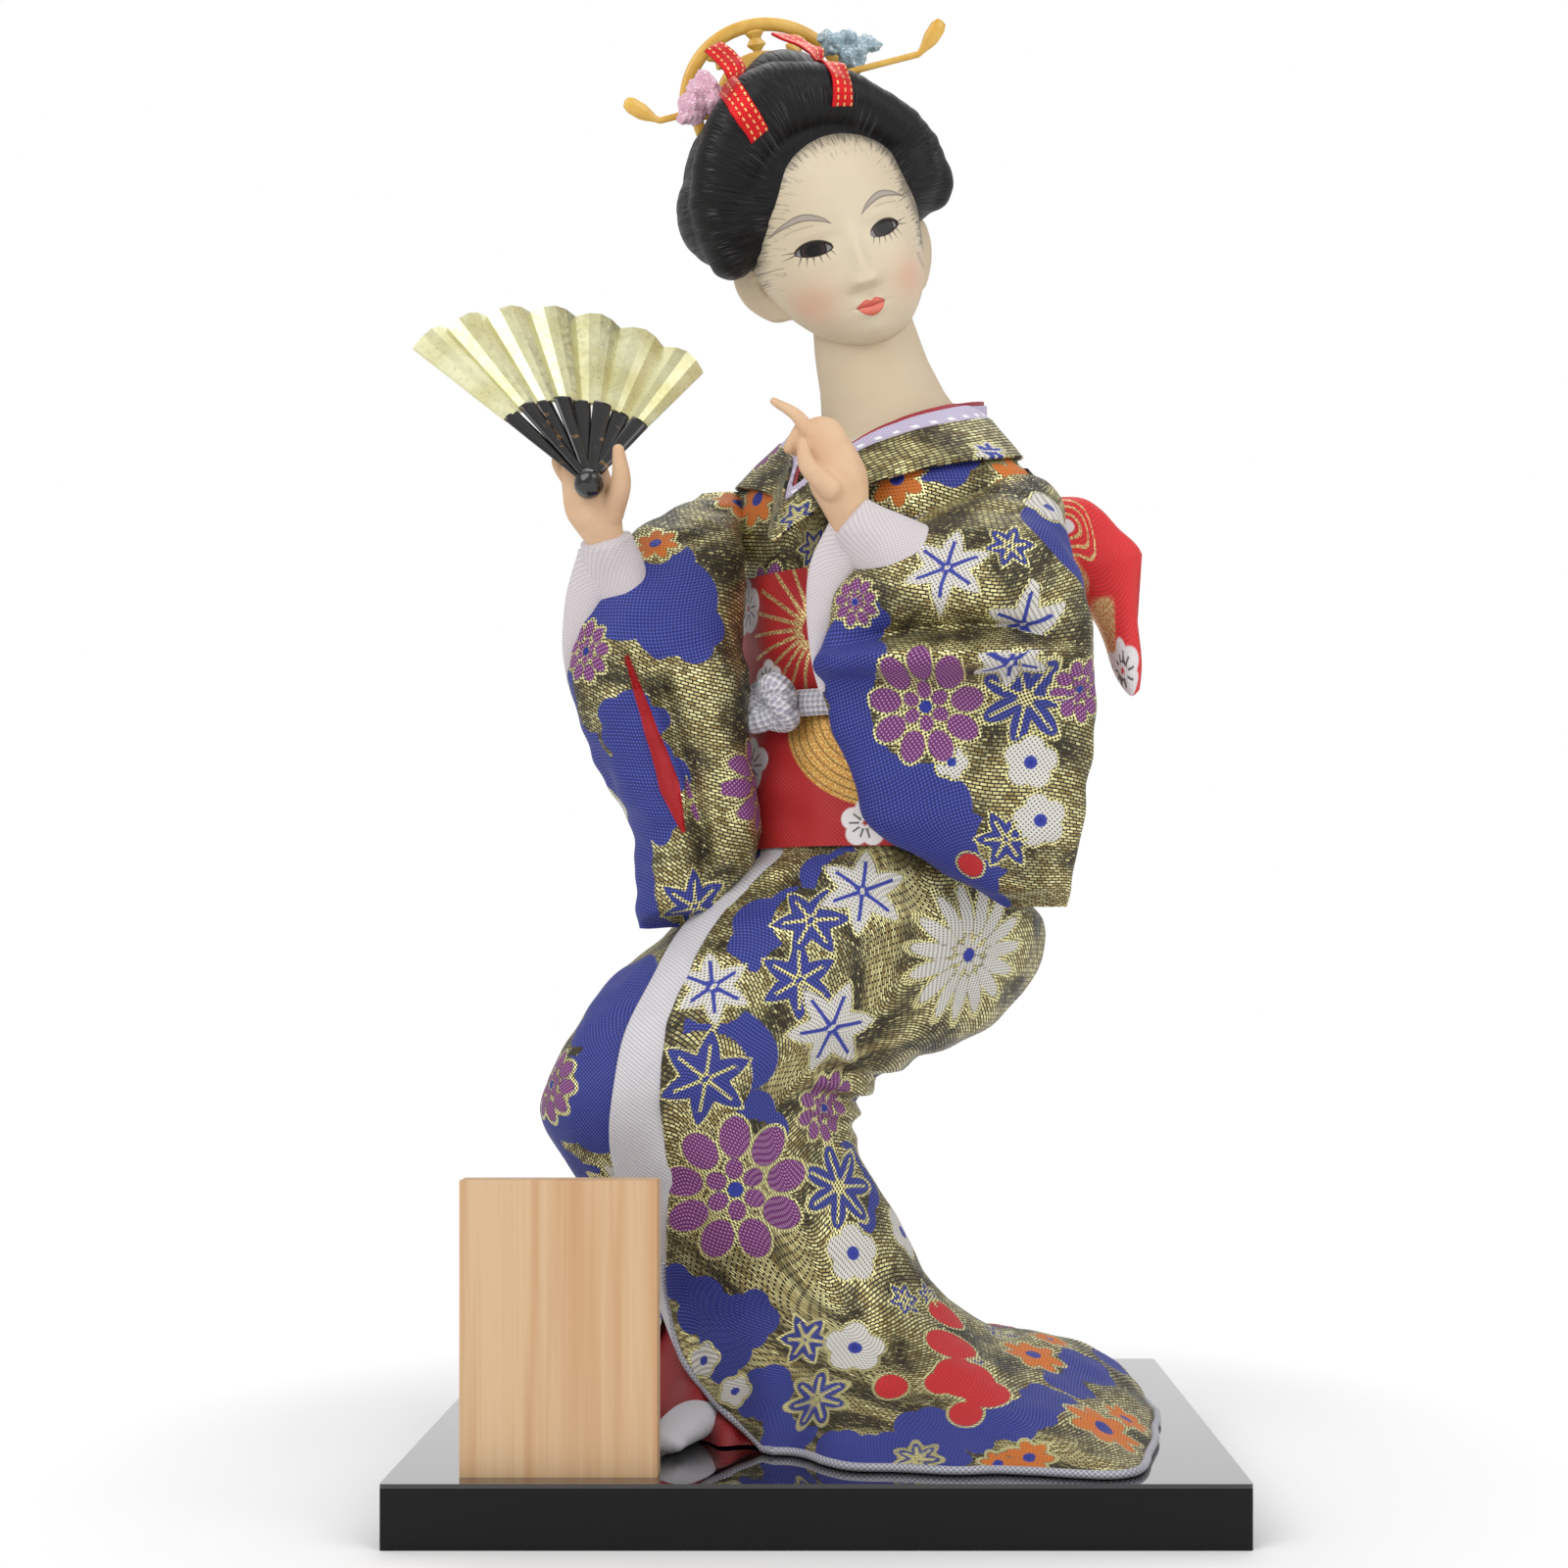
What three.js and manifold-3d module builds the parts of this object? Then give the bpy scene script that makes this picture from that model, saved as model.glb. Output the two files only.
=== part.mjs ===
// Dancing geisha doll on a lacquered base, with a free-standing plaque.
// Millimetres, +Z up, origin at the centre of the underside of the base.
// X runs to the viewer's right and Y away from the viewer.

import * as THREE from "three";
import { mergeVertices } from "three/addons/utils/BufferGeometryUtils.js";
import Module from "manifold-3d";

const wasm = await Module();
wasm.setup();

// Driving dimensions

const GAP = 0.3; // clearance between neighbouring pieces
const CLOTH = 1.0; // brocade with its lining
const THIN_CLOTH = 0.8; // collar, under-skirt and lapel cloth

const BASE_WIDTH = 157;
const BASE_DEPTH = 126;
const BOARD_HEIGHT = 11.2;
const SHEET_HEIGHT = 0.8;
const BASE_EDGE = 0.6; // rounding of the board's edges

const PLAQUE_WIDTH = 36;
const PLAQUE_HEIGHT = 54;
const PLAQUE_THICKNESS = 6;
const PLAQUE_LEFT_MARGIN = 13.5; // from the base's left edge
const PLAQUE_FRONT_MARGIN = 5; // from the base's front edge

const SOLE_WIDTH = 26;
const SOLE_DEPTH = 20;
const SOLE_HEIGHT = 8;
const SOLE_X = -6;
const SOLE_Y = 2;
const SCREW_RADIUS = 1.5;
const SCREW_HEAD_RADIUS = 3.2;
const SCREW_HEAD_DEPTH = 2.4;
const SCREW_BITE = 5; // how far a screw goes into the sole block
const SCREW_SPACING = 16;

const ROD_RADIUS = 1.6;
const WIRE_RADIUS = 1.2;
const ARM_RADIUS = 3.8;

const OBI_HEIGHT = 55;
const OBI_THICKNESS = 1.5;
const CORD_SHARE = 0.46; // height of the cord on the obi, as a share of the obi
const CORD_HEIGHT = 5;
const CORD_THICKNESS = 2.2;
const NECK_RADIUS = 11.2;
const NECK_FLARE = [
  [2.4, 0],
  [1.6, 4],
  [0.6, 9],
  [0, 15],
]; // each extra radius and height above the neck's foot
const NECK_PEG_RADIUS = 5;
const NECK_PEG_LENGTH = 9;

const FAN_RADIUS = 43;
const FAN_STICK_RADIUS = 20;
const FAN_HUB_RADIUS = 3.4;
const FAN_SPAN_DEG = 88;
const FAN_LEFT_DEG = 142; // direction of the fan's left edge
const FAN_TILT_DEG = 35; // turn of the fan about its left edge
const FAN_PLEATS = 7;
const FAN_PLEAT_DEPTH = 2.2;
const FAN_SHEET = 0.7;
const FAN_STUD_RADIUS = 2.7;
const FAN_STUD_LENGTH = 6.5;

const COMB_RADIUS = 17;
const COMB_RIM = 2.6;
const COMB_BODY_RADIUS = 9.5;
const COMB_THICKNESS = 1.6;
const COMB_SINK = 5; // depth of the teeth in the hair
const PIN_RADIUS = 0.9;
const PIN_LENGTH = 25.5; // straight part of a pin

// Places, measured from the centre of the top of the base

const HEAD_CENTRE = new THREE.Vector3(0.5, -1, 244.5);
const HEAD_ROLL_DEG = -15;
const HEAD_YAW_DEG = 12;
const HEAD_PITCH_DEG = 16;
const NECK_FOOT = new THREE.Vector3(15.6, 4.2, 203.5);
const NECK_TOP = new THREE.Vector3(5.4, 2.2, 231);

const RIGHT_SHOULDER = new THREE.Vector3(-12, 10, 189);
const RIGHT_UPPER_ARM = new THREE.Vector3(-28, 0, 178);
const RIGHT_ELBOW = new THREE.Vector3(-35, -8, 156);
const RIGHT_WRIST = new THREE.Vector3(-42, -24, 177);
const LEFT_SHOULDER = new THREE.Vector3(30, -7, 189);
const LEFT_UPPER_ARM = new THREE.Vector3(41, -18, 177);
const LEFT_ELBOW = new THREE.Vector3(44, -25, 160);
const LEFT_WRIST = new THREE.Vector3(6.5, -33, 178.5);
const FAN_PIVOT = new THREE.Vector3(-44.6, -33, 186.2);

// Hands, each form as the points of its line after the wrist, and the radii along it

const FINGER_RADIUS = 1.5;
const RIGHT_WIRE_END = new THREE.Vector3(-44, -27, 183);
const RIGHT_PALM = [
  [-44.6, -27.4, 184],
  [-46, -28.2, 190],
];
const RIGHT_PALM_RADII = [3.8, 5.6, 4.6];
const RIGHT_THUMB = [
  [-40.8, -27.5, 182],
  [-38.4, -32, 187],
  [-38.6, -34.6, 192.6],
];
const RIGHT_FINGERS = 4;
const RIGHT_FINGER = [
  [-49.2, -28.3, 188.5],
  [-52, -28.8, 193],
  [-51, -29, 198],
]; // the little finger
const RIGHT_FINGER_STEP = [
  [2.1, 0, 0],
  [2.3, 0, 0],
  [2, 0, -1],
]; // from each finger to the next
const LEFT_WIRE_END = new THREE.Vector3(3, -34.5, 186);
const LEFT_PALM = [
  [3.8, -34.4, 187],
  [0.6, -35, 194],
];
const LEFT_PALM_RADII = [3.8, 5.8, 5];
const LEFT_THUMB = [
  [2.4, -37.4, 184.5],
  [-2, -39, 188.5],
  [-3, -38.8, 193],
];
const LEFT_POINTER = [
  [1, -36, 190.5],
  [-3.6, -37, 198],
  [-8.6, -36.4, 201.5],
];
const LEFT_FINGERS = 3;
const LEFT_FINGER = [
  [1, -35, 190.5],
  [-2.4, -34.6, 197],
  [-5.6, -34.6, 193],
]; // the middle finger, curled
const LEFT_FINGER_STEP = [
  [1, 1, 0],
  [1, 1.4, 0],
  [1, 1.4, 0],
];
const THUMB_RADII = [2.5, 2, 1.2];
const FINGER_RADII = [FINGER_RADIUS, FINGER_RADIUS, 1];
const POINTER_RADII = [FINGER_RADIUS, FINGER_RADIUS, 0.8];
const RIGHT_PALM_FLATTEN = 0.62;
const LEFT_PALM_FLATTEN = 0.66;

// Line of the spine rod above the sole block

const ROD_STRAIGHT = 4; // above the sole block
const ROD_LINE = [
  [-12, -3, 40],
  [-17, -5, 62],
  [-2, 1, 84],
  [6, 3, 110],
  [8, 1, 160],
  [12, 2.5, 188],
];

// Feet, each x, y and turn in degrees

const FOOT_RIGHT = [-24, -20, 70];
const FOOT_LEFT = [8, -16, 80];
const FOOT_HALF_LENGTH = 15;
const FOOT_HALF_WIDTH = 6.5;
const FOOT_HEIGHT = 8;

// Cross-sections of the figure, each [height, centre x, centre y, half length, half width, turn in degrees]

const BODICE = [
  [118, 6, 2, 23.5, 16.5, -28],
  [150, 7, 1, 24, 17, -30],
  [172, 8.5, 0.5, 27.5, 18, -32],
  [183, 10, 1, 34, 18.5, -32],
  [191, 11, 1.5, 36, 18, -32],
  [198, 12.5, 2.5, 29.5, 17, -30],
  [204, 14.5, 3.6, 22.5, 16.2, -25],
  [208, 15.2, 4, 18.6, 16, -15],
];

const SKIRT = [
  [0, 4, -2, 40, 32, -10],
  [8, 2, -2, 34, 26, -10],
  [18.7, -3, 0, 30, 22, 0],
  [29, -8.5, -2, 29, 19.5, 0],
  [47.4, -19, -6, 30.2, 18.5, 10],
  [55.6, -23.3, -8, 30.5, 19, 15],
  [63.8, -25, -9, 32.5, 20, 20],
  [70, -21.3, -7, 35.5, 22, 25],
  [80, -7, -1, 46, 24, 28],
  [90.4, 1, 3, 47.5, 25.5, 26],
  [102.7, 8.5, 5, 39.5, 26, 20],
  [110.5, 7.5, 4, 31, 23, 0],
  [117.5, 6, 2, 25.5, 18.5, -25],
];

const HEM_OUTLINE = [
  [68, 2],
  [60, 30],
  [28, 41],
  [-38, 38],
  [-78, 16],
  [-56, -10],
  [-36, -22],
  [-14, -34],
  [4, -50],
  [30, -56],
  [55, -58],
  [65, -30],
];

const LEFT_SLEEVE = [
  [105, 43.3, -21, 6, 4.5, -10],
  [113.6, 35.6, -23, 15.5, 6, -8],
  [120, 31, -25, 21.5, 6.5, -6],
  [129, 29.6, -26, 23.4, 7, -4],
  [138.7, 28.2, -26.5, 25.5, 7.5, -4],
  [147, 27.2, -27, 26.4, 7.5, -4],
  [152.5, 27, -29, 26.4, 11, -4],
  [159, 27, -29, 26.1, 13, -6],
  [168, 26.9, -27, 24.2, 14, -8],
  [176, 28.4, -23, 20.5, 14.5, -12],
  [183, 34, -17, 15, 13, -25],
  [190, 38.5, -12, 9.5, 11, -30],
  [195, 37, -11, 5.5, 7, -30],
];

const RIGHT_SLEEVE = [
  [101, -32.3, -10, 4, 6, 0],
  [110, -30.6, -10, 6.5, 9, 0],
  [120, -29.6, -10.5, 8.5, 11, 0],
  [130, -32, -11, 11.5, 12, 0],
  [140, -33.3, -12, 14.5, 12.5, 0],
  [150, -34.4, -12.5, 16.2, 13, 0],
  [160, -34.4, -12, 16.2, 13, 0],
  [170, -32.7, -10, 13.8, 13, 0],
  [180, -30, -5, 11, 12.5, -10],
  [188, -25, 5, 7.5, 9.5, -30],
  [194, -20.5, 10, 4.5, 6, -30],
];

// Edge of the skirt's over-lap, each [height, x, width of the lapel lining beside it]

const OVERLAP_EDGE = [
  [0, -11, 2],
  [12, -23, 3],
  [24, -28.5, 6],
  [36, -30, 9],
  [49, -29.6, 10],
  [59, -30.2, 10.5],
  [70, -30.5, 9],
  [80, -29.5, 8],
  [90, -26.5, 6.5],
  [104, -19.5, 6],
  [116, -7, 5],
];
const SEAM_DEG = 8; // direction of the skirt's side seam
const EDGE_STEPS = 14;
const LAPEL_FOOT_Z = 10;

// Obi knot and bow

const KNOT_DEG = -138; // direction from the middle of the torso
const KNOT_HALF_WIDTH = 7.2;
const KNOT_HALF_DEPTH = 4;
const KNOT_HALF_HEIGHT = 5.4;
const BOW_DEG = 58;
const BOW_SPREAD_DEG = 70; // from the back to each wing
const BOW_Z = 165;
const BOW_KNOT_HALF = 4.5;
const BOW_WING = [
  [1, 4, 3, 0],
  [13, 10, 4.5, 6],
  [28, 17, 5, 10],
  [42, 21.5, 4, 10],
  [48, 20, 1.5, 8],
]; // each reach, half height, half thickness and rise

// Neckline of the kimono, from the crossing on the chest round the neck and back

const NECKLINE = [
  [-5, -18, 189],
  [-3.5, -10, 198],
  [-2.5, 2, 205.5],
  [4, 15, 210],
  [16, 19.5, 211.5],
  [28, 15, 212.5],
  [32, 3, 211],
  [25, -9.5, 206.5],
  [12, -16, 201],
  [1, -19, 193.5],
];
const COLLAR_LEAN = 0.44; // how far a collar leans out for each millimetre down
const COLLAR_DROP = 3.2; // below the neckline, to the middle of the band
const COLLAR_HEIGHT = 7;
const UNDER_COLLAR_DROP = 0.5;
const UNDER_COLLAR_HEIGHT = 6;
const PIPING_DROP = -0.4;

// Head, each [height, middle of the depth, half width, half depth], in the head's own frame

const HEAD = [
  [-24.4, -10, 4, 4.5],
  [-22.5, -9, 7.5, 7.5],
  [-19, -7, 10.8, 11],
  [-14.5, -4.5, 13.6, 14],
  [-8, -2, 16, 16.8],
  [0, -0.5, 17.2, 18.5],
  [8, 0.5, 17.2, 19.3],
  [15, 1, 15.5, 18],
  [20, 1.5, 11, 13.5],
  [23.5, 2, 5, 6.5],
];
const EYE_SPACING = 7.3;
const EYE_Y = -15.6;
const EYE_Z = -1.5;
const EYE_RADII = [3.4, 2, 1.7];
const NOSE_Y = -18.4;
const NOSE_Z = -7.5;
const NOSE_RADII = [2.2, 3.2, 5.5];
const LIPS_Y = -17.4;
const LIPS_Z = -16.3;
const LIPS_RADII = [2.9, 1.6, 1.5];
const EAR_X = 16;
const EAR_Y = 2;
const EAR_Z = -7;
const EAR_RADII = [1.8, 4, 5.6];

// Hair and its ornaments, in the head's own frame

const MASS_CENTRE = [0, 6, 13];
const MASS_RADII = [24.5, 21, 21];
const WING_X = 16.5;
const WING_Y = 3.5;
const WING_Z = 9;
const WING_RADII = [12, 15, 12];
const NAPE_CENTRE = [0, 15, -2];
const NAPE_RADII = [15, 8, 12];
const ROLL_LINE = [
  [-20.5, -1, 1],
  [-22.5, -4, 9],
  [-18, -8, 19],
  [-9, -10, 26],
  [0, -10.5, 28.5],
]; // the roll's right half
const ROLL_RADII = [5.5, 7, 7.4, 7.6, 7.4, 7, 5.5];
const LOCK_CENTRE = [0, -3, 27];
const LOCK_RADII = [10, 13, 10];
const BUN_CENTRE = [0, 20.5, 28];
const BUN_RADII = [13, 9, 9];
const COMB_X = -3;
const COMB_Y = 10;
const COMB_Z = 29.5; // middle of the arch
const COMB_TEETH = 6;
const COMB_WINDOWS = 5;
const COMB_RIB = 1.8;
const COMB_SEGMENTS = 3; // facets of each curve of the comb
const PIN_Y = 2.5;
const PIN_Z = 30.8;
const PIN_START = 2.5; // from the middle of the hair to a pin's point
const PIN_RISE_DEG = 4;
const PADDLE_LENGTH = 8;
const PADDLE_RISE = 4.5;
const PADDLE_HALF_WIDTH = 2.2;
const PADDLE_FLATTEN = 0.35;
const FLOWER_PINK = { place: [-17.5, 3.5, 36.2], root: [-13, 5, 26], radii: [5, 4.4, 5] };
const FLOWER_BLUE = { place: [15, 4, 37.6], root: [11, 5.5, 27], radii: [6, 4, 4] };
const FLOWER_PETALS = 5;
const FLOWER_STEM_RADIUS = 0.6;
const RIBBON_WIDTH = 4.5;
const RIBBON_THICKNESS = 0.8;
const RIBBON_RIGHT = [
  [-6.7, -19, 24.5],
  [-6.6, -18.6, 30],
  [-6.6, -14, 35.6],
  [-6.8, -8, 37.6],
  [-7.4, -3, 38],
  [-9, 1.5, 41],
  [-12, 4, 45],
];
const RIBBON_LEFT = [
  [11.8, -18.6, 22.8],
  [11.7, -18, 28],
  [11.4, -13.5, 33],
  [10.6, -7, 35.4],
  [9.5, -2, 37.5],
  [7.6, 2, 40],
  [5, 4.5, 41.5],
];

// Small helpers

const rad = THREE.MathUtils.degToRad;
const lerp = THREE.MathUtils.lerp;
const vec = (x, y, z) => new THREE.Vector3(x, y, z);

function evenly(from, to, count) {
  return Array.from({ length: count }, (_, i) => lerp(from, to, i / (count - 1)));
}

// A table's row at a height between its rows, on a smooth curve through them.
function rowAt(table, height) {
  const last = table.length - 1;
  let i = table.findIndex((row) => row[0] > height) - 1;
  if (i < 0) i = height <= table[0][0] ? 0 : last - 1;
  const [a, b] = [table[i], table[i + 1]];
  const before = table[Math.max(i - 1, 0)];
  const after = table[Math.min(i + 2, last)];
  const span = b[0] - a[0];
  const t = THREE.MathUtils.clamp((height - a[0]) / span, 0, 1);
  const slope = (p, q, k) => (q[0] === p[0] ? 0 : ((q[k] - p[k]) / (q[0] - p[0])) * span);
  return a.map((value, k) => {
    const m0 = slope(before, b, k);
    const m1 = slope(a, after, k);
    const [t2, t3] = [t * t, t * t * t];
    return (2 * t3 - 3 * t2 + 1) * value + (t3 - 2 * t2 + t) * m0 + (3 * t2 - 2 * t3) * b[k] + (t3 - t2) * m1;
  });
}

// Distance from the centre of an ellipse to its edge, seen in one direction.
function ellipseReach(halfLength, halfWidth, angle) {
  return (halfLength * halfWidth) / Math.hypot(halfWidth * Math.cos(angle), halfLength * Math.sin(angle));
}

// Closed solid from a list of points and triangles, turned to face out.
function closedBody(points, triangles) {
  let volume = 0;
  for (const [a, b, c] of triangles) {
    volume += points[a].dot(points[b].clone().cross(points[c]));
  }
  const facing = volume < 0 ? triangles.map(([a, b, c]) => [a, c, b]) : triangles;
  return new THREE.BufferGeometry().setFromPoints(points).setIndex(facing.flat());
}

// Solid through a row of closed rings with as many points each, with flat ends.
function loft(rings) {
  const sides = rings[0].length;
  const points = rings.flat();
  const triangles = [];
  for (let k = 0; k + 1 < rings.length; k++) {
    for (let j = 0; j < sides; j++) {
      const a = k * sides + j;
      const b = k * sides + ((j + 1) % sides);
      triangles.push([a, b, b + sides], [a, b + sides, a + sides]);
    }
  }
  const centre = (ring) => ring.reduce((sum, p) => sum.add(p), vec(0, 0, 0)).divideScalar(sides);
  const foot = points.push(centre(rings[0])) - 1;
  const head = points.push(centre(rings.at(-1))) - 1;
  const top = (rings.length - 1) * sides;
  for (let j = 0; j < sides; j++) {
    const next = (j + 1) % sides;
    triangles.push([foot, next, j], [head, top + j, top + next]);
  }
  return closedBody(points, triangles);
}

// Sheet with a thickness: the space between two grids of points, rows by columns.
function sheet(outer, inner) {
  const rows = outer.length;
  const columns = outer[0].length;
  const points = [...outer.flat(), ...inner.flat()];
  const layer = rows * columns;
  const at = (side, r, c) => side * layer + r * columns + c;
  const triangles = [];
  const quad = (a, b, c, d) => triangles.push([a, b, c], [a, c, d]);
  for (let r = 0; r + 1 < rows; r++) {
    for (let c = 0; c + 1 < columns; c++) {
      quad(at(0, r, c), at(0, r, c + 1), at(0, r + 1, c + 1), at(0, r + 1, c));
      quad(at(1, r, c), at(1, r + 1, c), at(1, r + 1, c + 1), at(1, r, c + 1));
    }
    const end = columns - 1;
    quad(at(0, r, 0), at(0, r + 1, 0), at(1, r + 1, 0), at(1, r, 0));
    quad(at(0, r, end), at(1, r, end), at(1, r + 1, end), at(0, r + 1, end));
  }
  for (let c = 0; c + 1 < columns; c++) {
    const end = rows - 1;
    quad(at(0, 0, c), at(1, 0, c), at(1, 0, c + 1), at(0, 0, c + 1));
    quad(at(0, end, c), at(0, end, c + 1), at(1, end, c + 1), at(1, end, c));
  }
  return closedBody(points, triangles);
}

// Round limb along a smooth line, as thick at each point as its radius says.
function limb(line, radii, sides = 8, steps = 10, flatten = 1, flatDirection = vec(0, 1, 0)) {
  const curve = new THREE.CatmullRomCurve3(line);
  const rings = evenly(0, 1, steps + 1).map((t) => {
    const along = curve.getTangent(t);
    const wide = flatDirection.clone().cross(along).normalize();
    const deep = along.clone().cross(wide).normalize();
    const place = t * (radii.length - 1);
    const i = Math.min(Math.floor(place), radii.length - 2);
    const radius = lerp(radii[i], radii[i + 1], place - i);
    return evenly(0, 2 * Math.PI, sides + 1)
      .slice(0, sides)
      .map((angle) =>
        curve
          .getPoint(t)
          .addScaledVector(wide, radius * Math.cos(angle))
          .addScaledVector(deep, radius * flatten * Math.sin(angle)),
      );
  });
  return loft(rings);
}

function ellipsoid(centre, radii, across = 18, up = 12) {
  return new THREE.SphereGeometry(1, across, up).scale(...radii).translate(...centre);
}

// Round bar from one point to another.
function bar(from, to, radius, sides = 12) {
  const length = from.distanceTo(to);
  const turn = new THREE.Quaternion().setFromUnitVectors(vec(0, 1, 0), to.clone().sub(from).normalize());
  const middle = from.clone().add(to).multiplyScalar(0.5);
  const geometry = new THREE.CylinderGeometry(radius, radius, length, sides);
  return geometry.applyQuaternion(turn).translate(middle.x, middle.y, middle.z);
}

// Round bar along straight lines, mitred at the points between its ends.
function bentBar(points, radius, sides) {
  const ways = points.slice(1).map((p, i) => p.clone().sub(points[i]).normalize());
  const side = vec(0, 0, 1).cross(ways[0]).normalize();
  const rings = [
    evenly(0, 2 * Math.PI, sides + 1)
      .slice(0, sides)
      .map((angle) => side.clone().applyAxisAngle(ways[0], angle).multiplyScalar(radius).add(points[0])),
  ];
  ways.forEach((way, i) => {
    const face = way.clone().add(ways[i + 1] ?? way).normalize();
    const slide = (p) => points[i + 1].clone().sub(p).dot(face) / way.dot(face);
    rings.push(rings[i].map((p) => p.clone().addScaledVector(way, slide(p))));
  });
  return loft(rings);
}

function block(width, depth, height, x, y, bottom) {
  return new THREE.BoxGeometry(width, depth, height).translate(x, y, bottom + height / 2);
}

// Joining and cutting

function solidOf(geometry) {
  const bare = geometry.clone();
  for (const name of Object.keys(bare.attributes)) {
    if (name !== "position") bare.deleteAttribute(name);
  }
  const merged = mergeVertices(bare, 1e-4);
  const vertProperties = merged.attributes.position.array;
  const triVerts = new Uint32Array(merged.index.array);
  return new wasm.Manifold(new wasm.Mesh({ numProp: 3, vertProperties, triVerts }));
}

function geometryOf(solid) {
  const mesh = solid.getMesh();
  return new THREE.BufferGeometry()
    .setAttribute("position", new THREE.BufferAttribute(mesh.vertProperties, 3))
    .setIndex(new THREE.BufferAttribute(mesh.triVerts, 1));
}

function joined(...geometries) {
  return geometryOf(geometries.map(solidOf).reduce((sum, solid) => sum.add(solid)));
}

function common(a, b) {
  return geometryOf(solidOf(a).intersect(solidOf(b)));
}

// A piece less the space of others, keeping its largest body.
function cut(geometry, ...tools) {
  const rest = tools.map(solidOf).reduce((left, tool) => left.subtract(tool), solidOf(geometry));
  const bodies = rest.decompose().sort((a, b) => b.volume() - a.volume());
  return geometryOf(bodies[0]);
}

// Materials

const finish = (color, roughness, metalness = 0) =>
  new THREE.MeshStandardMaterial({ color, roughness, metalness });

const LACQUER = finish(0x201f1f, 0.35);
const GLOSS = finish(0x101010, 0.08);
const PINE = finish(0xf0d7af, 0.65);
const STEEL = finish(0x9a9a9a, 0.4, 1);
const STUFFING = finish(0xd9cfb8, 0.95);
const IVORY = finish(0xe2d4b8, 0.55);
const FLESH = finish(0xe6c098, 0.5);
const EYE = finish(0x2a1c18, 0.1);
const HAIR = finish(0x121214, 0.45);
const AMBER = finish(0xdea537, 0.3);
const RIBBON = finish(0xc01820, 0.35);
const PINK_GAUZE = finish(0xe1aac3, 0.7);
const BLUE_GAUZE = finish(0xaac3cd, 0.7);
const BROCADE = finish(0x5a5a6e, 0.55);
const LILAC = finish(0xc8bed7, 0.7);
const WHITE_CLOTH = finish(0xe6e2ea, 0.75);
const SILVER_CLOTH = finish(0xc8c8d4, 0.6);
const RED_SATIN = finish(0xaa0a14, 0.4);
const OBI_CLOTH = finish(0xc8191e, 0.6);
const CORD_YARN = finish(0xe8e4ec, 0.8);
const GILT = finish(0xe1deaa, 0.2, 1);
const BLACK_PLASTIC = finish(0x0c0b0b, 0.2);

// Layers round the figure

const SIDES = 20;
const ANGLES = evenly(0, 2 * Math.PI, SIDES + 1).slice(0, SIDES);
const HIDDEN_ANGLES = ANGLES.filter((_, i) => i % 2 === 0); // for what the clothes hide
const WAIST_Z = SKIRT.at(-1)[0];
const OBI_BOTTOM = WAIST_Z + 1;
const OBI_TOP = OBI_BOTTOM + OBI_HEIGHT;
const CORD_Z = lerp(OBI_BOTTOM, OBI_TOP, CORD_SHARE);
const CORD_TOP = CORD_Z + CORD_HEIGHT;
const NECKLINE_Z = BODICE.at(-1)[0];
const torsoHeights = [
  ...[OBI_BOTTOM, CORD_Z, CORD_TOP, OBI_TOP],
  ...evenly(OBI_TOP, NECKLINE_Z, 6).slice(1),
];

// Point of a table's surface, moved out by an offset.
function onForm(table, height, angle, offset) {
  const [, x, y, halfLength, halfWidth, turn] = rowAt(table, height);
  const reach = ellipseReach(halfLength, halfWidth, angle - rad(turn)) + offset;
  return vec(x + reach * Math.cos(angle), y + reach * Math.sin(angle), height);
}

function torsoRings(from, to, offset, angles = ANGLES) {
  const heights = torsoHeights.filter((height) => height >= from && height <= to);
  return heights.map((height) => angles.map((angle) => onForm(BODICE, height, angle, offset)));
}

const shifted = (ring, dz) => ring.map((p) => p.clone().setZ(p.z + dz));

// Tube of cloth round the torso, open at both ends.
function torsoShell(from, to, inner, outer) {
  const hollow = torsoRings(from, to, inner);
  hollow[0] = shifted(hollow[0], -CLOTH);
  hollow.push(shifted(hollow.pop(), CLOTH));
  return cut(loft(torsoRings(from, to, outer)), loft(hollow));
}

// Skirt with its train

const HEM_CURVE_Z = 34; // height where the skirt starts to spread into the train
const HEM_LIFT = 0.4;
const HEM_SPREAD_POWER = 2.4;
const FOLD_COUNT = 9;
const FOLD_DEPTH = 1.6;
const HEM_STEPS = 240;
const hemCurve = new THREE.CatmullRomCurve3(
  HEM_OUTLINE.map(([x, y]) => vec(x, y, 0)),
  true,
);
const hemPoints = hemCurve.getPoints(HEM_STEPS);

// Distance from a centre to the hem's outline, seen in one direction.
function hemReach(x, y, angle) {
  let [best, reach] = [-1, 0];
  for (const p of hemPoints) {
    const away = Math.hypot(p.x - x, p.y - y);
    const aim = ((p.x - x) * Math.cos(angle) + (p.y - y) * Math.sin(angle)) / away;
    if (aim > best) [best, reach] = [aim, away];
  }
  return reach;
}

// Point of the skirt's outer face.
function skirtFace(height, angle) {
  const [, x, y, halfLength, halfWidth, turn] = rowAt(SKIRT, height);
  const leg = ellipseReach(halfLength, halfWidth, angle - rad(turn));
  const spread = height < HEM_CURVE_Z ? (1 - height / HEM_CURVE_Z) ** HEM_SPREAD_POWER : 0;
  const hem = spread > 0 ? hemReach(x, y, angle) : leg;
  const folds = FOLD_DEPTH * spread * Math.cos(FOLD_COUNT * angle);
  const reach = lerp(leg, hem, spread) + folds;
  return vec(x + reach * Math.cos(angle), y + reach * Math.sin(angle), height);
}

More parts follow.
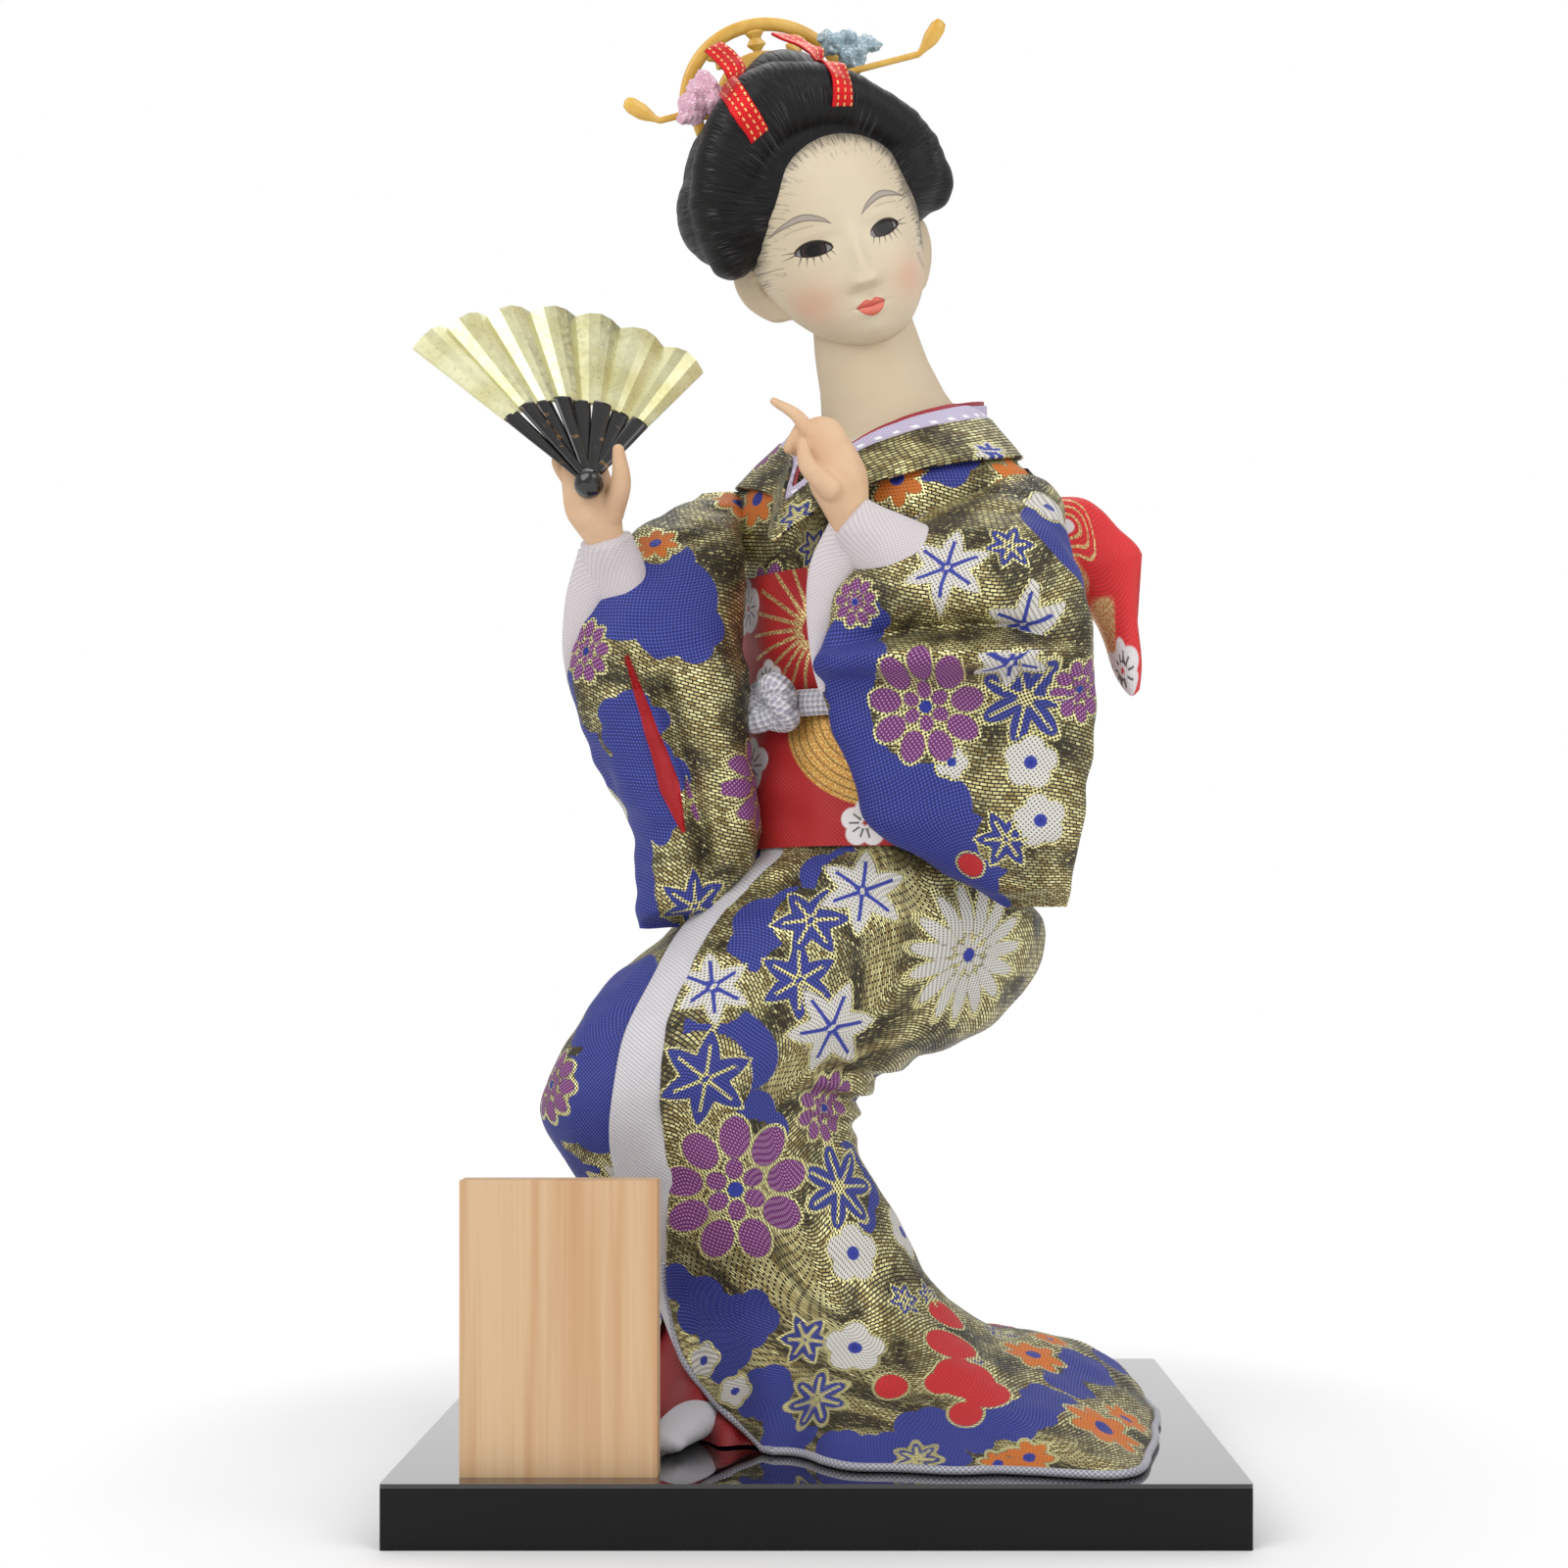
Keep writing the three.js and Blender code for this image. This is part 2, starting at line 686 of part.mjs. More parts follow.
// Point sunk below the skirt's outer face by a depth, square to the face.
function skirtPoint(height, angle, depth) {
  const step = 0.12;
  const low = Math.max(height - 1, 0);
  const round = skirtFace(height, angle + step).sub(skirtFace(height, angle - step));
  const up = skirtFace(height + 1, angle).sub(skirtFace(low, angle));
  const out = round.cross(up).normalize();
  return skirtFace(height, angle).addScaledVector(out, -depth);
}

const skirtHeights = [
  ...[HEM_LIFT, 3, 8, 15, 24, HEM_CURVE_Z],
  ...SKIRT.map(([height]) => height).filter((height) => height > HEM_CURVE_Z),
];

const skirtRings = (depth, heights = skirtHeights) =>
  heights.map((height) => ANGLES.map((angle) => skirtPoint(height, angle, depth)));

const UNDER_FLOOR = 40;
const underFloor = block(3 * BASE_WIDTH, 3 * BASE_DEPTH, UNDER_FLOOR, 0, 0, HEM_LIFT - UNDER_FLOOR);

// Cloth that follows the skirt at a depth, open below and above.
function skirtShell(depth, thickness, heights) {
  const hollow = skirtRings(depth + thickness, heights);
  hollow.unshift(shifted(hollow[0], -2 * CLOTH));
  hollow.push(shifted(hollow.at(-1), 2 * thickness));
  return cut(loft(skirtRings(depth, heights)), loft(hollow), underFloor);
}

// The figure and its base

const group = new THREE.Group();
const figure = new THREE.Group();
figure.position.z = BOARD_HEIGHT + SHEET_HEIGHT;
group.add(figure);

function add(name, geometry, material, parent = figure) {
  const mesh = new THREE.Mesh(geometry, material);
  mesh.name = name;
  parent.add(mesh);
}

const headGroup = new THREE.Group();
headGroup.position.copy(HEAD_CENTRE);
headGroup.rotation.set(rad(HEAD_PITCH_DEG), rad(HEAD_ROLL_DEG), rad(HEAD_YAW_DEG), "YZX");
headGroup.updateMatrix();
figure.add(headGroup);

// Base, plaque, sole block and screws

const screwPlaces = [-1, 1].map((side) => [SOLE_X + (side * SCREW_SPACING) / 2, SOLE_Y]);

function screw([x, y], grow) {
  const foot = -BOARD_HEIGHT - SHEET_HEIGHT;
  const profile = [
    [0, foot + GAP - grow],
    [SCREW_HEAD_RADIUS + grow, foot + GAP - grow],
    [SCREW_RADIUS + grow, foot + GAP + SCREW_HEAD_DEPTH + grow],
    [SCREW_RADIUS + grow, SCREW_BITE - SCREW_RADIUS],
    [0, SCREW_BITE + grow],
  ].map(([r, z]) => new THREE.Vector2(r, z));
  return new THREE.LatheGeometry(profile, 10).rotateX(Math.PI / 2).translate(x, y, 0);
}

const screwHoles = screwPlaces.map((place) => screw(place, GAP));

function slab(width, depth, height, bottom) {
  const edge = BASE_EDGE;
  const outline = new THREE.Shape()
    .moveTo(-width / 2 + edge, -depth / 2)
    .lineTo(width / 2 - edge, -depth / 2)
    .absarc(width / 2 - edge, -depth / 2 + edge, edge, -Math.PI / 2, 0)
    .lineTo(width / 2, depth / 2 - edge)
    .absarc(width / 2 - edge, depth / 2 - edge, edge, 0, Math.PI / 2)
    .lineTo(-width / 2 + edge, depth / 2)
    .absarc(-width / 2 + edge, depth / 2 - edge, edge, Math.PI / 2, Math.PI)
    .lineTo(-width / 2, -depth / 2 + edge)
    .absarc(-width / 2 + edge, -depth / 2 + edge, edge, Math.PI, 1.5 * Math.PI);
  const options = { depth: height, bevelEnabled: false, curveSegments: 3 };
  return new THREE.ExtrudeGeometry(outline, options).translate(0, 0, bottom);
}

const board = slab(BASE_WIDTH, BASE_DEPTH, BOARD_HEIGHT, -BOARD_HEIGHT - SHEET_HEIGHT);
const topSheet = slab(BASE_WIDTH, BASE_DEPTH, SHEET_HEIGHT, -SHEET_HEIGHT);
add("base_board", cut(board, ...screwHoles), LACQUER);
add("base_top_sheet", cut(topSheet, ...screwHoles), GLOSS);

const plaqueX = -BASE_WIDTH / 2 + PLAQUE_LEFT_MARGIN + PLAQUE_WIDTH / 2;
const plaqueY = -BASE_DEPTH / 2 + PLAQUE_FRONT_MARGIN + PLAQUE_THICKNESS / 2;
add("plaque", block(PLAQUE_WIDTH, PLAQUE_THICKNESS, PLAQUE_HEIGHT, plaqueX, plaqueY, 0), PINE);

screwPlaces.forEach((place, i) => add(`sole_screw_${i + 1}`, screw(place, 0), STEEL));

// Spine rod, cores and arm wires

const rodLine = [
  vec(SOLE_X, SOLE_Y, GAP),
  vec(SOLE_X, SOLE_Y, SOLE_HEIGHT + ROD_STRAIGHT),
  ...ROD_LINE.map((p) => vec(...p)),
];

const rod = (grow) => limb(rodLine, [ROD_RADIUS + grow, ROD_RADIUS + grow], 6, 14);
const legDepth = CLOTH + GAP + THIN_CLOTH + GAP;
const ANKLE_REACH = 9;
const TORSO_DROP = 4; // from the neckline down to the top of the torso core

// The stuffed legs narrow to the ankles where the skirt spreads.
function legRing(height) {
  const [, x, y, halfLength] = rowAt(SKIRT, height);
  const share = THREE.MathUtils.smoothstep(height, SOLE_HEIGHT, HEM_CURVE_Z);
  const reach = lerp(ANKLE_REACH, halfLength + legDepth, share);
  const centre = vec(lerp(SOLE_X, x, share), lerp(SOLE_Y, y, share), height);
  return HIDDEN_ANGLES.map((angle) => vec(reach * Math.cos(angle), reach * Math.sin(angle), 0).add(centre));
}

const legRings = [SOLE_HEIGHT + GAP, 14, 20, 27, HEM_CURVE_Z, 60, 90, WAIST_Z].map(legRing);
const skirtInside = skirtRings(legDepth);
skirtInside.push(shifted(skirtInside.at(-1), 2 * legDepth));

const neckAxis = NECK_TOP.clone().sub(NECK_FOOT).normalize();
const neckTurn = new THREE.Quaternion().setFromUnitVectors(vec(0, 1, 0), neckAxis);

// Neck as a turned form about its own axis, with the peg that plugs into the torso.
function neck(grow) {
  const length = NECK_FOOT.distanceTo(NECK_TOP);
  const profile = [
    [0, -NECK_PEG_LENGTH - grow],
    [NECK_PEG_RADIUS + grow, -NECK_PEG_LENGTH - grow],
    [NECK_PEG_RADIUS + grow, -grow],
    ...NECK_FLARE.map(([extra, height], i) => [NECK_RADIUS + extra + grow, i > 0 ? height : -grow]),
    [NECK_RADIUS + grow, length],
    [0, length],
  ].map(([r, z]) => new THREE.Vector2(r, z));
  const turned = new THREE.LatheGeometry(profile, 20);
  return turned.applyQuaternion(neckTurn).translate(NECK_FOOT.x, NECK_FOOT.y, NECK_FOOT.z);
}

const ARMS = {
  right: { line: [RIGHT_SHOULDER, RIGHT_UPPER_ARM, RIGHT_ELBOW, RIGHT_WRIST], end: RIGHT_WIRE_END },
  left: { line: [LEFT_SHOULDER, LEFT_UPPER_ARM, LEFT_ELBOW, LEFT_WRIST], end: LEFT_WIRE_END },
};
const wire = (side, grow) => bentBar([...ARMS[side].line, ARMS[side].end], WIRE_RADIUS + grow, 6);
const arm = (side, grow) => bentBar(ARMS[side].line, ARM_RADIUS + grow, 8);

const torsoTop = NECKLINE_Z - TORSO_DROP;
const torsoForm = loft(torsoRings(WAIST_Z, torsoTop, -CLOTH - GAP, HIDDEN_ANGLES));
const soleBlock = (grow) => {
  const [width, depth] = [SOLE_WIDTH + 2 * grow, SOLE_DEPTH + 2 * grow];
  return block(width, depth, SOLE_HEIGHT + grow, SOLE_X, SOLE_Y, 0);
};

add("sole_block", cut(soleBlock(0), rod(GAP), ...screwHoles), PINE);
add("spine_rod", cut(rod(0), neck(GAP)), STEEL);
add("leg_core", cut(common(loft(legRings), loft(skirtInside)), rod(GAP)), STUFFING);
add("torso_core", cut(torsoForm, rod(GAP), neck(GAP), wire("right", GAP), wire("left", GAP)), STUFFING);

// Feet in white socks

function foot([x, y, turn], grow) {
  const radii = [FOOT_HALF_LENGTH + grow, FOOT_HALF_WIDTH + grow, FOOT_HEIGHT + grow];
  return ellipsoid([0, 0, 0], radii, 12, 8).rotateZ(rad(turn)).translate(x, y, 0);
}

add("foot_right", cut(foot(FOOT_RIGHT, 0), underFloor, soleBlock(GAP)), WHITE_CLOTH);
add("foot_left", cut(foot(FOOT_LEFT, 0), underFloor, soleBlock(GAP)), WHITE_CLOTH);

// Skirt pieces

const OPENING_TOP = 36;
const OPENING_LEFT = -40;
const OPENING_RIGHT = -9;
const OPENING_BEND = -24;
const OPENING_TIP = -28;
const OPENING_BACK = -8; // how far back the cut reaches
const UNDER_SKIRT_TOP = 60;
const openingOutline = new THREE.Shape()
  .moveTo(OPENING_LEFT, -CLOTH)
  .lineTo(OPENING_RIGHT, -CLOTH)
  .quadraticCurveTo(OPENING_BEND, OPENING_TOP / 3, OPENING_TIP, OPENING_TOP)
  .lineTo(OPENING_LEFT, -CLOTH);
const openingOptions = { depth: BASE_DEPTH / 2, bevelEnabled: false, curveSegments: 6 };
const opening = new THREE.ExtrudeGeometry(openingOutline, openingOptions)
  .rotateX(Math.PI / 2)
  .translate(0, OPENING_BACK, 0);

add("kimono_skirt", cut(skirtShell(0, CLOTH, skirtHeights), opening), BROCADE);
const underSkirtHeights = skirtHeights.filter((height) => height < UNDER_SKIRT_TOP);
const underSkirt = skirtShell(CLOTH + GAP, THIN_CLOTH, underSkirtHeights);
add("under_skirt", cut(underSkirt, foot(FOOT_RIGHT, GAP), foot(FOOT_LEFT, GAP)), RED_SATIN);

const overlapHeights = skirtHeights.filter((height) => height < WAIST_Z - 5);
const overlapShell = (thickness) => skirtShell(-GAP - thickness, thickness, overlapHeights);

// Everything in front of the seam plane on one side of a line of [x, z] points.
function besideLine(line, farX) {
  const outline = new THREE.Shape().moveTo(farX, line[0][1]);
  line.forEach(([x, z]) => outline.lineTo(x, z));
  outline.lineTo(farX, line.at(-1)[1]);
  const options = { depth: 2 * BASE_DEPTH, bevelEnabled: false };
  return new THREE.ExtrudeGeometry(outline, options).rotateX(Math.PI / 2).translate(0, BASE_DEPTH, 0);
}

const edgeHeights = evenly(-CLOTH, WAIST_Z, EDGE_STEPS);
const edgeLine = (shift) =>
  edgeHeights.map((height) => {
    const [, x, width] = rowAt(OVERLAP_EDGE, height);
    return [x - shift(width), height];
  });
const behind = block(3 * BASE_WIDTH, 3 * BASE_DEPTH, 3 * WAIST_Z, 0, 1.5 * BASE_DEPTH, -WAIST_Z);
const behindSeam = behind.rotateZ(rad(SEAM_DEG));
const leftOfOverlap = besideLine(edgeLine(() => 0), -2 * BASE_WIDTH);
const leftOfLapel = besideLine(edgeLine((width) => width), -2 * BASE_WIDTH);
const rightOfLapel = besideLine(edgeLine(() => GAP), 2 * BASE_WIDTH);
const belowLapel = block(3 * BASE_WIDTH, 3 * BASE_DEPTH, WAIST_Z, 0, 0, LAPEL_FOOT_Z - WAIST_Z);
add("skirt_overlap", cut(overlapShell(CLOTH), leftOfOverlap, behindSeam), BROCADE);
const lapelTools = [leftOfLapel, rightOfLapel, belowLapel, behindSeam];
add("lapel_lining", cut(overlapShell(THIN_CLOTH), ...lapelTools), SILVER_CLOTH);

// Sleeves, arms and hands

const SLEEVE_SIDES = 14;
const SLEEVE_FOLD = 0.08;
const MOUTH_TOP = 156; // height where the slit of a sleeve ends

function sleeveRing([height, x, y, halfLength, halfWidth, turn], grow, shift) {
  return evenly(0, 2 * Math.PI, SLEEVE_SIDES + 1)
    .slice(0, SLEEVE_SIDES)
    .map((angle) => {
      const fold = 1 + SLEEVE_FOLD * Math.cos(5 * angle);
      const along = (halfLength + grow) * Math.cos(angle);
      const across = (halfWidth * fold + grow) * Math.sin(angle);
      const placed = vec(along, across, 0).applyAxisAngle(vec(0, 0, 1), rad(turn));
      return placed.add(vec(x, y, height)).add(shift);
    });
}

const sleeveForm = (table, grow) => loft(table.map((row) => sleeveRing(row, grow, vec(0, 0, 0))));

// Bag of cloth, hollow and open towards its mouth below the wrist.
function sleeveBag(table, mouth, slit) {
  const lower = table.slice(1).filter(([height]) => height < MOUTH_TOP);
  const narrowed = lower.map((row) => row.with(3, row[3] * slit));
  const hollow = narrowed.map((row) => sleeveRing(row, -CLOTH, mouth));
  return cut(sleeveForm(table, 0), loft(hollow));
}

const lineOf = (points) => points.map((p) => vec(...p));

// Fingers side by side, each a step from the one before.
function fingers(first, step, count) {
  const moved = (i) => first.map((p, k) => vec(...p).addScaledVector(vec(...step[k]), i));
  return Array.from({ length: count }, (_, i) => ({ line: moved(i), radii: FINGER_RADII }));
}

const rightPalm = [RIGHT_WRIST, ...lineOf(RIGHT_PALM)];
const leftPalm = [LEFT_WRIST, ...lineOf(LEFT_PALM)];
const handForms = {
  right: [
    { line: rightPalm, radii: RIGHT_PALM_RADII, flatten: RIGHT_PALM_FLATTEN },
    { line: lineOf(RIGHT_THUMB), radii: THUMB_RADII },
    ...fingers(RIGHT_FINGER, RIGHT_FINGER_STEP, RIGHT_FINGERS),
  ],
  left: [
    { line: leftPalm, radii: LEFT_PALM_RADII, flatten: LEFT_PALM_FLATTEN },
    { line: lineOf(LEFT_THUMB), radii: THUMB_RADII },
    { line: lineOf(LEFT_POINTER), radii: POINTER_RADII },
    ...fingers(LEFT_FINGER, LEFT_FINGER_STEP, LEFT_FINGERS),
  ],
};

function hand(side, grow) {
  const forms = handForms[side].map(({ line, radii, flatten }) =>
    limb(line, radii.map((r) => r + grow), 6, 3, flatten),
  );
  return joined(...forms);
}

const CUFF_REACH = 12;
const CUFF_RADIUS = 5.6;
const CUFF_FLARE = 1.8;

// White under-sleeve, a cone from the wrist back along the arm.
function cuff(side, grow) {
  const [elbow, wrist] = ARMS[side].line.slice(-2);
  const back = elbow.clone().sub(wrist).setLength(CUFF_REACH);
  const line = [wrist.clone().addScaledVector(back, -0.12), wrist.clone().add(back)];
  line.splice(1, 0, line[0].clone().lerp(line[1], 0.5));
  return limb(line, [CUFF_RADIUS + grow, CUFF_RADIUS + CUFF_FLARE + grow], 10, 2);
}

const torsoTall = (grow) => {
  const rings = torsoRings(OBI_BOTTOM, NECKLINE_Z, grow);
  return loft([shifted(rings[0], -1), ...rings.slice(1)]);
};
const obiOuter = GAP + OBI_THICKNESS;
const cordOuter = obiOuter + GAP + CORD_THICKNESS;
const obiForm = (grow) => loft(torsoRings(OBI_BOTTOM, OBI_TOP, obiOuter + grow));
const cordForm = (grow) => loft(torsoRings(CORD_Z, CORD_TOP, cordOuter + grow));
const skirtGrown = loft(skirtRings(-4 * GAP - CLOTH));

for (const [side, table, mouth, slit] of [
  ["right", RIGHT_SLEEVE, vec(-1, -4, 0), 0.4],
  ["left", LEFT_SLEEVE, vec(-3.5, 0.4, 0), 1],
]) {
  const trunk = [torsoTall(GAP), obiForm(GAP), cordForm(GAP)];
  const inHand = [wire(side, GAP), hand(side, GAP)];
  const inSleeve = [arm(side, GAP), cuff(side, GAP), ...inHand];
  add(`sleeve_${side}`, cut(sleeveBag(table, mouth, slit), ...inSleeve, ...trunk, skirtGrown), BROCADE);
  add(`under_sleeve_${side}`, cut(cuff(side, 0), arm(side, GAP), ...inHand, ...trunk), WHITE_CLOTH);
  add(`arm_padding_${side}`, cut(arm(side, 0), ...trunk, ...inHand), STUFFING);
  add(`arm_wire_${side}`, wire(side, 0), STEEL);
}

// Fan: a leaf in curved pleats, sticks in sharp ones, both about the stud

const fanLeft = rad(FAN_LEFT_DEG);
const fanAlong = vec(Math.cos(fanLeft), 0, Math.sin(fanLeft));
const fanAcross = vec(Math.sin(fanLeft), 0, -Math.cos(fanLeft))
  .multiplyScalar(Math.cos(rad(FAN_TILT_DEG)))
  .add(vec(0, Math.sin(rad(FAN_TILT_DEG)), 0));
const fanOut = fanAcross.clone().cross(fanAlong).normalize();

function fanPoint(radius, share, lift) {
  const angle = rad(FAN_SPAN_DEG) * share;
  return FAN_PIVOT.clone()
    .addScaledVector(fanAlong, radius * Math.cos(angle))
    .addScaledVector(fanAcross, radius * Math.sin(angle))
    .addScaledVector(fanOut, lift);
}

// Pleated sector between two radii, with a height for each share of the span.
function pleated(from, to, rows, columns, rise) {
  const height = (radius, share) => rise(share) * (radius / FAN_RADIUS);
  const row = (radius, lift) =>
    evenly(0, 1, columns).map((share) => fanPoint(radius, share, lift + height(radius, share)));
  const face = (lift) => evenly(from, to, rows).map((radius) => row(radius, lift));
  return sheet(face(FAN_SHEET / 2), face(-FAN_SHEET / 2));
}

const PLEAT_FACETS = 4;
const leafRise = (share) => FAN_PLEAT_DEPTH * Math.abs(Math.sin(Math.PI * FAN_PLEATS * share));
const stickRise = (share) => (Math.round(share * 2 * FAN_PLEATS) % 2) * FAN_PLEAT_DEPTH;
const stud = (grow) => {
  const half = FAN_STUD_LENGTH / 2;
  const back = FAN_PIVOT.clone().addScaledVector(fanOut, -half * 0.4 - grow);
  const front = FAN_PIVOT.clone().addScaledVector(fanOut, half + grow);
  const dome = ellipsoid([0, 0, 0], [1, 1, 1], 8, 5);
  const radius = FAN_STUD_RADIUS + grow;
  const knob = dome.scale(radius, radius, radius).translate(front.x, front.y, front.z);
  return joined(bar(back, front, radius, 8), knob);
};
const fanLeaf = pleated(FAN_STICK_RADIUS, FAN_RADIUS, 2, FAN_PLEATS * PLEAT_FACETS + 1, leafRise);
const fanSticks = pleated(1, FAN_STICK_RADIUS - GAP, 2, 2 * FAN_PLEATS + 1, stickRise);
add("fan_leaf", fanLeaf, GILT);
add("fan_sticks", cut(fanSticks, stud(GAP)), BLACK_PLASTIC);
add("fan_stud", stud(0), BLACK_PLASTIC);
const fanSlab = (grow) => {
  const row = (radius, lift) => evenly(0, 1, FAN_PLEATS).map((share) => fanPoint(radius, share, lift));
  const face = (lift) => [1, FAN_RADIUS].map((radius) => row(radius, lift));
  return sheet(face(FAN_PLEAT_DEPTH + FAN_SHEET + grow), face(-FAN_SHEET - grow));
};
add("hand_right", cut(hand("right", 0), wire("right", GAP), fanSlab(0), stud(GAP)), FLESH);
add("hand_left", cut(hand("left", 0), wire("left", GAP)), FLESH);

// Bodice, obi and bow

const wires = [wire("right", GAP), wire("left", GAP)];
add("bodice", cut(torsoShell(OBI_BOTTOM, NECKLINE_Z, -CLOTH, 0), ...wires), BROCADE);
add("obi", torsoShell(OBI_BOTTOM, OBI_TOP, GAP, obiOuter), OBI_CLOTH);
add("obi_cord", torsoShell(CORD_Z, CORD_TOP, obiOuter + GAP, cordOuter), CORD_YARN);

// Knot of the cord, on the front of the obi

const onTorso = (height, degrees, offset) => onForm(BODICE, height, rad(degrees), offset);
const knotPlace = onTorso(CORD_Z + CORD_HEIGHT / 2, KNOT_DEG, cordOuter);
const knotForm = ellipsoid([0, 0, 0], [KNOT_HALF_WIDTH, KNOT_HALF_DEPTH, KNOT_HALF_HEIGHT], 10, 8)
  .rotateZ(rad(KNOT_DEG + 90))
  .translate(knotPlace.x, knotPlace.y, knotPlace.z);
const sleevesGrown = [sleeveForm(RIGHT_SLEEVE, GAP), sleeveForm(LEFT_SLEEVE, GAP)];
add("obi_knot", cut(knotForm, obiForm(GAP), cordForm(GAP), ...sleevesGrown), CORD_YARN);

// Bow at the back: two wings that droop from the knot between them

const bowKnot = onTorso(BOW_Z, BOW_DEG, obiOuter + BOW_KNOT_HALF);
const bowKnotForm = (grow) =>
  ellipsoid([0, 0, 0], [BOW_KNOT_HALF + grow, BOW_KNOT_HALF * 1.3 + grow, BOW_KNOT_HALF * 1.6 + grow], 10, 6)
    .rotateZ(rad(BOW_DEG))
    .translate(bowKnot.x, bowKnot.y, bowKnot.z);

function bowWing(degrees) {
  const out = vec(Math.cos(rad(degrees)), Math.sin(rad(degrees)), 0);
  const back = vec(-out.y, out.x, 0);
  const rings = BOW_WING.map(([reach, halfHeight, halfThick, rise]) =>
    evenly(0, 2 * Math.PI, 13)
      .slice(0, 12)
      .map((angle) =>
        bowKnot
          .clone()
          .addScaledVector(out, reach)
          .addScaledVector(back, halfThick * Math.cos(angle))
          .add(vec(0, 0, rise + halfHeight * Math.sin(angle))),
      ),
  );
  const tools = [torsoTall(GAP), obiForm(GAP), cordForm(GAP), bowKnotForm(GAP), ...sleevesGrown];
  return cut(loft(rings), ...tools);
}

add("bow_knot", cut(bowKnotForm(0), obiForm(GAP), cordForm(GAP)), OBI_CLOTH);
add("bow_wing_left", bowWing(BOW_DEG - BOW_SPREAD_DEG), OBI_CLOTH);
add("bow_wing_right", bowWing(BOW_DEG + BOW_SPREAD_DEG), OBI_CLOTH);

// Collars: bands that stand round the neck and cross on the chest

// Band along the neckline at a distance from it, leaning out towards its foot.
function collarBand(drop, height, inset, thickness) {
  const line = new THREE.CatmullRomCurve3(NECKLINE.map(([x, y, z]) => vec(x, y, z - drop)));
  const face = (depth) => {
    const points = evenly(0, 1, 19).map((t) => line.getPoint(t));
    const edge = (lift) =>
      points.map((p) => {
        const out = p.clone().sub(NECK_FOOT).setZ(0).normalize();
        return p.clone().addScaledVector(out, depth + (drop - lift) * COLLAR_LEAN).setZ(p.z + lift);
      });
    return [edge(-height / 2), edge(height / 2)];
  };
  const tools = [neck(2 * GAP), hand("left", GAP), cuff("left", GAP), ...sleevesGrown];
  return cut(sheet(face(inset + thickness), face(inset)), torsoTall(GAP), ...tools);
}

const layer = THIN_CLOTH + 2 * GAP;
add("kimono_collar", collarBand(COLLAR_DROP, COLLAR_HEIGHT, layer, CLOTH), BROCADE);
add("under_collar", collarBand(UNDER_COLLAR_DROP, UNDER_COLLAR_HEIGHT, 0, THIN_CLOTH), LILAC);
add("collar_piping", collarBand(PIPING_DROP, UNDER_COLLAR_HEIGHT, -layer, THIN_CLOTH), RED_SATIN);

// Head: skull and face in one moulding with the neck

const HEAD_SIDES = 20;

function skull(grow) {
  const rings = HEAD.map(([height, y, halfWidth, halfDepth]) =>
    evenly(0, 2 * Math.PI, HEAD_SIDES + 1)
      .slice(0, HEAD_SIDES)
      .map((angle) =>
        vec((halfWidth + grow) * Math.cos(angle), y + (halfDepth + grow) * Math.sin(angle), height),
      ),
  );
  return loft(rings);
}

const swelled = ([x, y, z], grow) => [x + grow, y + grow, z + grow];
const eyeForm = (side, grow) =>
  ellipsoid([side * EYE_SPACING, EYE_Y, EYE_Z], swelled(EYE_RADII, grow), 10, 6);
const nose = ellipsoid([0, NOSE_Y, NOSE_Z], NOSE_RADII, 8, 6);
const lips = ellipsoid([0, LIPS_Y, LIPS_Z], LIPS_RADII, 8, 6);
const ears = (grow) =>
  [-1, 1].map((side) => ellipsoid([side * EAR_X, EAR_Y, EAR_Z], swelled(EAR_RADII, grow), 8, 6));
const face = cut(joined(skull(0), nose, lips, ...ears(0)), eyeForm(-1, GAP), eyeForm(1, GAP));
add("head", joined(face.applyMatrix4(headGroup.matrix), neck(0)), IVORY);
add("eye_right", eyeForm(-1, 0), EYE, headGroup);
add("eye_left", eyeForm(1, 0), EYE, headGroup);

// Hair, in the head's own frame: combed mass with its front roll, top lock and bun

const mirrored = (points) => [...points, ...points.slice(0, -1).reverse().map((p) => vec(-p.x, p.y, p.z))];
const rollLine = mirrored(ROLL_LINE.map((p) => vec(...p)));

const hairMass = (grow) =>
  joined(
    ellipsoid(MASS_CENTRE, swelled(MASS_RADII, grow), 16, 10),
    ...[-1, 1].map((side) => ellipsoid([side * WING_X, WING_Y, WING_Z], swelled(WING_RADII, grow), 10, 7)),
    limb(rollLine, ROLL_RADII.map((r) => r + grow), 8, 11),
    ellipsoid(NAPE_CENTRE, swelled(NAPE_RADII, grow), 10, 6),
  );
const lock = (grow) => ellipsoid(LOCK_CENTRE, swelled(LOCK_RADII, grow), 14, 10);
const toHead = headGroup.matrix.clone().invert();
const neckRoom = neck(2 * GAP).applyMatrix4(toHead);
const headRoom = [skull(GAP), ...ears(GAP), neckRoom];

// Comb: an openwork arch on a row of teeth

const combCentre = vec(COMB_X, COMB_Y, COMB_Z);

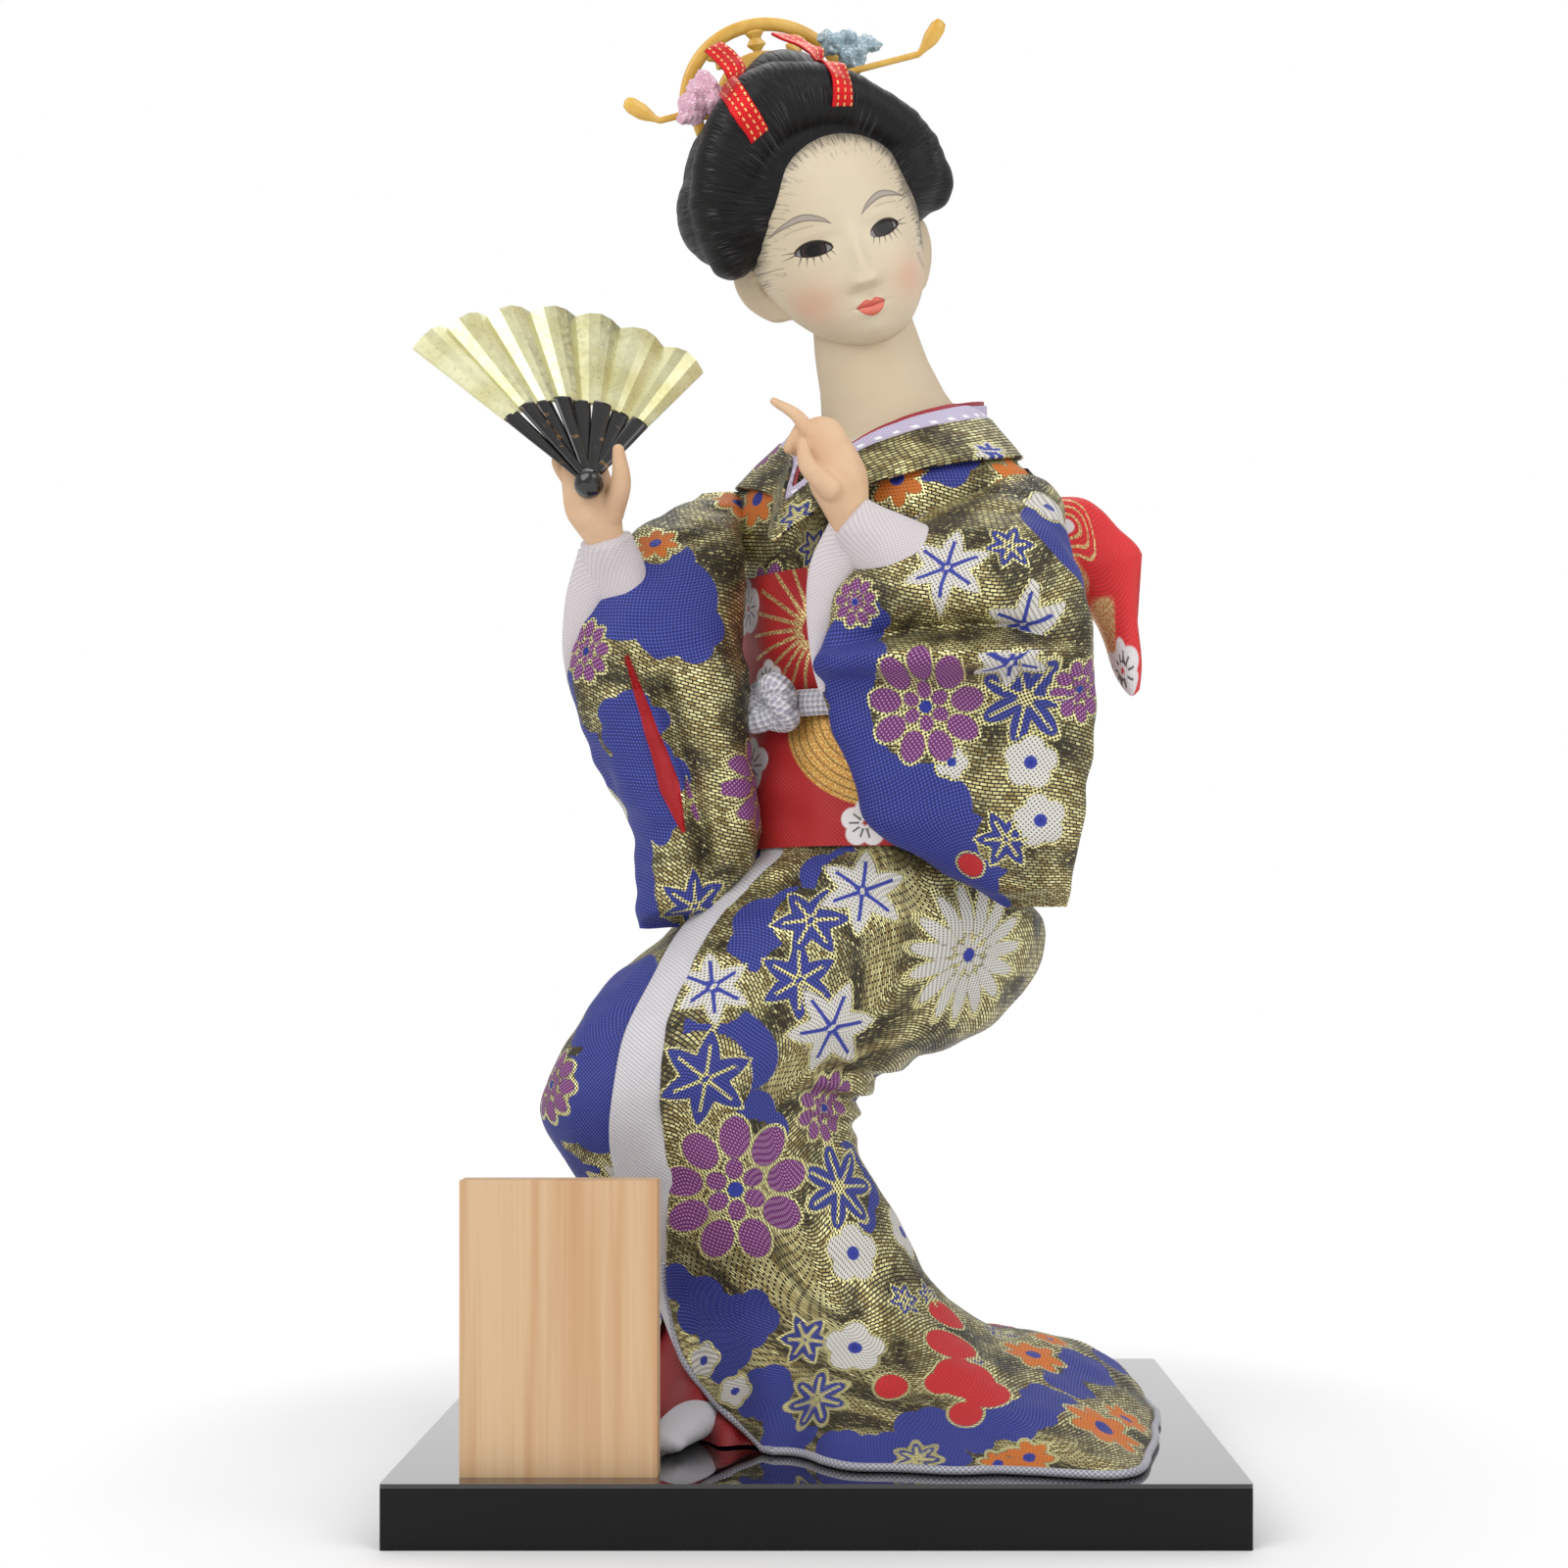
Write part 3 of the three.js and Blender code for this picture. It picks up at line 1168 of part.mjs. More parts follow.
function combForm() {
  const outline = new THREE.Shape().absarc(0, 0, COMB_RADIUS, 0, Math.PI);
  const pitch = (2 * COMB_RADIUS) / (2 * COMB_TEETH - 1);
  for (let i = 0; i < COMB_TEETH; i++) {
    const left = -COMB_RADIUS + 2 * i * pitch;
    if (i > 0) outline.lineTo(left, 0);
    outline.lineTo(left, -COMB_SINK);
    outline.lineTo(left + pitch, -COMB_SINK);
    if (i + 1 < COMB_TEETH) outline.lineTo(left + pitch, 0);
  }
  const step = Math.PI / COMB_WINDOWS;
  const rib = COMB_RIB / COMB_BODY_RADIUS / 2;
  for (let i = 0; i < COMB_WINDOWS; i++) {
    const [from, to] = [i * step + rib, (i + 1) * step - rib];
    const window = new THREE.Path()
      .absarc(0, 0, COMB_RADIUS - COMB_RIM, from, to, false)
      .absarc(0, 0, COMB_BODY_RADIUS, to, from, true);
    window.closePath();
    outline.holes.push(window);
  }
  const options = { depth: COMB_THICKNESS, bevelEnabled: false, curveSegments: COMB_SEGMENTS };
  const geometry = new THREE.ExtrudeGeometry(outline, options).translate(0, 0, -COMB_THICKNESS / 2);
  return geometry.rotateX(Math.PI / 2).translate(combCentre.x, combCentre.y, combCentre.z);
}

const combWidth = 2 * (COMB_RADIUS + GAP);
const combDepth = COMB_THICKNESS + 2 * GAP;
const combSlot = block(combWidth, combDepth, 3 * COMB_RADIUS, COMB_X, COMB_Y, COMB_Z - COMB_SINK - GAP);

// Hairpins: a straight stem in line with its bore, and a paddle turned up at the end

const pinAlong = (side) => vec(side * Math.cos(rad(PIN_RISE_DEG)), 0, side * Math.sin(rad(PIN_RISE_DEG)));
const pinAt = (side, reach) => vec(0, PIN_Y, PIN_Z).addScaledVector(pinAlong(side), reach);
const pinTip = PIN_START + PIN_LENGTH;
const pinBore = (side) => bar(pinAt(side, PIN_START - GAP), pinAt(side, 2 * pinTip), PIN_RADIUS + GAP, 8);

function pin(side) {
  const stem = bar(pinAt(side, PIN_START), pinAt(side, pinTip), PIN_RADIUS, 8);
  const paddle = [0, 0.5, 1].map((t) =>
    pinAt(side, pinTip - 1 + t * PADDLE_LENGTH).add(vec(0, 0, t * t * PADDLE_RISE)),
  );
  const radii = [PIN_RADIUS, PADDLE_HALF_WIDTH * 0.7, PADDLE_HALF_WIDTH];
  return joined(stem, limb(paddle, radii, 8, 5, PADDLE_FLATTEN, vec(0, 0, 1)));
}

// Gauze flowers: a puff of petals on a wire stem that is stuck in the hair

const flowerStem = ({ place, root }, grow) => bar(vec(...root), vec(...place), FLOWER_STEM_RADIUS + grow, 6);

function flower({ place, root, radii }) {
  const turns = evenly(0, 2 * Math.PI, FLOWER_PETALS + 1).slice(1);
  const petals = turns.map((angle) => {
    const [x, z] = [radii[0] * 0.5 * Math.cos(angle), radii[2] * 0.5 * Math.sin(angle)];
    const size = radii.map((r) => r * 0.55);
    return ellipsoid([place[0] + x, place[1], place[2] + z], size, 6, 4);
  });
  return joined(...petals, flowerStem({ place, root }, 0));
}

// Ribbons: strips laid over the front roll that stand up at their upper end

function ribbon(points) {
  const curve = new THREE.CatmullRomCurve3(points.map((p) => vec(...p)));
  const face = (lift) =>
    evenly(0, 1, 11).map((t) => {
      const along = curve.getTangent(t);
      const out = vec(1, 0, 0).cross(along).normalize();
      const middle = curve.getPoint(t).addScaledVector(out, lift);
      return [-0.5, 0, 0.5].map((share) => middle.clone().add(vec(share * RIBBON_WIDTH, 0, 0)));
    });
  return cut(sheet(face(0), face(-RIBBON_THICKNESS)), hairMass(GAP), lock(GAP));
}

const bores = [-1, 1].map(pinBore);
const stemHoles = [FLOWER_PINK, FLOWER_BLUE].map((one) => flowerStem(one, GAP));
add("hair_mass", cut(hairMass(0), ...headRoom, combSlot, ...bores, ...stemHoles), HAIR, headGroup);
const onMass = [hairMass(GAP), combSlot, ...bores, ...stemHoles];
add("hair_top_lock", cut(lock(0), ...onMass), HAIR, headGroup);
add("hair_bun", cut(ellipsoid(BUN_CENTRE, BUN_RADII, 12, 8), ...onMass), HAIR, headGroup);
add("comb", combForm(), AMBER, headGroup);
add("hairpin_right", pin(-1), AMBER, headGroup);
add("hairpin_left", pin(1), AMBER, headGroup);
add("flower_pink", flower(FLOWER_PINK), PINK_GAUZE, headGroup);
add("flower_blue", flower(FLOWER_BLUE), BLUE_GAUZE, headGroup);
add("ribbon_right", ribbon(RIBBON_RIGHT), RIBBON, headGroup);
add("ribbon_left", ribbon(RIBBON_LEFT), RIBBON, headGroup);

export default group;
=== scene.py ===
"""Dresses a dancing geisha doll: brocade kimono, obi, combed hair, painted face, gilt fan and base."""

import itertools
import logging
import math
from collections.abc import Sequence
from dataclasses import dataclass, field
from enum import Enum

import bmesh
import bpy
import numpy as np
from mathutils import Matrix, Vector


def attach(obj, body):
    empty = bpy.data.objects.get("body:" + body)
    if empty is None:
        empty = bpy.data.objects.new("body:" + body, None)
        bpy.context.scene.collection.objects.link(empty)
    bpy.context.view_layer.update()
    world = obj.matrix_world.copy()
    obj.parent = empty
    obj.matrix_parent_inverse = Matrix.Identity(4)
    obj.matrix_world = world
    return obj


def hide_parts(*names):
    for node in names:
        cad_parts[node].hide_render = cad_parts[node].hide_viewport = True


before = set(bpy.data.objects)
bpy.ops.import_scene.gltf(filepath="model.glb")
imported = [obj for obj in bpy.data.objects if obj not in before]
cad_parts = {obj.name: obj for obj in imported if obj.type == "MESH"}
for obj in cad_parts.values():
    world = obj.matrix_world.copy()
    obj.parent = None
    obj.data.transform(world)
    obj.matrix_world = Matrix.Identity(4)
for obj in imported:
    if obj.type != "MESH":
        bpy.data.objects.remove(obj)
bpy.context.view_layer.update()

LOG = logging.getLogger("doll")

MM = 0.001
BASE_TOP = 12.0
FIGURE = "figure"
HEAD = "head"
# Value of a field far outside every figure, and the cost of a point that a viewer doesn't see
FAR = 9.0
HIDDEN = 1e6
SQUARE_CM = 1e4
# Camera of the photograph, in millimetres
EYE = np.array((6.0, -446.0, 91.0))

Array = np.ndarray
Colour = tuple[float, float, float, float]
Fields = dict[str, np.ndarray]
Points = Sequence[Sequence[float]]
Numbers = Sequence[float]
Piece = bpy.types.Object
Material = bpy.types.Material
Socket = bpy.types.NodeSocket
Point = tuple[float, float, float]


# Small helpers


def ink(red: float, green: float, blue: float) -> Colour:
    """Turns a colour read off a screen, 0 to 255, into the linear values that shaders take."""
    linear = []
    for share in (red / 255, green / 255, blue / 255):
        linear.append(share / 12.92 if share <= 0.04045 else ((share + 0.055) / 1.055) ** 2.4)
    return (*linear, 1.0)


def rows_at(table: Points, heights: Array) -> Array:
    """Reads a table of cross-sections along a smooth curve.

    Args:
        table: Rows in rising order, the first value of each being its height.
        heights: The heights to read at.

    Returns:
        One row of values for each height.
    """
    data = np.array(table, float)
    index = np.clip(np.searchsorted(data[:, 0], heights, side="right") - 1, 0, len(data) - 2)
    low, high = data[index], data[index + 1]
    before, after = data[np.maximum(index - 1, 0)], data[np.minimum(index + 2, len(data) - 1)]
    span = high[:, :1] - low[:, :1]
    share = np.clip((heights[:, None] - low[:, :1]) / span, 0.0, 1.0)
    rise_low = (high - before) / (high[:, :1] - before[:, :1]) * span
    rise_high = (after - low) / (after[:, :1] - low[:, :1]) * span
    square, cube = share**2, share**3
    rows = (2 * cube - 3 * square + 1) * low + (cube - 2 * square + share) * rise_low
    rows = rows + (3 * square - 2 * cube) * high + (cube - square) * rise_high
    rows[:, 0] = heights
    return rows


def smooth_line(points: Points, count: int, closed: bool = False) -> Array:
    """Lays evenly spaced points on a smooth curve through a few given ones.

    Args:
        points: The points that the curve passes through.
        count: How many points to return.
        closed: Whether the curve comes back to its first point.

    Returns:
        An array of count points.
    """
    data = np.array(points, float)
    if closed:
        data = np.vstack([data[-1:], data, data[:2]])
    else:
        data = np.vstack([2 * data[:1] - data[1:2], data, 2 * data[-1:] - data[-2:-1]])
    share = np.linspace(0.0, 1.0, 24, endpoint=False)[:, None]
    runs = []
    for a, b, c, d in zip(data[:-3], data[1:-2], data[2:-1], data[3:]):
        low = 2 * b + (c - a) * share + (2 * a - 5 * b + 4 * c - d) * share**2
        runs.append(0.5 * (low + (3 * b - a - 3 * c + d) * share**3))
    dense = np.vstack(runs + [data[-2:-1]])
    travel = np.concatenate([[0.0], np.cumsum(np.linalg.norm(np.diff(dense, axis=0), axis=1))])
    stops = np.linspace(0.0, travel[-1], count)
    return np.stack([np.interp(stops, travel, dense[:, axis]) for axis in range(dense.shape[1])], axis=1)


def ripple(points: Array, wavelength: float, seed: int) -> Array:
    """Gives a smooth wandering value, about -1 to 1, at each point of space.

    Args:
        points: Points in millimetres, in the last axis.
        wavelength: Typical distance between two crests.
        seed: Picks one of many such fields.

    Returns:
        One value for each point.
    """
    draw = np.random.default_rng(seed)
    total = np.zeros(points.shape[:-1])
    for _ in range(7):
        way = draw.normal(size=3)
        way = way / np.linalg.norm(way) * 2 * math.pi / (wavelength * draw.uniform(0.7, 1.5))
        total = total + np.sin(points @ way + draw.uniform(0, 2 * math.pi))
    return total / 3.0


def bell(value: Array, middle: float, width: float) -> Array:
    """Gives a smooth bump that is 1 at the middle and fades over the width."""
    return np.exp(-(((value - middle) / width) ** 2))


def ease(value: Array, low: float, high: float) -> Array:
    """Rises smoothly from 0 at low to 1 at high."""
    share = np.clip((value - low) / (high - low), 0.0, 1.0)
    return share * share * (3 - 2 * share)


def unit(vectors: Array) -> Array:
    """Scales each vector to length 1."""
    return vectors / np.maximum(np.linalg.norm(vectors, axis=-1, keepdims=True), 1e-9)


def evened(values: Array, axis: int, window: int = 41) -> Array:
    """Averages values along one axis of a table over a window."""
    margin = [(0, 0), (0, 0)]
    margin[axis] = (window // 2, window // 2)
    wide = np.pad(values, margin, mode="edge")
    share = np.full(window, 1.0 / window)
    return np.apply_along_axis(np.convolve, axis, wide, share, "valid")


# Surfaces and pieces


@dataclass
class Surface:
    """Rows and columns of points, in millimetres above the base top, that become one thin piece.

    Columns run anticlockwise seen from above and rows run upwards, so faces look outwards.
    """

    points: Array
    wrap: bool = False
    fields: Fields = field(default_factory=dict)

    def normals(self) -> Array:
        """Gives the outward direction at every point."""
        if self.wrap:
            ring = np.concatenate([self.points[:, -2:-1], self.points, self.points[:, 1:2]], axis=1)
            along = (ring[:, 2:] - ring[:, :-2]) / 2
        else:
            along = np.gradient(self.points, axis=1)
        return unit(np.cross(along, np.gradient(self.points, axis=0)))

    def raised(self, amount: Array | float) -> "Surface":
        """Gives a copy moved outwards by an amount at each point."""
        shift = np.broadcast_to(np.asarray(amount, float), self.points.shape[:2])[..., None]
        return Surface(self.points + self.normals() * shift, self.wrap, dict(self.fields))

    def spread(self) -> Array:
        """Gives lengths across and up the cloth at every point, in millimetres."""
        across = evened(np.linalg.norm(np.diff(self.points, axis=1), axis=2), 0).cumsum(axis=1)
        up = evened(np.linalg.norm(np.diff(self.points, axis=0), axis=2), 1).cumsum(axis=0)
        across = np.pad(across, ((0, 0), (1, 0)))
        middle = across - across[:, -1:] / 2
        return np.stack([middle, np.pad(up, ((1, 0), (0, 0)))], axis=-1)

    def piece(self, name: str) -> Piece:
        """Makes the mesh object, with its lengths as the UV map and its fields as attributes."""
        rows, columns = self.points.shape[:2]
        shape = bmesh.new()
        bmesh.ops.create_grid(shape, x_segments=columns - 1, y_segments=rows - 1, size=1.0)
        mesh = bpy.data.meshes.new(name)
        shape.to_mesh(mesh)
        shape.free()
        flat = np.empty(len(mesh.vertices) * 3)
        mesh.vertices.foreach_get("co", flat)
        place = flat.reshape(-1, 3)
        column = np.rint((place[:, 0] + 1) / 2 * (columns - 1)).astype(int)
        row = np.rint((place[:, 1] + 1) / 2 * (rows - 1)).astype(int)
        mesh.vertices.foreach_set("co", ((self.points[row, column] + (0, 0, BASE_TOP)) * MM).ravel())
        corner = np.empty(len(mesh.loops), dtype=np.int32)
        mesh.loops.foreach_get("vertex_index", corner)
        layer = mesh.uv_layers.new(name="cloth")
        layer.uv.foreach_set("vector", self.spread()[row, column][corner].astype(np.float32).ravel())
        for key, values in self.fields.items():
            attribute = mesh.attributes.new(key, "FLOAT", "POINT")
            attribute.data.foreach_set("value", values[row, column].astype(np.float32))
        if self.wrap:
            weld(mesh)
        return placed(name, mesh)


def weld(mesh: bpy.types.Mesh) -> None:
    """Joins points of a mesh that lie in the same place, which closes seams and poles."""
    shape = bmesh.new()
    shape.from_mesh(mesh)
    bmesh.ops.remove_doubles(shape, verts=shape.verts, dist=2e-6)
    shape.to_mesh(mesh)
    shape.free()


def placed(name: str, mesh: bpy.types.Mesh) -> Piece:
    """Puts a smooth-shaded mesh into the scene as an object of that name."""
    mesh.shade_smooth()
    piece = bpy.data.objects.new(name, mesh)
    bpy.context.scene.collection.objects.link(piece)
    return piece


def joined(name: str, pieces: Sequence[Piece]) -> Piece:
    """Joins pieces made of the same material into the one object."""
    shape = bmesh.new()
    for piece in pieces:
        shape.from_mesh(piece.data)
    mesh = bpy.data.meshes.new(name)
    shape.to_mesh(mesh)
    shape.free()
    for piece in pieces:
        bpy.data.meshes.remove(piece.data)
    return placed(name, mesh)


def settled(piece: Piece) -> Piece:
    """Applies the modifiers of a piece to its mesh."""
    graph = bpy.context.evaluated_depsgraph_get()
    mesh = bpy.data.meshes.new_from_object(piece.evaluated_get(graph))
    piece.modifiers.clear()
    old, piece.data = piece.data, mesh
    bpy.data.meshes.remove(old)
    mesh.shade_smooth()
    return piece


def thickened(piece: Piece, thickness: float) -> Piece:
    """Gives a sheet a thickness in millimetres, on its inner side."""
    solid = piece.modifiers.new("thickness", "SOLIDIFY")
    solid.thickness = thickness * MM
    solid.offset = -1.0
    return settled(piece)


def tube(
    path: Array, radii: Numbers | float, sides: int = 12, flat: float = 1.0, up: Numbers = (0, 0, 1)
) -> Surface:
    """Lofts a round or flattened bar along a path and closes both ends.

    Args:
        path: Points that the middle of the bar follows.
        radii: One radius, or several that are spread evenly along the path.
        sides: Points round the bar.
        flat: Thickness as a share of the width.
        up: Direction in which a flattened bar is thin.

    Returns:
        The closed surface.
    """
    ahead = unit(np.gradient(path, axis=0))
    side = unit(np.cross(np.broadcast_to(np.array(up, float), ahead.shape), ahead))
    top = np.cross(ahead, side)
    given = np.atleast_1d(np.asarray(radii, float))
    radius = np.interp(np.linspace(0, 1, len(path)), np.linspace(0, 1, len(given)), given)
    turn = np.linspace(0, 2 * math.pi, sides + 1)
    ring = side[:, None] * np.cos(turn)[None, :, None] + top[:, None] * (np.sin(turn) * flat)[None, :, None]
    body = path[:, None] + ring * radius[:, None, None]
    foot = np.broadcast_to(path[0] - ahead[0] * radius[0] * 0.3, body[:1].shape)
    tip = np.broadcast_to(path[-1] + ahead[-1] * radius[-1] * 0.3, body[:1].shape)
    return Surface(np.concatenate([foot, body, tip]), wrap=True)


class Clay:
    """Gathers rounded forms and turns them into one closed smooth skin."""

    def __init__(self) -> None:
        """Starts with no form."""
        self.shape = bmesh.new()

    def ball(self, centre: Numbers, radii: Numbers, turn: Matrix | None = None) -> None:
        """Adds an ellipsoid."""
        place = Matrix.Translation(Vector(centre)) @ (turn or Matrix()).to_4x4()
        place = place @ Matrix.Diagonal((*radii, 1.0))
        bmesh.ops.create_icosphere(self.shape, subdivisions=4, radius=1.0, matrix=place)

    def limb(self, points: Points, radii: Numbers, flat: Numbers = (1, 1, 1)) -> None:
        """Adds a bent limb as a close row of balls.

        Args:
            points: The line that the limb follows.
            radii: Radii spread evenly along it.
            flat: Stretch of each ball along x, y and z.
        """
        path = smooth_line(points, 30)
        size = np.interp(np.linspace(0, 1, len(path)), np.linspace(0, 1, len(radii)), radii)
        for centre, radius in zip(path, size):
            place = Matrix.Translation(Vector(centre)) @ Matrix.Diagonal((*(radius * np.array(flat)), 1.0))
            bmesh.ops.create_icosphere(self.shape, subdivisions=3, radius=1.0, matrix=place)

    def skin(self, name: str, voxel: float, rounds: int) -> Piece:
        """Makes the joined skin.

        Args:
            name: Name of the piece.
            voxel: Size of the finest detail in millimetres.
            rounds: How often the skin is smoothed.

        Returns:
            The piece, in metres on the base top.
        """
        lift = Matrix.Scale(MM, 4) @ Matrix.Translation((0, 0, BASE_TOP))
        bmesh.ops.transform(self.shape, matrix=lift, verts=self.shape.verts)
        mesh = bpy.data.meshes.new(name)
        self.shape.to_mesh(mesh)
        self.shape.free()
        piece = placed(name, mesh)
        remesh = piece.modifiers.new("skin", "REMESH")
        remesh.mode = "VOXEL"
        remesh.voxel_size = voxel * MM
        smooth = piece.modifiers.new("smooth", "SMOOTH")
        smooth.factor = 0.5
        smooth.iterations = rounds
        return settled(piece)


def reshape(piece: Piece, move: Array, fields: Fields | None = None) -> None:
    """Moves every point of a piece and stores values on its points.

    Args:
        piece: The piece.
        move: Shift of each point in millimetres.
        fields: Values by attribute name.
    """
    mesh = piece.data
    flat = np.empty(len(mesh.vertices) * 3)
    mesh.vertices.foreach_get("co", flat)
    mesh.vertices.foreach_set("co", flat + (move * MM).ravel())
    for key, values in (fields or {}).items():
        mesh.attributes.new(key, "FLOAT", "POINT").data.foreach_set("value", values.astype(np.float32))
    mesh.update()


def vertices_of(piece: Piece) -> tuple[Array, Array]:
    """Reads the points, in millimetres above the base top, and the outward directions of a piece."""
    mesh = piece.data
    place, way = np.empty(len(mesh.vertices) * 3), np.empty(len(mesh.vertices) * 3)
    mesh.vertices.foreach_get("co", place)
    mesh.vertices.foreach_get("normal", way)
    return place.reshape(-1, 3) / MM - (0, 0, BASE_TOP), way.reshape(-1, 3)


# Materials


class Shader:
    """Builds one procedural material from small calls, each of which adds a node."""

    def __init__(self, name: str) -> None:
        """Starts a material with a plain surface."""
        self.material = bpy.data.materials.new(name)
        self.material.use_nodes = True
        self.tree = self.material.node_tree
        self.surface = self.tree.nodes["Principled BSDF"]

    def _feed(self, socket: Socket, value: object) -> None:
        """Links a socket into another, or sets a plain value."""
        if isinstance(value, bpy.types.NodeSocket):
            self.tree.links.new(value, socket)
        else:
            socket.default_value = value

    def node(self, kind: str, inputs: dict[str | int, object], **settings: object) -> bpy.types.Node:
        """Adds a node with its inputs and settings."""
        node = self.tree.nodes.new(kind)
        for key, value in settings.items():
            setattr(node, key, value)
        for key, value in inputs.items():
            self._feed(node.inputs[key], value)
        return node

    def finish(self, values: dict[str, object]) -> Material:
        """Sets inputs of the surface by their names and hands the material over."""
        for key, value in values.items():
            self._feed(self.surface.inputs[key], value)
        return self.material

    def math(self, operation: str, first: object, second: object = 0.0) -> Socket:
        """Adds a sum, product or other calculation."""
        return self.node("ShaderNodeMath", {0: first, 1: second}, operation=operation).outputs[0]

    def times(self, first: object, second: object) -> Socket:
        """Multiplies two values."""
        return self.math("MULTIPLY", first, second)

    def plus(self, first: object, second: object) -> Socket:
        """Adds two values."""
        return self.math("ADD", first, second)

    def minus(self, first: object, second: object) -> Socket:
        """Takes one value from another."""
        return self.math("SUBTRACT", first, second)

    def most(self, first: object, second: object) -> Socket:
        """Gives the larger of two values."""
        return self.math("MAXIMUM", first, second)

    def wave(self, value: object, rate: float) -> Socket:
        """Gives a sine wave of a value."""
        return self.math("SINE", self.times(value, rate))

    def line(self, value: object, low: float, high: float, full: float = 1.0) -> Socket:
        """Draws a soft line where a value is near 0, full up to low and gone at high."""
        return self.step(self.math("ABSOLUTE", value), low, high, full, 0.0)

    def inside(self, name: str, edge: float) -> Socket:
        """Gives 1 where a stored value is below 0, with a soft edge."""
        return self.step(self.field(name), -edge, edge, 1.0, 0.0)

    def parts(self, vector: Socket) -> bpy.types.NodeOutputs:
        """Splits a place into its three values."""
        return self.node("ShaderNodeSeparateXYZ", {0: vector}).outputs

    def joined(self, across: Socket, up: Socket) -> Socket:
        """Makes a flat place from two values."""
        return self.node("ShaderNodeCombineXYZ", {0: across, 1: up}).outputs[0]

    def mix(self, share: object, first: object, second: object) -> Socket:
        """Mixes two colours."""
        return self.node("ShaderNodeMix", {0: share, 6: first, 7: second}, data_type="RGBA").outputs[2]

    def step(self, value: object, low: float, high: float, start: float = 0.0, end: float = 1.0) -> Socket:
        """Runs smoothly from start to end while a value goes from low to high."""
        inputs = {"Value": value, "From Min": low, "From Max": high, "To Min": start, "To Max": end}
        return self.node("ShaderNodeMapRange", inputs, interpolation_type="SMOOTHSTEP").outputs["Result"]

    def field(self, name: str) -> Socket:
        """Reads a value stored on the points of the piece."""
        return self.node("ShaderNodeAttribute", {}, attribute_name=name).outputs["Fac"]

    def cloth(self) -> Socket:
        """Reads lengths across and up the cloth, in millimetres."""
        return self.node("ShaderNodeTexCoord", {}).outputs["UV"]

    def place(self) -> Socket:
        """Reads the place in the object's own space, in metres."""
        return self.node("ShaderNodeTexCoord", {}).outputs["Object"]

    def turned(self, vector: Socket, scale: Point, degrees: float = 0.0) -> Socket:
        """Scales a place and turns it in its plane."""
        inputs = {"Vector": vector, "Scale": scale, "Rotation": (0.0, 0.0, math.radians(degrees))}
        return self.node("ShaderNodeMapping", inputs).outputs["Vector"]

    def noise(self, vector: Socket, scale: float, detail: float = 2.0) -> Socket:
        """Adds a cloudy value from 0 to 1."""
        inputs = {"Vector": vector, "Scale": scale, "Detail": detail}
        return self.node("ShaderNodeTexNoise", inputs).outputs["Fac"]

    def weave(self, vector: Socket, pitch: float) -> Socket:
        """Adds a plain weave, 0 to 1, with a thread every pitch millimetres."""
        across, up, _ = self.parts(vector)
        crossing = self.times(self.wave(across, math.pi / pitch), self.wave(up, math.pi / pitch))
        return self.math("MULTIPLY_ADD", crossing, 0.5)

    def bump(self, height: Socket, distance: float, strength: float = 1.0) -> Socket:
        """Turns a height into small relief, the distance in millimetres."""
        inputs = {"Height": height, "Distance": distance * MM, "Strength": strength}
        return self.node("ShaderNodeBump", inputs).outputs["Normal"]


BLUE = ink(44, 56, 156)
DEEP_BLUE = ink(22, 24, 84)
BLUE_GLINT = ink(126, 140, 220)
GOLD_BRIGHT = ink(255, 246, 178)
GOLD_DIM = ink(150, 120, 50)
OLIVE = ink(12, 9, 5)
WHITE_SILK = ink(226, 222, 214)
WHITE_DIM = ink(104, 98, 92)
VIOLET = ink(110, 34, 108)
VIOLET_GLINT = ink(214, 172, 208)
ORANGE = ink(218, 118, 34)
RED = ink(205, 34, 40)


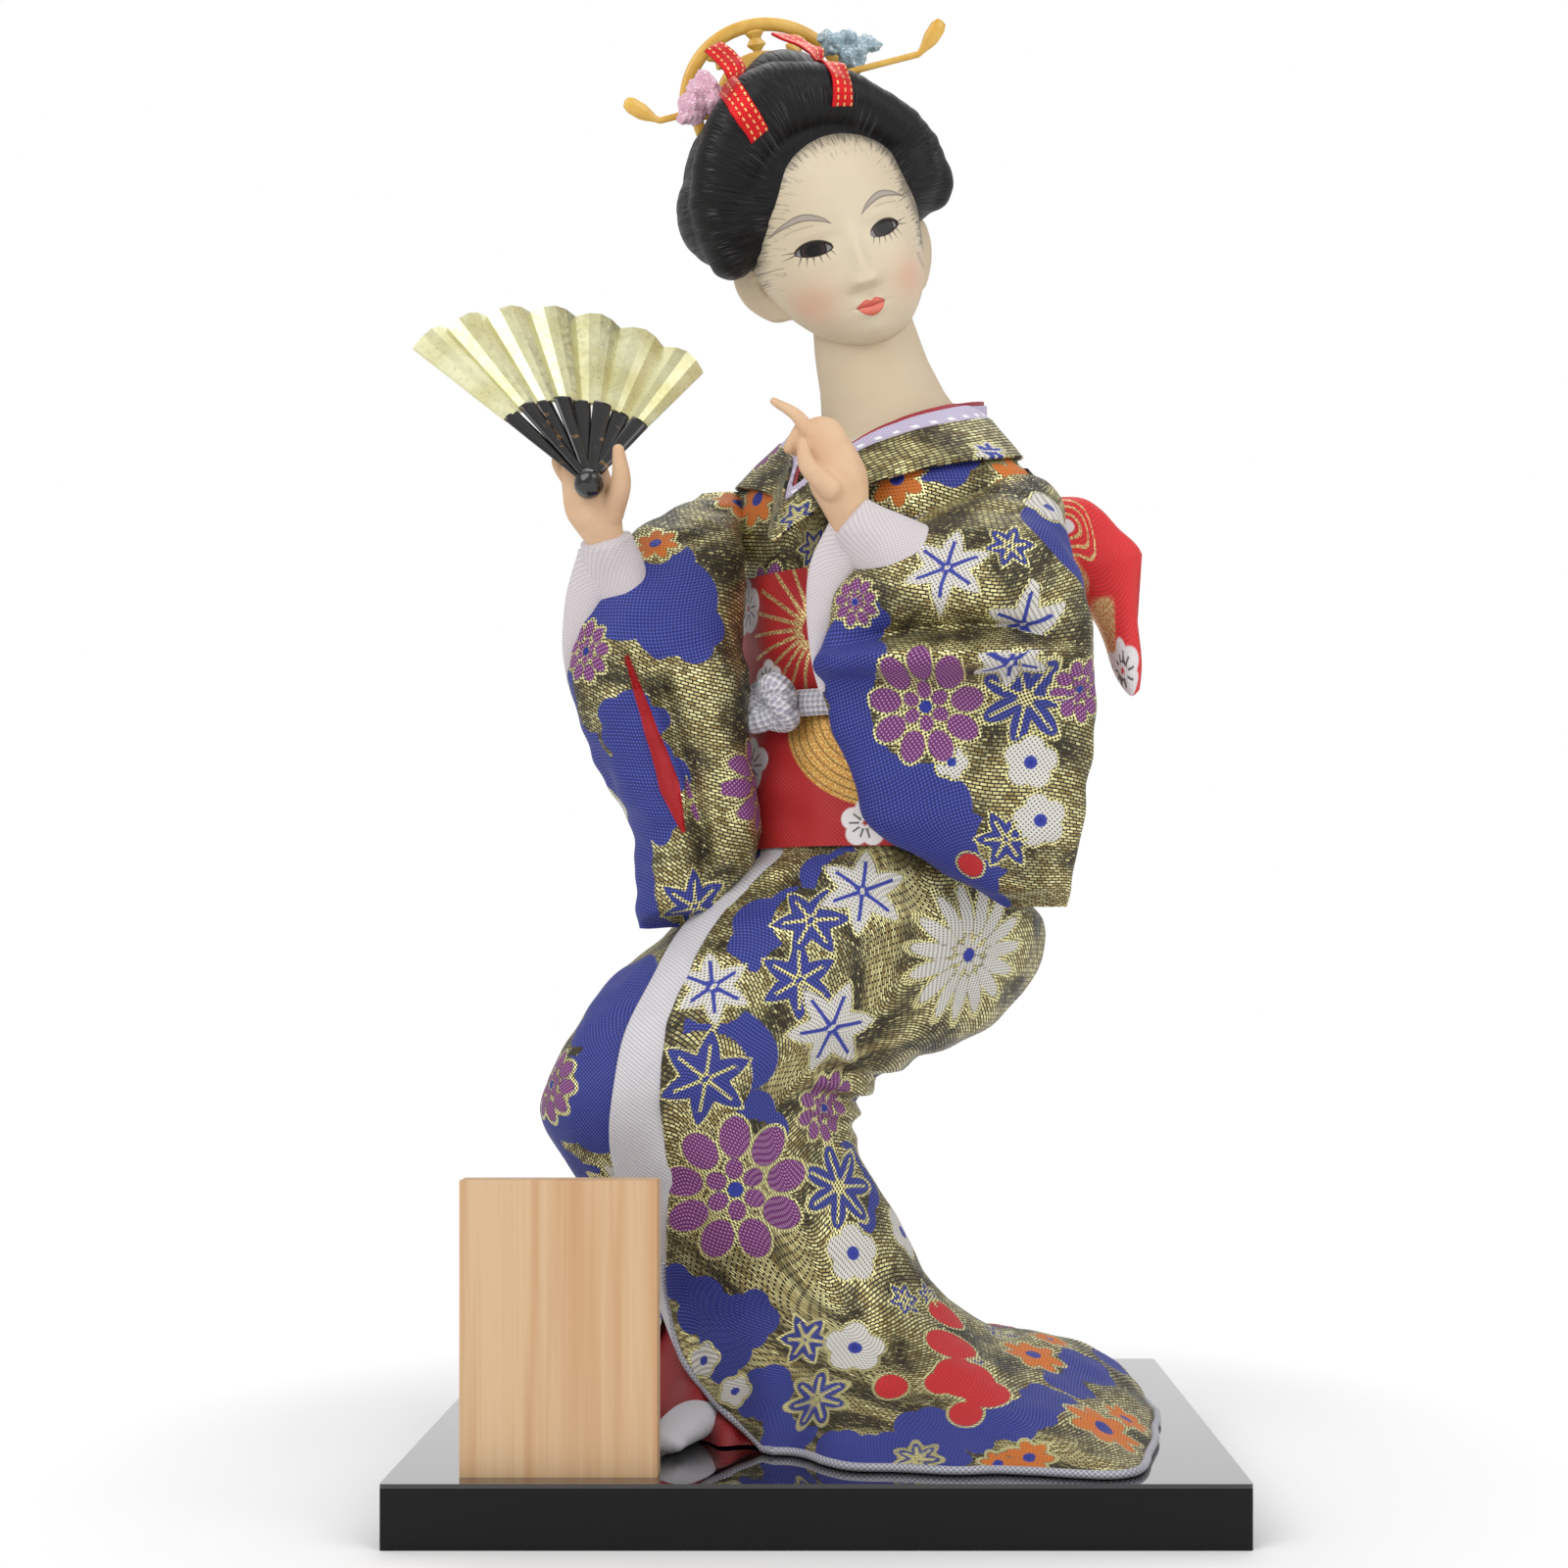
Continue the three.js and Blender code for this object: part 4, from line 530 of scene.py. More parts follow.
class Brocade:
    """Woven silk with gold lamé dashes over a black ground and coloured motifs with gold outlines."""

    LAYERS = ("blue", "white", "violet", "orange", "red")
    EDGE = 0.14
    OUTLINE = 0.36
    DASH_LENGTH = 1.5
    DASH_PITCH = 0.7
    DASH_GAP = 0.14
    THREAD = 0.5

    def material(self, name: str, twill: float) -> Material:
        """Builds the material.

        Args:
            name: Name of the material.
            twill: Direction of the gold dashes, in degrees.

        Returns:
            The material, which reads the motif fields of the piece.
        """
        s = Shader(name)
        uv = s.cloth()
        thread = s.weave(s.turned(uv, (1, 1, 1), 38), self.THREAD)
        dash = self._dashes(s, uv, twill)
        # The gold gets painted dark reflection in drifts, with painted glints left in spots.
        gold = self._dark_reflection(s, uv, dash.outputs["Color"])
        shades = self._shades(s, uv, thread, twill)
        stitch = s.mix(s.step(thread, 0.3, 0.6), OLIVE, GOLD_BRIGHT)
        gold_here = s.inside("gold", self.EDGE)
        colour = s.mix(gold_here, shades["blue"], gold)
        metal = s.times(gold_here, s.minus(1.0, dash.outputs["Fac"]))
        for layer in self.LAYERS:
            away = s.field(layer)
            ring = s.line(s.minus(away, self.OUTLINE), 0.16, 0.34)
            here = s.step(away, -self.EDGE, self.EDGE, 1.0, 0.0)
            colour = s.mix(here, s.mix(ring, colour, stitch), shades[layer])
            metal = s.times(s.most(metal, ring), s.minus(1.0, here))
        vein = s.line(s.field("vein"), 0.24, 0.5)
        colour = s.mix(vein, colour, BLUE)
        seam = s.line(s.field("seam"), 0.2, 0.46)
        colour = s.mix(seam, colour, stitch)
        lining = s.inside("lining", self.EDGE)
        colour = s.mix(lining, colour, ink(176, 16, 26))
        relief = s.plus(s.times(dash.outputs["Fac"], -0.7), s.times(thread, 0.35))
        return s.finish(
            {
                "Base Color": colour,
                "Metallic": s.times(s.most(metal, seam), 0.6),
                "Roughness": s.step(metal, 0.0, 1.0, 0.62, 0.3),
                "Normal": s.bump(relief, 0.16),
                "Sheen Weight": 0.05,
            }
        )

    def _dashes(self, s: Shader, uv: Socket, twill: float) -> bpy.types.Node:
        """Adds the floats of gold thread, each bright or dim gold at random: painted glints that stand in
        for light caught by dashes at different tilts.
        """
        inputs = {
            "Vector": s.turned(uv, (1, 1, 1), twill),
            # Bright and dim gold per dash are painted glints.
            "Color1": GOLD_BRIGHT,
            "Color2": GOLD_DIM,
            "Mortar": OLIVE,
            "Scale": 1.0,
            "Mortar Size": self.DASH_GAP,
            "Mortar Smooth": 0.2,
            "Bias": -0.1,
            "Brick Width": self.DASH_LENGTH,
            "Row Height": self.DASH_PITCH,
        }
        return s.node("ShaderNodeTexBrick", inputs)

    @staticmethod
    def _dark_reflection(s: Shader, uv: Socket, gold: Socket) -> Socket:
        """Darkens the gold in drifts with painted dark reflection, as where it would mirror dark
        surroundings, and leaves painted glints in spots.
        """
        # Painted dark reflection in drifts; the sparkle spots keep painted glints.
        drift = s.step(s.noise(uv, 0.07, 2.0), 0.42, 0.62, 0.05, 0.92)
        sparkle = s.step(s.noise(uv, 0.9, 2.0), 0.54, 0.64, 1.0, 0.25)
        return s.mix(s.times(drift, sparkle), gold, ink(30, 23, 12))

    def _shades(self, s: Shader, uv: Socket, thread: Socket, twill: float) -> dict[str, Socket]:
        """Adds the colour of each layer with its own threads."""
        dots = s.weave(s.turned(uv, (1, 1, 1), twill), self.THREAD)
        blue = s.mix(s.step(thread, 0.1, 0.7), DEEP_BLUE, BLUE)
        olive = s.step(thread, 0.05, 0.4, 0.6, 0.0)
        return {
            "blue": s.mix(s.step(thread, 0.78, 0.98, 0.0, 0.6), blue, BLUE_GLINT),
            "white": s.mix(s.step(dots, 0.6, 0.84), WHITE_SILK, WHITE_DIM),
            "violet": s.mix(s.step(dots, 0.62, 0.88, 0.0, 0.8), VIOLET, VIOLET_GLINT),
            "orange": s.mix(olive, ORANGE, OLIVE),
            "red": s.mix(olive, RED, OLIVE),
        }


@dataclass(frozen=True)
class Weave:
    """Plain woven cloth of one colour."""

    colour: Colour
    shade: Colour
    pitch: float = 0.36
    roughness: float = 0.62
    relief: float = 0.08
    sheen: float = 0.2

    def material(self, name: str) -> Material:
        """Builds the material with its threads and a slight drift of tone."""
        s = Shader(name)
        uv = s.cloth()
        thread = s.weave(uv, self.pitch)
        drift = s.noise(uv, 0.12, 3.0)
        colour = s.mix(s.step(thread, 0.0, 1.0), self.shade, self.colour)
        colour = s.mix(s.step(drift, 0.4, 0.8, 0.0, 0.3), colour, self.shade)
        return s.finish(
            {
                "Base Color": colour,
                "Roughness": self.roughness,
                "Normal": s.bump(thread, self.relief),
                "Sheen Weight": self.sheen,
            }
        )


@dataclass(frozen=True)
class Gloss:
    """Smooth hard material with a faint mottle and fine scratches."""

    colour: Colour
    mottle: Colour
    roughness: float
    coat: float = 0.0
    scale: float = 180.0
    relief: float = 0.02
    metal: float = 0.0
    shine: float = 0.5

    def material(self, name: str) -> Material:
        """Builds the material."""
        s = Shader(name)
        place = s.place()
        cloud = s.noise(place, self.scale, 4.0)
        fine = s.noise(place, self.scale * 9, 2.0)
        return s.finish(
            {
                "Base Color": s.mix(s.step(cloud, 0.35, 0.75), self.colour, self.mottle),
                "Roughness": s.step(cloud, 0.2, 0.8, self.roughness * 0.85, self.roughness * 1.2),
                "Coat Weight": self.coat,
                "Coat Roughness": min(0.05, self.roughness),
                "Metallic": self.metal,
                "Specular IOR Level": self.shine,
                "Normal": s.bump(fine, self.relief),
            }
        )


def dressed(piece: Piece, material: Material, body: str, slot: str, *nodes: str) -> Piece:
    """Gives a piece its material and the body it rides on, and hides the CAD nodes that it stands for."""
    piece.data.materials.clear()
    piece.data.materials.append(material)
    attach(piece, body)
    if nodes:
        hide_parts(*nodes)
    faces = piece.data.polygons
    area = sum(face.area for face in faces) * SQUARE_CM
    LOG.info("made %s with %d faces, %.1f square cm", piece.name, len(faces), area)
    return piece


# Woven motifs


class Motif(Enum):
    """Figures that the brocade is woven with."""

    PLUM = "plum"
    WHITE_LEAF = "white leaf"
    BLUE_LEAF = "blue leaf"
    PEONY = "peony"
    CHRYSANTHEMUM = "chrysanthemum"
    BLOSSOM = "blossom"
    SPRAY = "spray"
    BERRY = "berry"
    GOLD_CLOUD = "gold cloud"
    BLUE_CLOUD = "blue cloud"


@dataclass(frozen=True)
class Spot:
    """One motif, placed as seen from the front: across and height in millimetres."""

    motif: Motif
    across: float
    height: float
    size: float
    turn: float = 0.0


def placed_at(motif: Motif, *places: Numbers) -> list[Spot]:
    """Gives one motif several places, each of them across, height, size and perhaps a turn."""
    return [Spot(motif, *place) for place in places]


class Pattern:
    """Weaves motifs into a surface as fields that its material reads."""

    NAMES = ("gold", "blue", "white", "violet", "orange", "red", "vein", "seam", "lining")
    SCATTERED = (
        (Motif.WHITE_LEAF, 1.0), (Motif.PLUM, 0.7), (Motif.BLUE_LEAF, 1.0), (Motif.PEONY, 1.3),
        (Motif.BLOSSOM, 0.8), (Motif.PLUM, 0.7), (Motif.CHRYSANTHEMUM, 1.4), (Motif.BERRY, 0.35),
    )
    ROOM = 0.3
    # Layer, size of the eye and rings of petals: count, reach, half width, half length and turn
    FLOWERS = {
        Motif.PLUM: ("white", 0.18, (5, 0.55, 0.45, 0.45)),
        Motif.PEONY: ("violet", 0.08, (9, 0.73, 0.21, 0.28), (6, 0.29, 0.12, 0.14, 0.4)),
        Motif.CHRYSANTHEMUM: ("white", 0.08, (15, 0.66, 0.105, 0.36), (8, 0.2, 0.06, 0.1, 0.2)),
        Motif.BLOSSOM: ("orange", 0.2, (7, 0.6, 0.24, 0.4)),
    }
    SPRAY = (7, 0.58, 0.2, 0.42)
    LOBES = (5, 0.5, 0.5, 0.5)

    def __init__(self, surface: Surface, ground: Array) -> None:
        """Starts with the ground.

        Args:
            surface: The cloth.
            ground: Below 0 where the ground is gold, above where it is blue.
        """
        self.surface = surface
        self.normal = surface.normals()
        self.fields = {name: np.full(surface.points.shape[:2], FAR) for name in self.NAMES}
        self.fields["gold"] = ground

    def add(self, spots: Sequence[Spot]) -> "Pattern":
        """Weaves in motifs in order, as they are seen straight from the front."""
        return self._set(spots, self.surface.points[..., [0, 2]], self.normal[..., 1] < -0.1)

    def seen(self, spots: Sequence[Spot]) -> "Pattern":
        """Weaves in motifs where the camera sees them, measured on the plane y = 0."""
        sight = self.surface.points - EYE
        shown = EYE[[0, 2]] + sight[..., [0, 2]] * (-EYE[1] / sight[..., 1:2])
        return self._set(spots, shown, (self.normal * unit(sight)).sum(axis=-1) < -0.02)

    def _set(self, spots: Sequence[Spot], shown: Array, facing: Array) -> "Pattern":
        """Weaves each motif in round the facing point that shows nearest its place."""
        hidden = np.where(facing, 0.0, HIDDEN)
        for spot in spots:
            away = ((shown - (spot.across, spot.height)) ** 2).sum(axis=-1) + hidden
            self._weave(spot.motif, np.unravel_index(np.argmin(away), away.shape), spot.size, spot.turn)
        return self

    def scatter(self, count: int, seed: int, size: float, clear: float) -> "Pattern":
        """Weaves in motifs where there is room for them.

        Args:
            count: How many places are tried.
            seed: Picks one of many layouts.
            size: Radius of a middling motif.
            clear: Distance kept from motifs that are there.

        Returns:
            The pattern itself.
        """
        draw = np.random.default_rng(seed)
        rows, columns = self.surface.points.shape[:2]
        for index in range(count):
            place = (int(draw.integers(2, rows - 2)), int(draw.integers(2, columns - 2)))
            turn = float(draw.uniform(0, 360))
            near = np.linalg.norm(self.surface.points - self.surface.points[place], axis=-1) < clear
            motif, scale = self.SCATTERED[index % len(self.SCATTERED)]
            if min(float(self.fields[name][near].min()) for name in Brocade.LAYERS) > self.ROOM:
                self._weave(motif, place, size * scale, turn)
        return self

    def _weave(self, motif: Motif, place: tuple[int, int], size: float, turn: float) -> None:
        """Writes one motif into the fields round a point of the cloth."""
        points = self.surface.points
        out = self.normal[place]
        side = np.cross((0.0, 0.0, 1.0), out)
        side = side / max(np.linalg.norm(side), 1e-6)
        top = np.cross(out, side)
        step = points - points[place]
        near = (np.linalg.norm(step, axis=-1) < size * 1.7) & (self.normal @ out > 0.15)
        a, b = step[near] @ side / size, step[near] @ top / size
        distance = np.hypot(a, b)
        angle = np.arctan2(b, a) - math.radians(turn)
        for name, values in self._figure(motif, distance, angle).items():
            old = self.fields[name][near]
            if name == "gold" and motif is Motif.BLUE_CLOUD:
                self.fields[name][near] = np.maximum(old, -values * size)
            elif name in ("vein", "seam"):
                self.fields[name][near] = np.where(values < 5, values * size, old)
            else:
                self.fields[name][near] = np.minimum(old, values * size)
        if motif not in (Motif.BLUE_CLOUD, Motif.GOLD_CLOUD):
            gold = self.fields["gold"][near]
            bed = np.minimum(gold, (distance - 1.08) * size)
            self.fields["gold"][near] = np.where(distance < 1.0, bed, gold)

    @staticmethod
    def petals(
        away: Array, angle: Array, count: int, reach: float, wide: float, long: float, start: float = 0.0
    ) -> Array:
        """Gives the distance to the nearest of a ring of oval petals."""
        step = 2 * math.pi / count
        slip = np.mod(angle - start + step / 2, step) - step / 2
        a, b = away * np.cos(slip) - reach, away * np.sin(slip)
        return (np.hypot(a / long, b / wide) - 1.0) * min(wide, long)

    @staticmethod
    def _dot(distance: Array, radius: float) -> Array:
        """Gives a filled dot in the middle, as a line of no width."""
        return np.where(distance < radius + 0.2, np.maximum(distance - radius, 0.0), FAR)

    def _figure(self, motif: Motif, distance: Array, angle: Array) -> Fields:
        """Gives the fields of a motif of radius 1.

        Args:
            motif: Which figure.
            distance: Distance of each point from the middle.
            angle: Direction of each point from the middle.

        Returns:
            Values by field name, below 0 inside the figure.
        """
        point = np.abs(np.mod(angle * 6 / (2 * math.pi), 1.0) - 0.5) * 2
        star = (distance - (0.5 + 0.5 * point**1.3)) * 0.7
        ray = np.where((distance < 0.74) & (distance > 0.05), distance * np.sin(3 * angle) / 3, FAR)
        if motif in self.FLOWERS:
            layer, eye, *rings = self.FLOWERS[motif]
            petals = [self.petals(distance, angle, *ring) for ring in rings]
            return {layer: np.minimum.reduce(petals), "vein": self._dot(distance, eye)}
        if motif is Motif.WHITE_LEAF:
            return {"white": star, "vein": ray}
        if motif is Motif.BLUE_LEAF:
            return {"blue": star, "seam": ray}
        if motif is Motif.SPRAY:
            rib = np.where((distance < 0.9) & (distance > 0.1), distance * np.sin(3.5 * angle) / 3.5, FAR)
            return {"blue": self.petals(distance, angle, *self.SPRAY), "seam": np.abs(rib)}
        if motif is Motif.BERRY:
            return {"red": distance - 1.0}
        return {"gold": np.minimum(self.petals(distance, angle, *self.LOBES), distance - 0.7)}


# Kimono


class Torso:
    """Cross-sections of the clothed trunk: height, centre x and y, half length, half width, turn."""

    ROWS = (
        (118, 6, 2, 23.5, 16.5, -28), (150, 7, 1, 24, 17, -30), (172, 8.5, 0.5, 27.5, 18, -32),
        (183, 10, 1, 34, 18.5, -32), (191, 11, 1.5, 36, 18, -32), (198, 12.5, 2.5, 29.5, 17, -30),
        (204, 14.5, 3.6, 22.5, 16.2, -25), (208, 15.2, 4, 18.6, 16, -15),
    )

    @classmethod
    def surface(cls, low: float, high: float, rows: int, columns: int, offset: float) -> Surface:
        """Gives the trunk between two heights, moved outwards by an offset."""
        return ringed(cls.ROWS, np.linspace(low, high, rows), columns, offset)

    @classmethod
    def outside(cls, points: Array, clear: float) -> Array:
        """Moves points that lie within the trunk, or closer to it than a clearance, straight outwards."""
        rows = rows_at(cls.ROWS, points.reshape(-1, 3)[:, 2])
        away = points.reshape(-1, 3)[:, :2] - rows[:, 1:3]
        angle = np.arctan2(away[:, 1], away[:, 0]) - np.radians(rows[:, 5])
        reach = ellipse_reach(rows[:, 3], rows[:, 4], angle) + clear
        grow = np.maximum(reach / np.maximum(np.linalg.norm(away, axis=1), 0.1), 1.0)
        moved = rows[:, 1:3] + away * grow[:, None]
        return np.column_stack([moved, points.reshape(-1, 3)[:, 2]]).reshape(points.shape)


def ellipse_reach(length: Array, width: Array, angle: Array) -> Array:
    """Gives the distance from the middle of an ellipse to its edge in a direction."""
    return length * width / np.hypot(width * np.cos(angle), length * np.sin(angle))


def ringed(table: Points, heights: Array, columns: int, offset: float = 0.0) -> Surface:
    """Stacks turned ellipses from a table into a tube.

    Args:
        table: Rows of height, centre x and y, half length, half width and turn in degrees.
        heights: Heights of the rings.
        columns: Points round each ring.
        offset: Distance added to both half sizes.

    Returns:
        The tube, whose seam is at the back.
    """
    rows = rows_at(table, heights)
    angle = np.linspace(0.5 * math.pi, 2.5 * math.pi, columns)[None, :]
    turn = np.radians(rows[:, 5:6])
    reach = ellipse_reach(rows[:, 3:4] + offset, rows[:, 4:5] + offset, angle - turn)
    x, y = rows[:, 1:2] + reach * np.cos(angle), rows[:, 2:3] + reach * np.sin(angle)
    return Surface(np.stack([x, y, np.broadcast_to(heights[:, None], x.shape)], axis=-1), wrap=True)


class SkirtForm:
    """The swaying skirt, from the waist down to the train that spreads on the base."""

    ROWS = (
        (0, 4, -2, 40, 32, -10), (8, 2, -2, 34, 26, -10), (18.7, -3, 0, 30, 22, 0),
        (29, -8.5, -2, 29, 19.5, 0), (47.4, -19, -6, 30.2, 18.5, 10), (55.6, -23.3, -8, 30.5, 19, 15),
        (63.8, -25, -9, 32.5, 20, 20), (70, -21.3, -7, 35.5, 22, 25), (80, -7, -1, 46, 24, 28),
        (90.4, 1, 3, 47.5, 25.5, 26), (102.7, 8.5, 5, 39.5, 26, 20), (110.5, 7.5, 4, 31, 23, 0),
        (117.5, 6, 2, 25.5, 18.5, -25),
    )
    HEM = (
        (68, 2), (60, 30), (28, 41), (-38, 38), (-78, 16), (-56, -10), (-36, -22), (-14, -34),
        (4, -50), (30, -56), (55, -58), (65, -30),
    )
    FLARE_TOP = 34.0
    FLARE_POWER = 2.4
    PUFF_TOP = 17.0
    PUFF_WAY = math.radians(16)
    PUFF_WIDE = 0.55
    LIFT = 0.4
    TOP = 117.5
    EDGE = (
        (0, -8.5, 0.8), (12, -24.6, 1.2), (24, -29.8, 2.6), (36, -30.2, 7.5), (49, -29.6, 10),
        (59, -30.2, 10.5), (70, -30.5, 9), (80, -29.5, 8), (90, -26.5, 6.5), (104, -19.5, 6),
        (116, -7, 5),
    )
    SEAM = math.radians(8)
    TUCK = 2.6

    def __init__(self) -> None:
        """Draws the outline of the hem."""
        self.hem = smooth_line(self.HEM, 240, closed=True)

    def heights(self, count: int, top: float) -> Array:
        """Gives heights that are closest together at the hem, where the cloth lies flat."""
        return self.LIFT + (top - self.LIFT) * np.linspace(0, 1, count) ** 1.45

    def at(self, heights: Array, angles: Array, offset: float) -> Array:
        """Gives points of the skirt.

        Args:
            heights: One height for each row.
            angles: Directions from the middle, rows by columns.
            offset: Distance outside the main layer of cloth.

        Returns:
            Points, rows by columns.
        """
        rows = rows_at(self.ROWS, heights)
        points = np.empty((*angles.shape, 3))
        for index, (height, x, y, length, width, turn) in enumerate(rows):
            angle = angles[index]
            reach = ellipse_reach(length, width, angle - math.radians(turn))
            if height < self.FLARE_TOP:
                way = np.arctan2(self.hem[:, 1] - y, self.hem[:, 0] - x)
                order = np.argsort(way)
                far = np.hypot(self.hem[:, 0] - x, self.hem[:, 1] - y)[order]
                signed = np.mod(angle + math.pi, 2 * math.pi) - math.pi
                spread = (1 - height / self.FLARE_TOP) ** self.FLARE_POWER
                puff = math.sqrt(max(1 - (height / self.PUFF_TOP) ** 2, 0.0))
                spread = spread + max(puff - spread, 0.0) * bell(signed, self.PUFF_WAY, self.PUFF_WIDE)
                wide = np.interp(signed, way[order], far, period=2 * math.pi)
                corner = 1 - 0.85 * bell(signed, 0.0, 0.7)
                fold = corner * (1.6 * np.cos(9 * angle) + 1.1 * np.cos(17 * angle + 1.3))
                reach = reach + (wide - reach) * spread + fold * spread
            reach = reach + offset - self.TUCK * ease(height, 112, 118.5)
            across, deep = x + reach * np.cos(angle), y + reach * np.sin(angle)
            points[index] = np.stack([across, deep, np.full_like(angle, height)], axis=-1)
        return points

    def front_angle(self, heights: Array, across: Array) -> Array:
        """Finds the direction in which the front of the skirt has a given x at each height."""
        tries = np.linspace(math.pi * 1.02, math.pi * 1.75, 260)
        points = self.at(heights, np.broadcast_to(tries, (len(heights), len(tries))), 0.0)
        found = []
        for x, row in zip(across, points):
            order = np.argsort(row[:, 0])
            found.append(np.interp(x, row[order, 0], tries[order]))
        return np.array(found)


def waist_folds(points: Array) -> Array:
    """Gives the soft unevenness of hanging brocade at each point, in millimetres."""
    return 0.45 * ripple(points * (1, 1, 0.55), 26, 4) + 0.2 * ripple(points, 9, 5)


class Skirt:
    """Skirt of the kimono: under-lap, over-lap, silver lapel, hem piping and red under-skirt."""

    # Height up to which the silver piping climbs the front edge
    PIPED = 34
    FRONT = (
        *placed_at(Motif.BLUE_CLOUD, (-8, 100, 11), (4, 110, 9), (-14, 60, 9), (6, 48, 10)),
        *placed_at(Motif.WHITE_LEAF, (8.5, 108.2, 9.2, 20)),
        *placed_at(Motif.BLUE_LEAF, (-1.7, 102.4, 7.8, 5), (-3.8, 90.6, 8.0, 30)),
        *placed_at(Motif.WHITE_LEAF, (2.4, 81.0, 9.6, 10), (-20.6, 88.9, 7.8, 35)),
        *placed_at(Motif.BLUE_LEAF, (-22.0, 71.0, 9.4, 22)),
        *placed_at(Motif.CHRYSANTHEMUM, (30.2, 95.2, 14.0, 8)),
        *placed_at(Motif.PEONY, (-16.5, 49.0, 14.5, 12), (1.0, 65.0, 6.5, 0)),
        *placed_at(Motif.SPRAY, (4.0, 48.5, 8.5, 0)),
        *placed_at(Motif.PLUM, (6.6, 35.5, 5.8, 15), (17.0, 38.0, 5.6, 40)),
    )
    TRAIN = (
        *placed_at(
            Motif.BLUE_CLOUD, (-30.1, 27.0, 5), (-24.5, 22.1, 7), (-14.8, 19.7, 6), (-20.4, 12.4, 6.5),
            (-11.5, 4.3, 6.5), (-6.7, -4.6, 6), (3.1, -8.7, 6), (12.8, -8.7, 6), (22.5, -3.8, 7),
            (31.4, -4.6, 6), (40.3, -1.4, 6.5), (48.4, 2.7, 6.5), (55.7, 9.9, 7), (27.3, -9.5, 4),
            (44.4, 0.5, 5.5), (51.5, 6.0, 6), (60.5, 10.5, 5),
        ),
        *placed_at(Motif.BLUE_LEAF, (-3.4, 15.2, 5.2, 0)),
        *placed_at(Motif.PLUM, (-24.5, 10.8, 3.4, 20), (-18.0, 4.3, 3.2, 0), (7.1, 13.6, 6.0, 10)),
        *placed_at(Motif.SPRAY, (-1.0, 2.7, 5.8, 0)),
        *placed_at(
            Motif.BERRY, (14.8, 5.1, 3.2, 0), (26.1, 20.5, 4.2, 0), (27.3, 14.0, 5.2, 0),
            (30.2, 7.5, 6.0, 0), (24.9, 5.9, 3.0, 0), (34.6, 4.3, 4.6, 0), (30.2, -0.2, 3.2, 0),
        ),
        *placed_at(Motif.BLUE_LEAF, (31.8, 11.2, 2.8, 20)),
        *placed_at(
            Motif.BLOSSOM, (44.3, 12.4, 6.5, 10), (48.4, 15.2, 4.4, 40), (58.9, -3.0, 8.0, 0),
            (63.8, -1.4, 5.0, 30), (43.5, -9.5, 4.6, 0), (37.1, -10.7, 3.2, 20),
        ),
        *placed_at(Motif.BLUE_LEAF, (17.6, 23.3, 3.8, 0), (22.9, 24.1, 3.6, 25), (38.7, 16.4, 4.0, 0)),
        *placed_at(Motif.SPRAY, (20.1, -9.9, 4.0, 0)),
    )
    LEFT = (
        *placed_at(Motif.BLUE_CLOUD, (-46, 67, 11), (-42, 84, 10), (-48, 50, 9)),
        *placed_at(Motif.GOLD_CLOUD, (-51, 77, 4), (-40, 97, 6), (-50, 30, 8)),
        *placed_at(Motif.PEONY, (-53, 70, 7)),
    )

    def __init__(self, form: SkirtForm, brocade: Brocade) -> None:
        """Keeps the shape and the cloth."""
        self.form = form
        self.brocade = brocade

    def build(self) -> None:
        """Makes every layer of the skirt."""
        self._under_lap()
        self._over_lap()
        self._lapel()
        self._under_skirt()

    def _edge(self, heights: Array) -> tuple[Array, Array]:
        """Gives x of the over-lap's edge and the lapel's width at each height."""
        rows = rows_at(self.form.EDGE, heights)
        return rows[:, 1], rows[:, 2]

    def _under_lap(self) -> None:
        """Makes the layer that goes round the back and shows left of the lapel."""
        heights = self.form.heights(210, self.form.TOP + 4)
        edge, width = self._edge(heights)
        start = self.form.front_angle(heights, edge - width * 0.4)
        open_share = ease(heights, 40, 8)
        start = start - 0.55 * open_share * ease(heights, 36, 0)
        end = self.form.SEAM - 0.12
        share = np.linspace(0, 1, 300)[None, :]
        angles = end + (start[:, None] - end) * share
        surface = Surface(self.form.at(heights, angles, -0.2))
        surface = surface.raised(waist_folds(surface.points))
        pattern = Pattern(surface, 5 * ripple(surface.points, 34, 11) + 1.2)
        pattern.add(self.LEFT).seen(self.TRAIN).scatter(46, 21, 8.0, 15.0)
        surface.fields = pattern.fields
        cloth = self.brocade.material("brocade_under_lap", -28)
        piece = dressed(surface.piece("under_lap"), cloth, FIGURE, "brocade", "kimono_skirt")

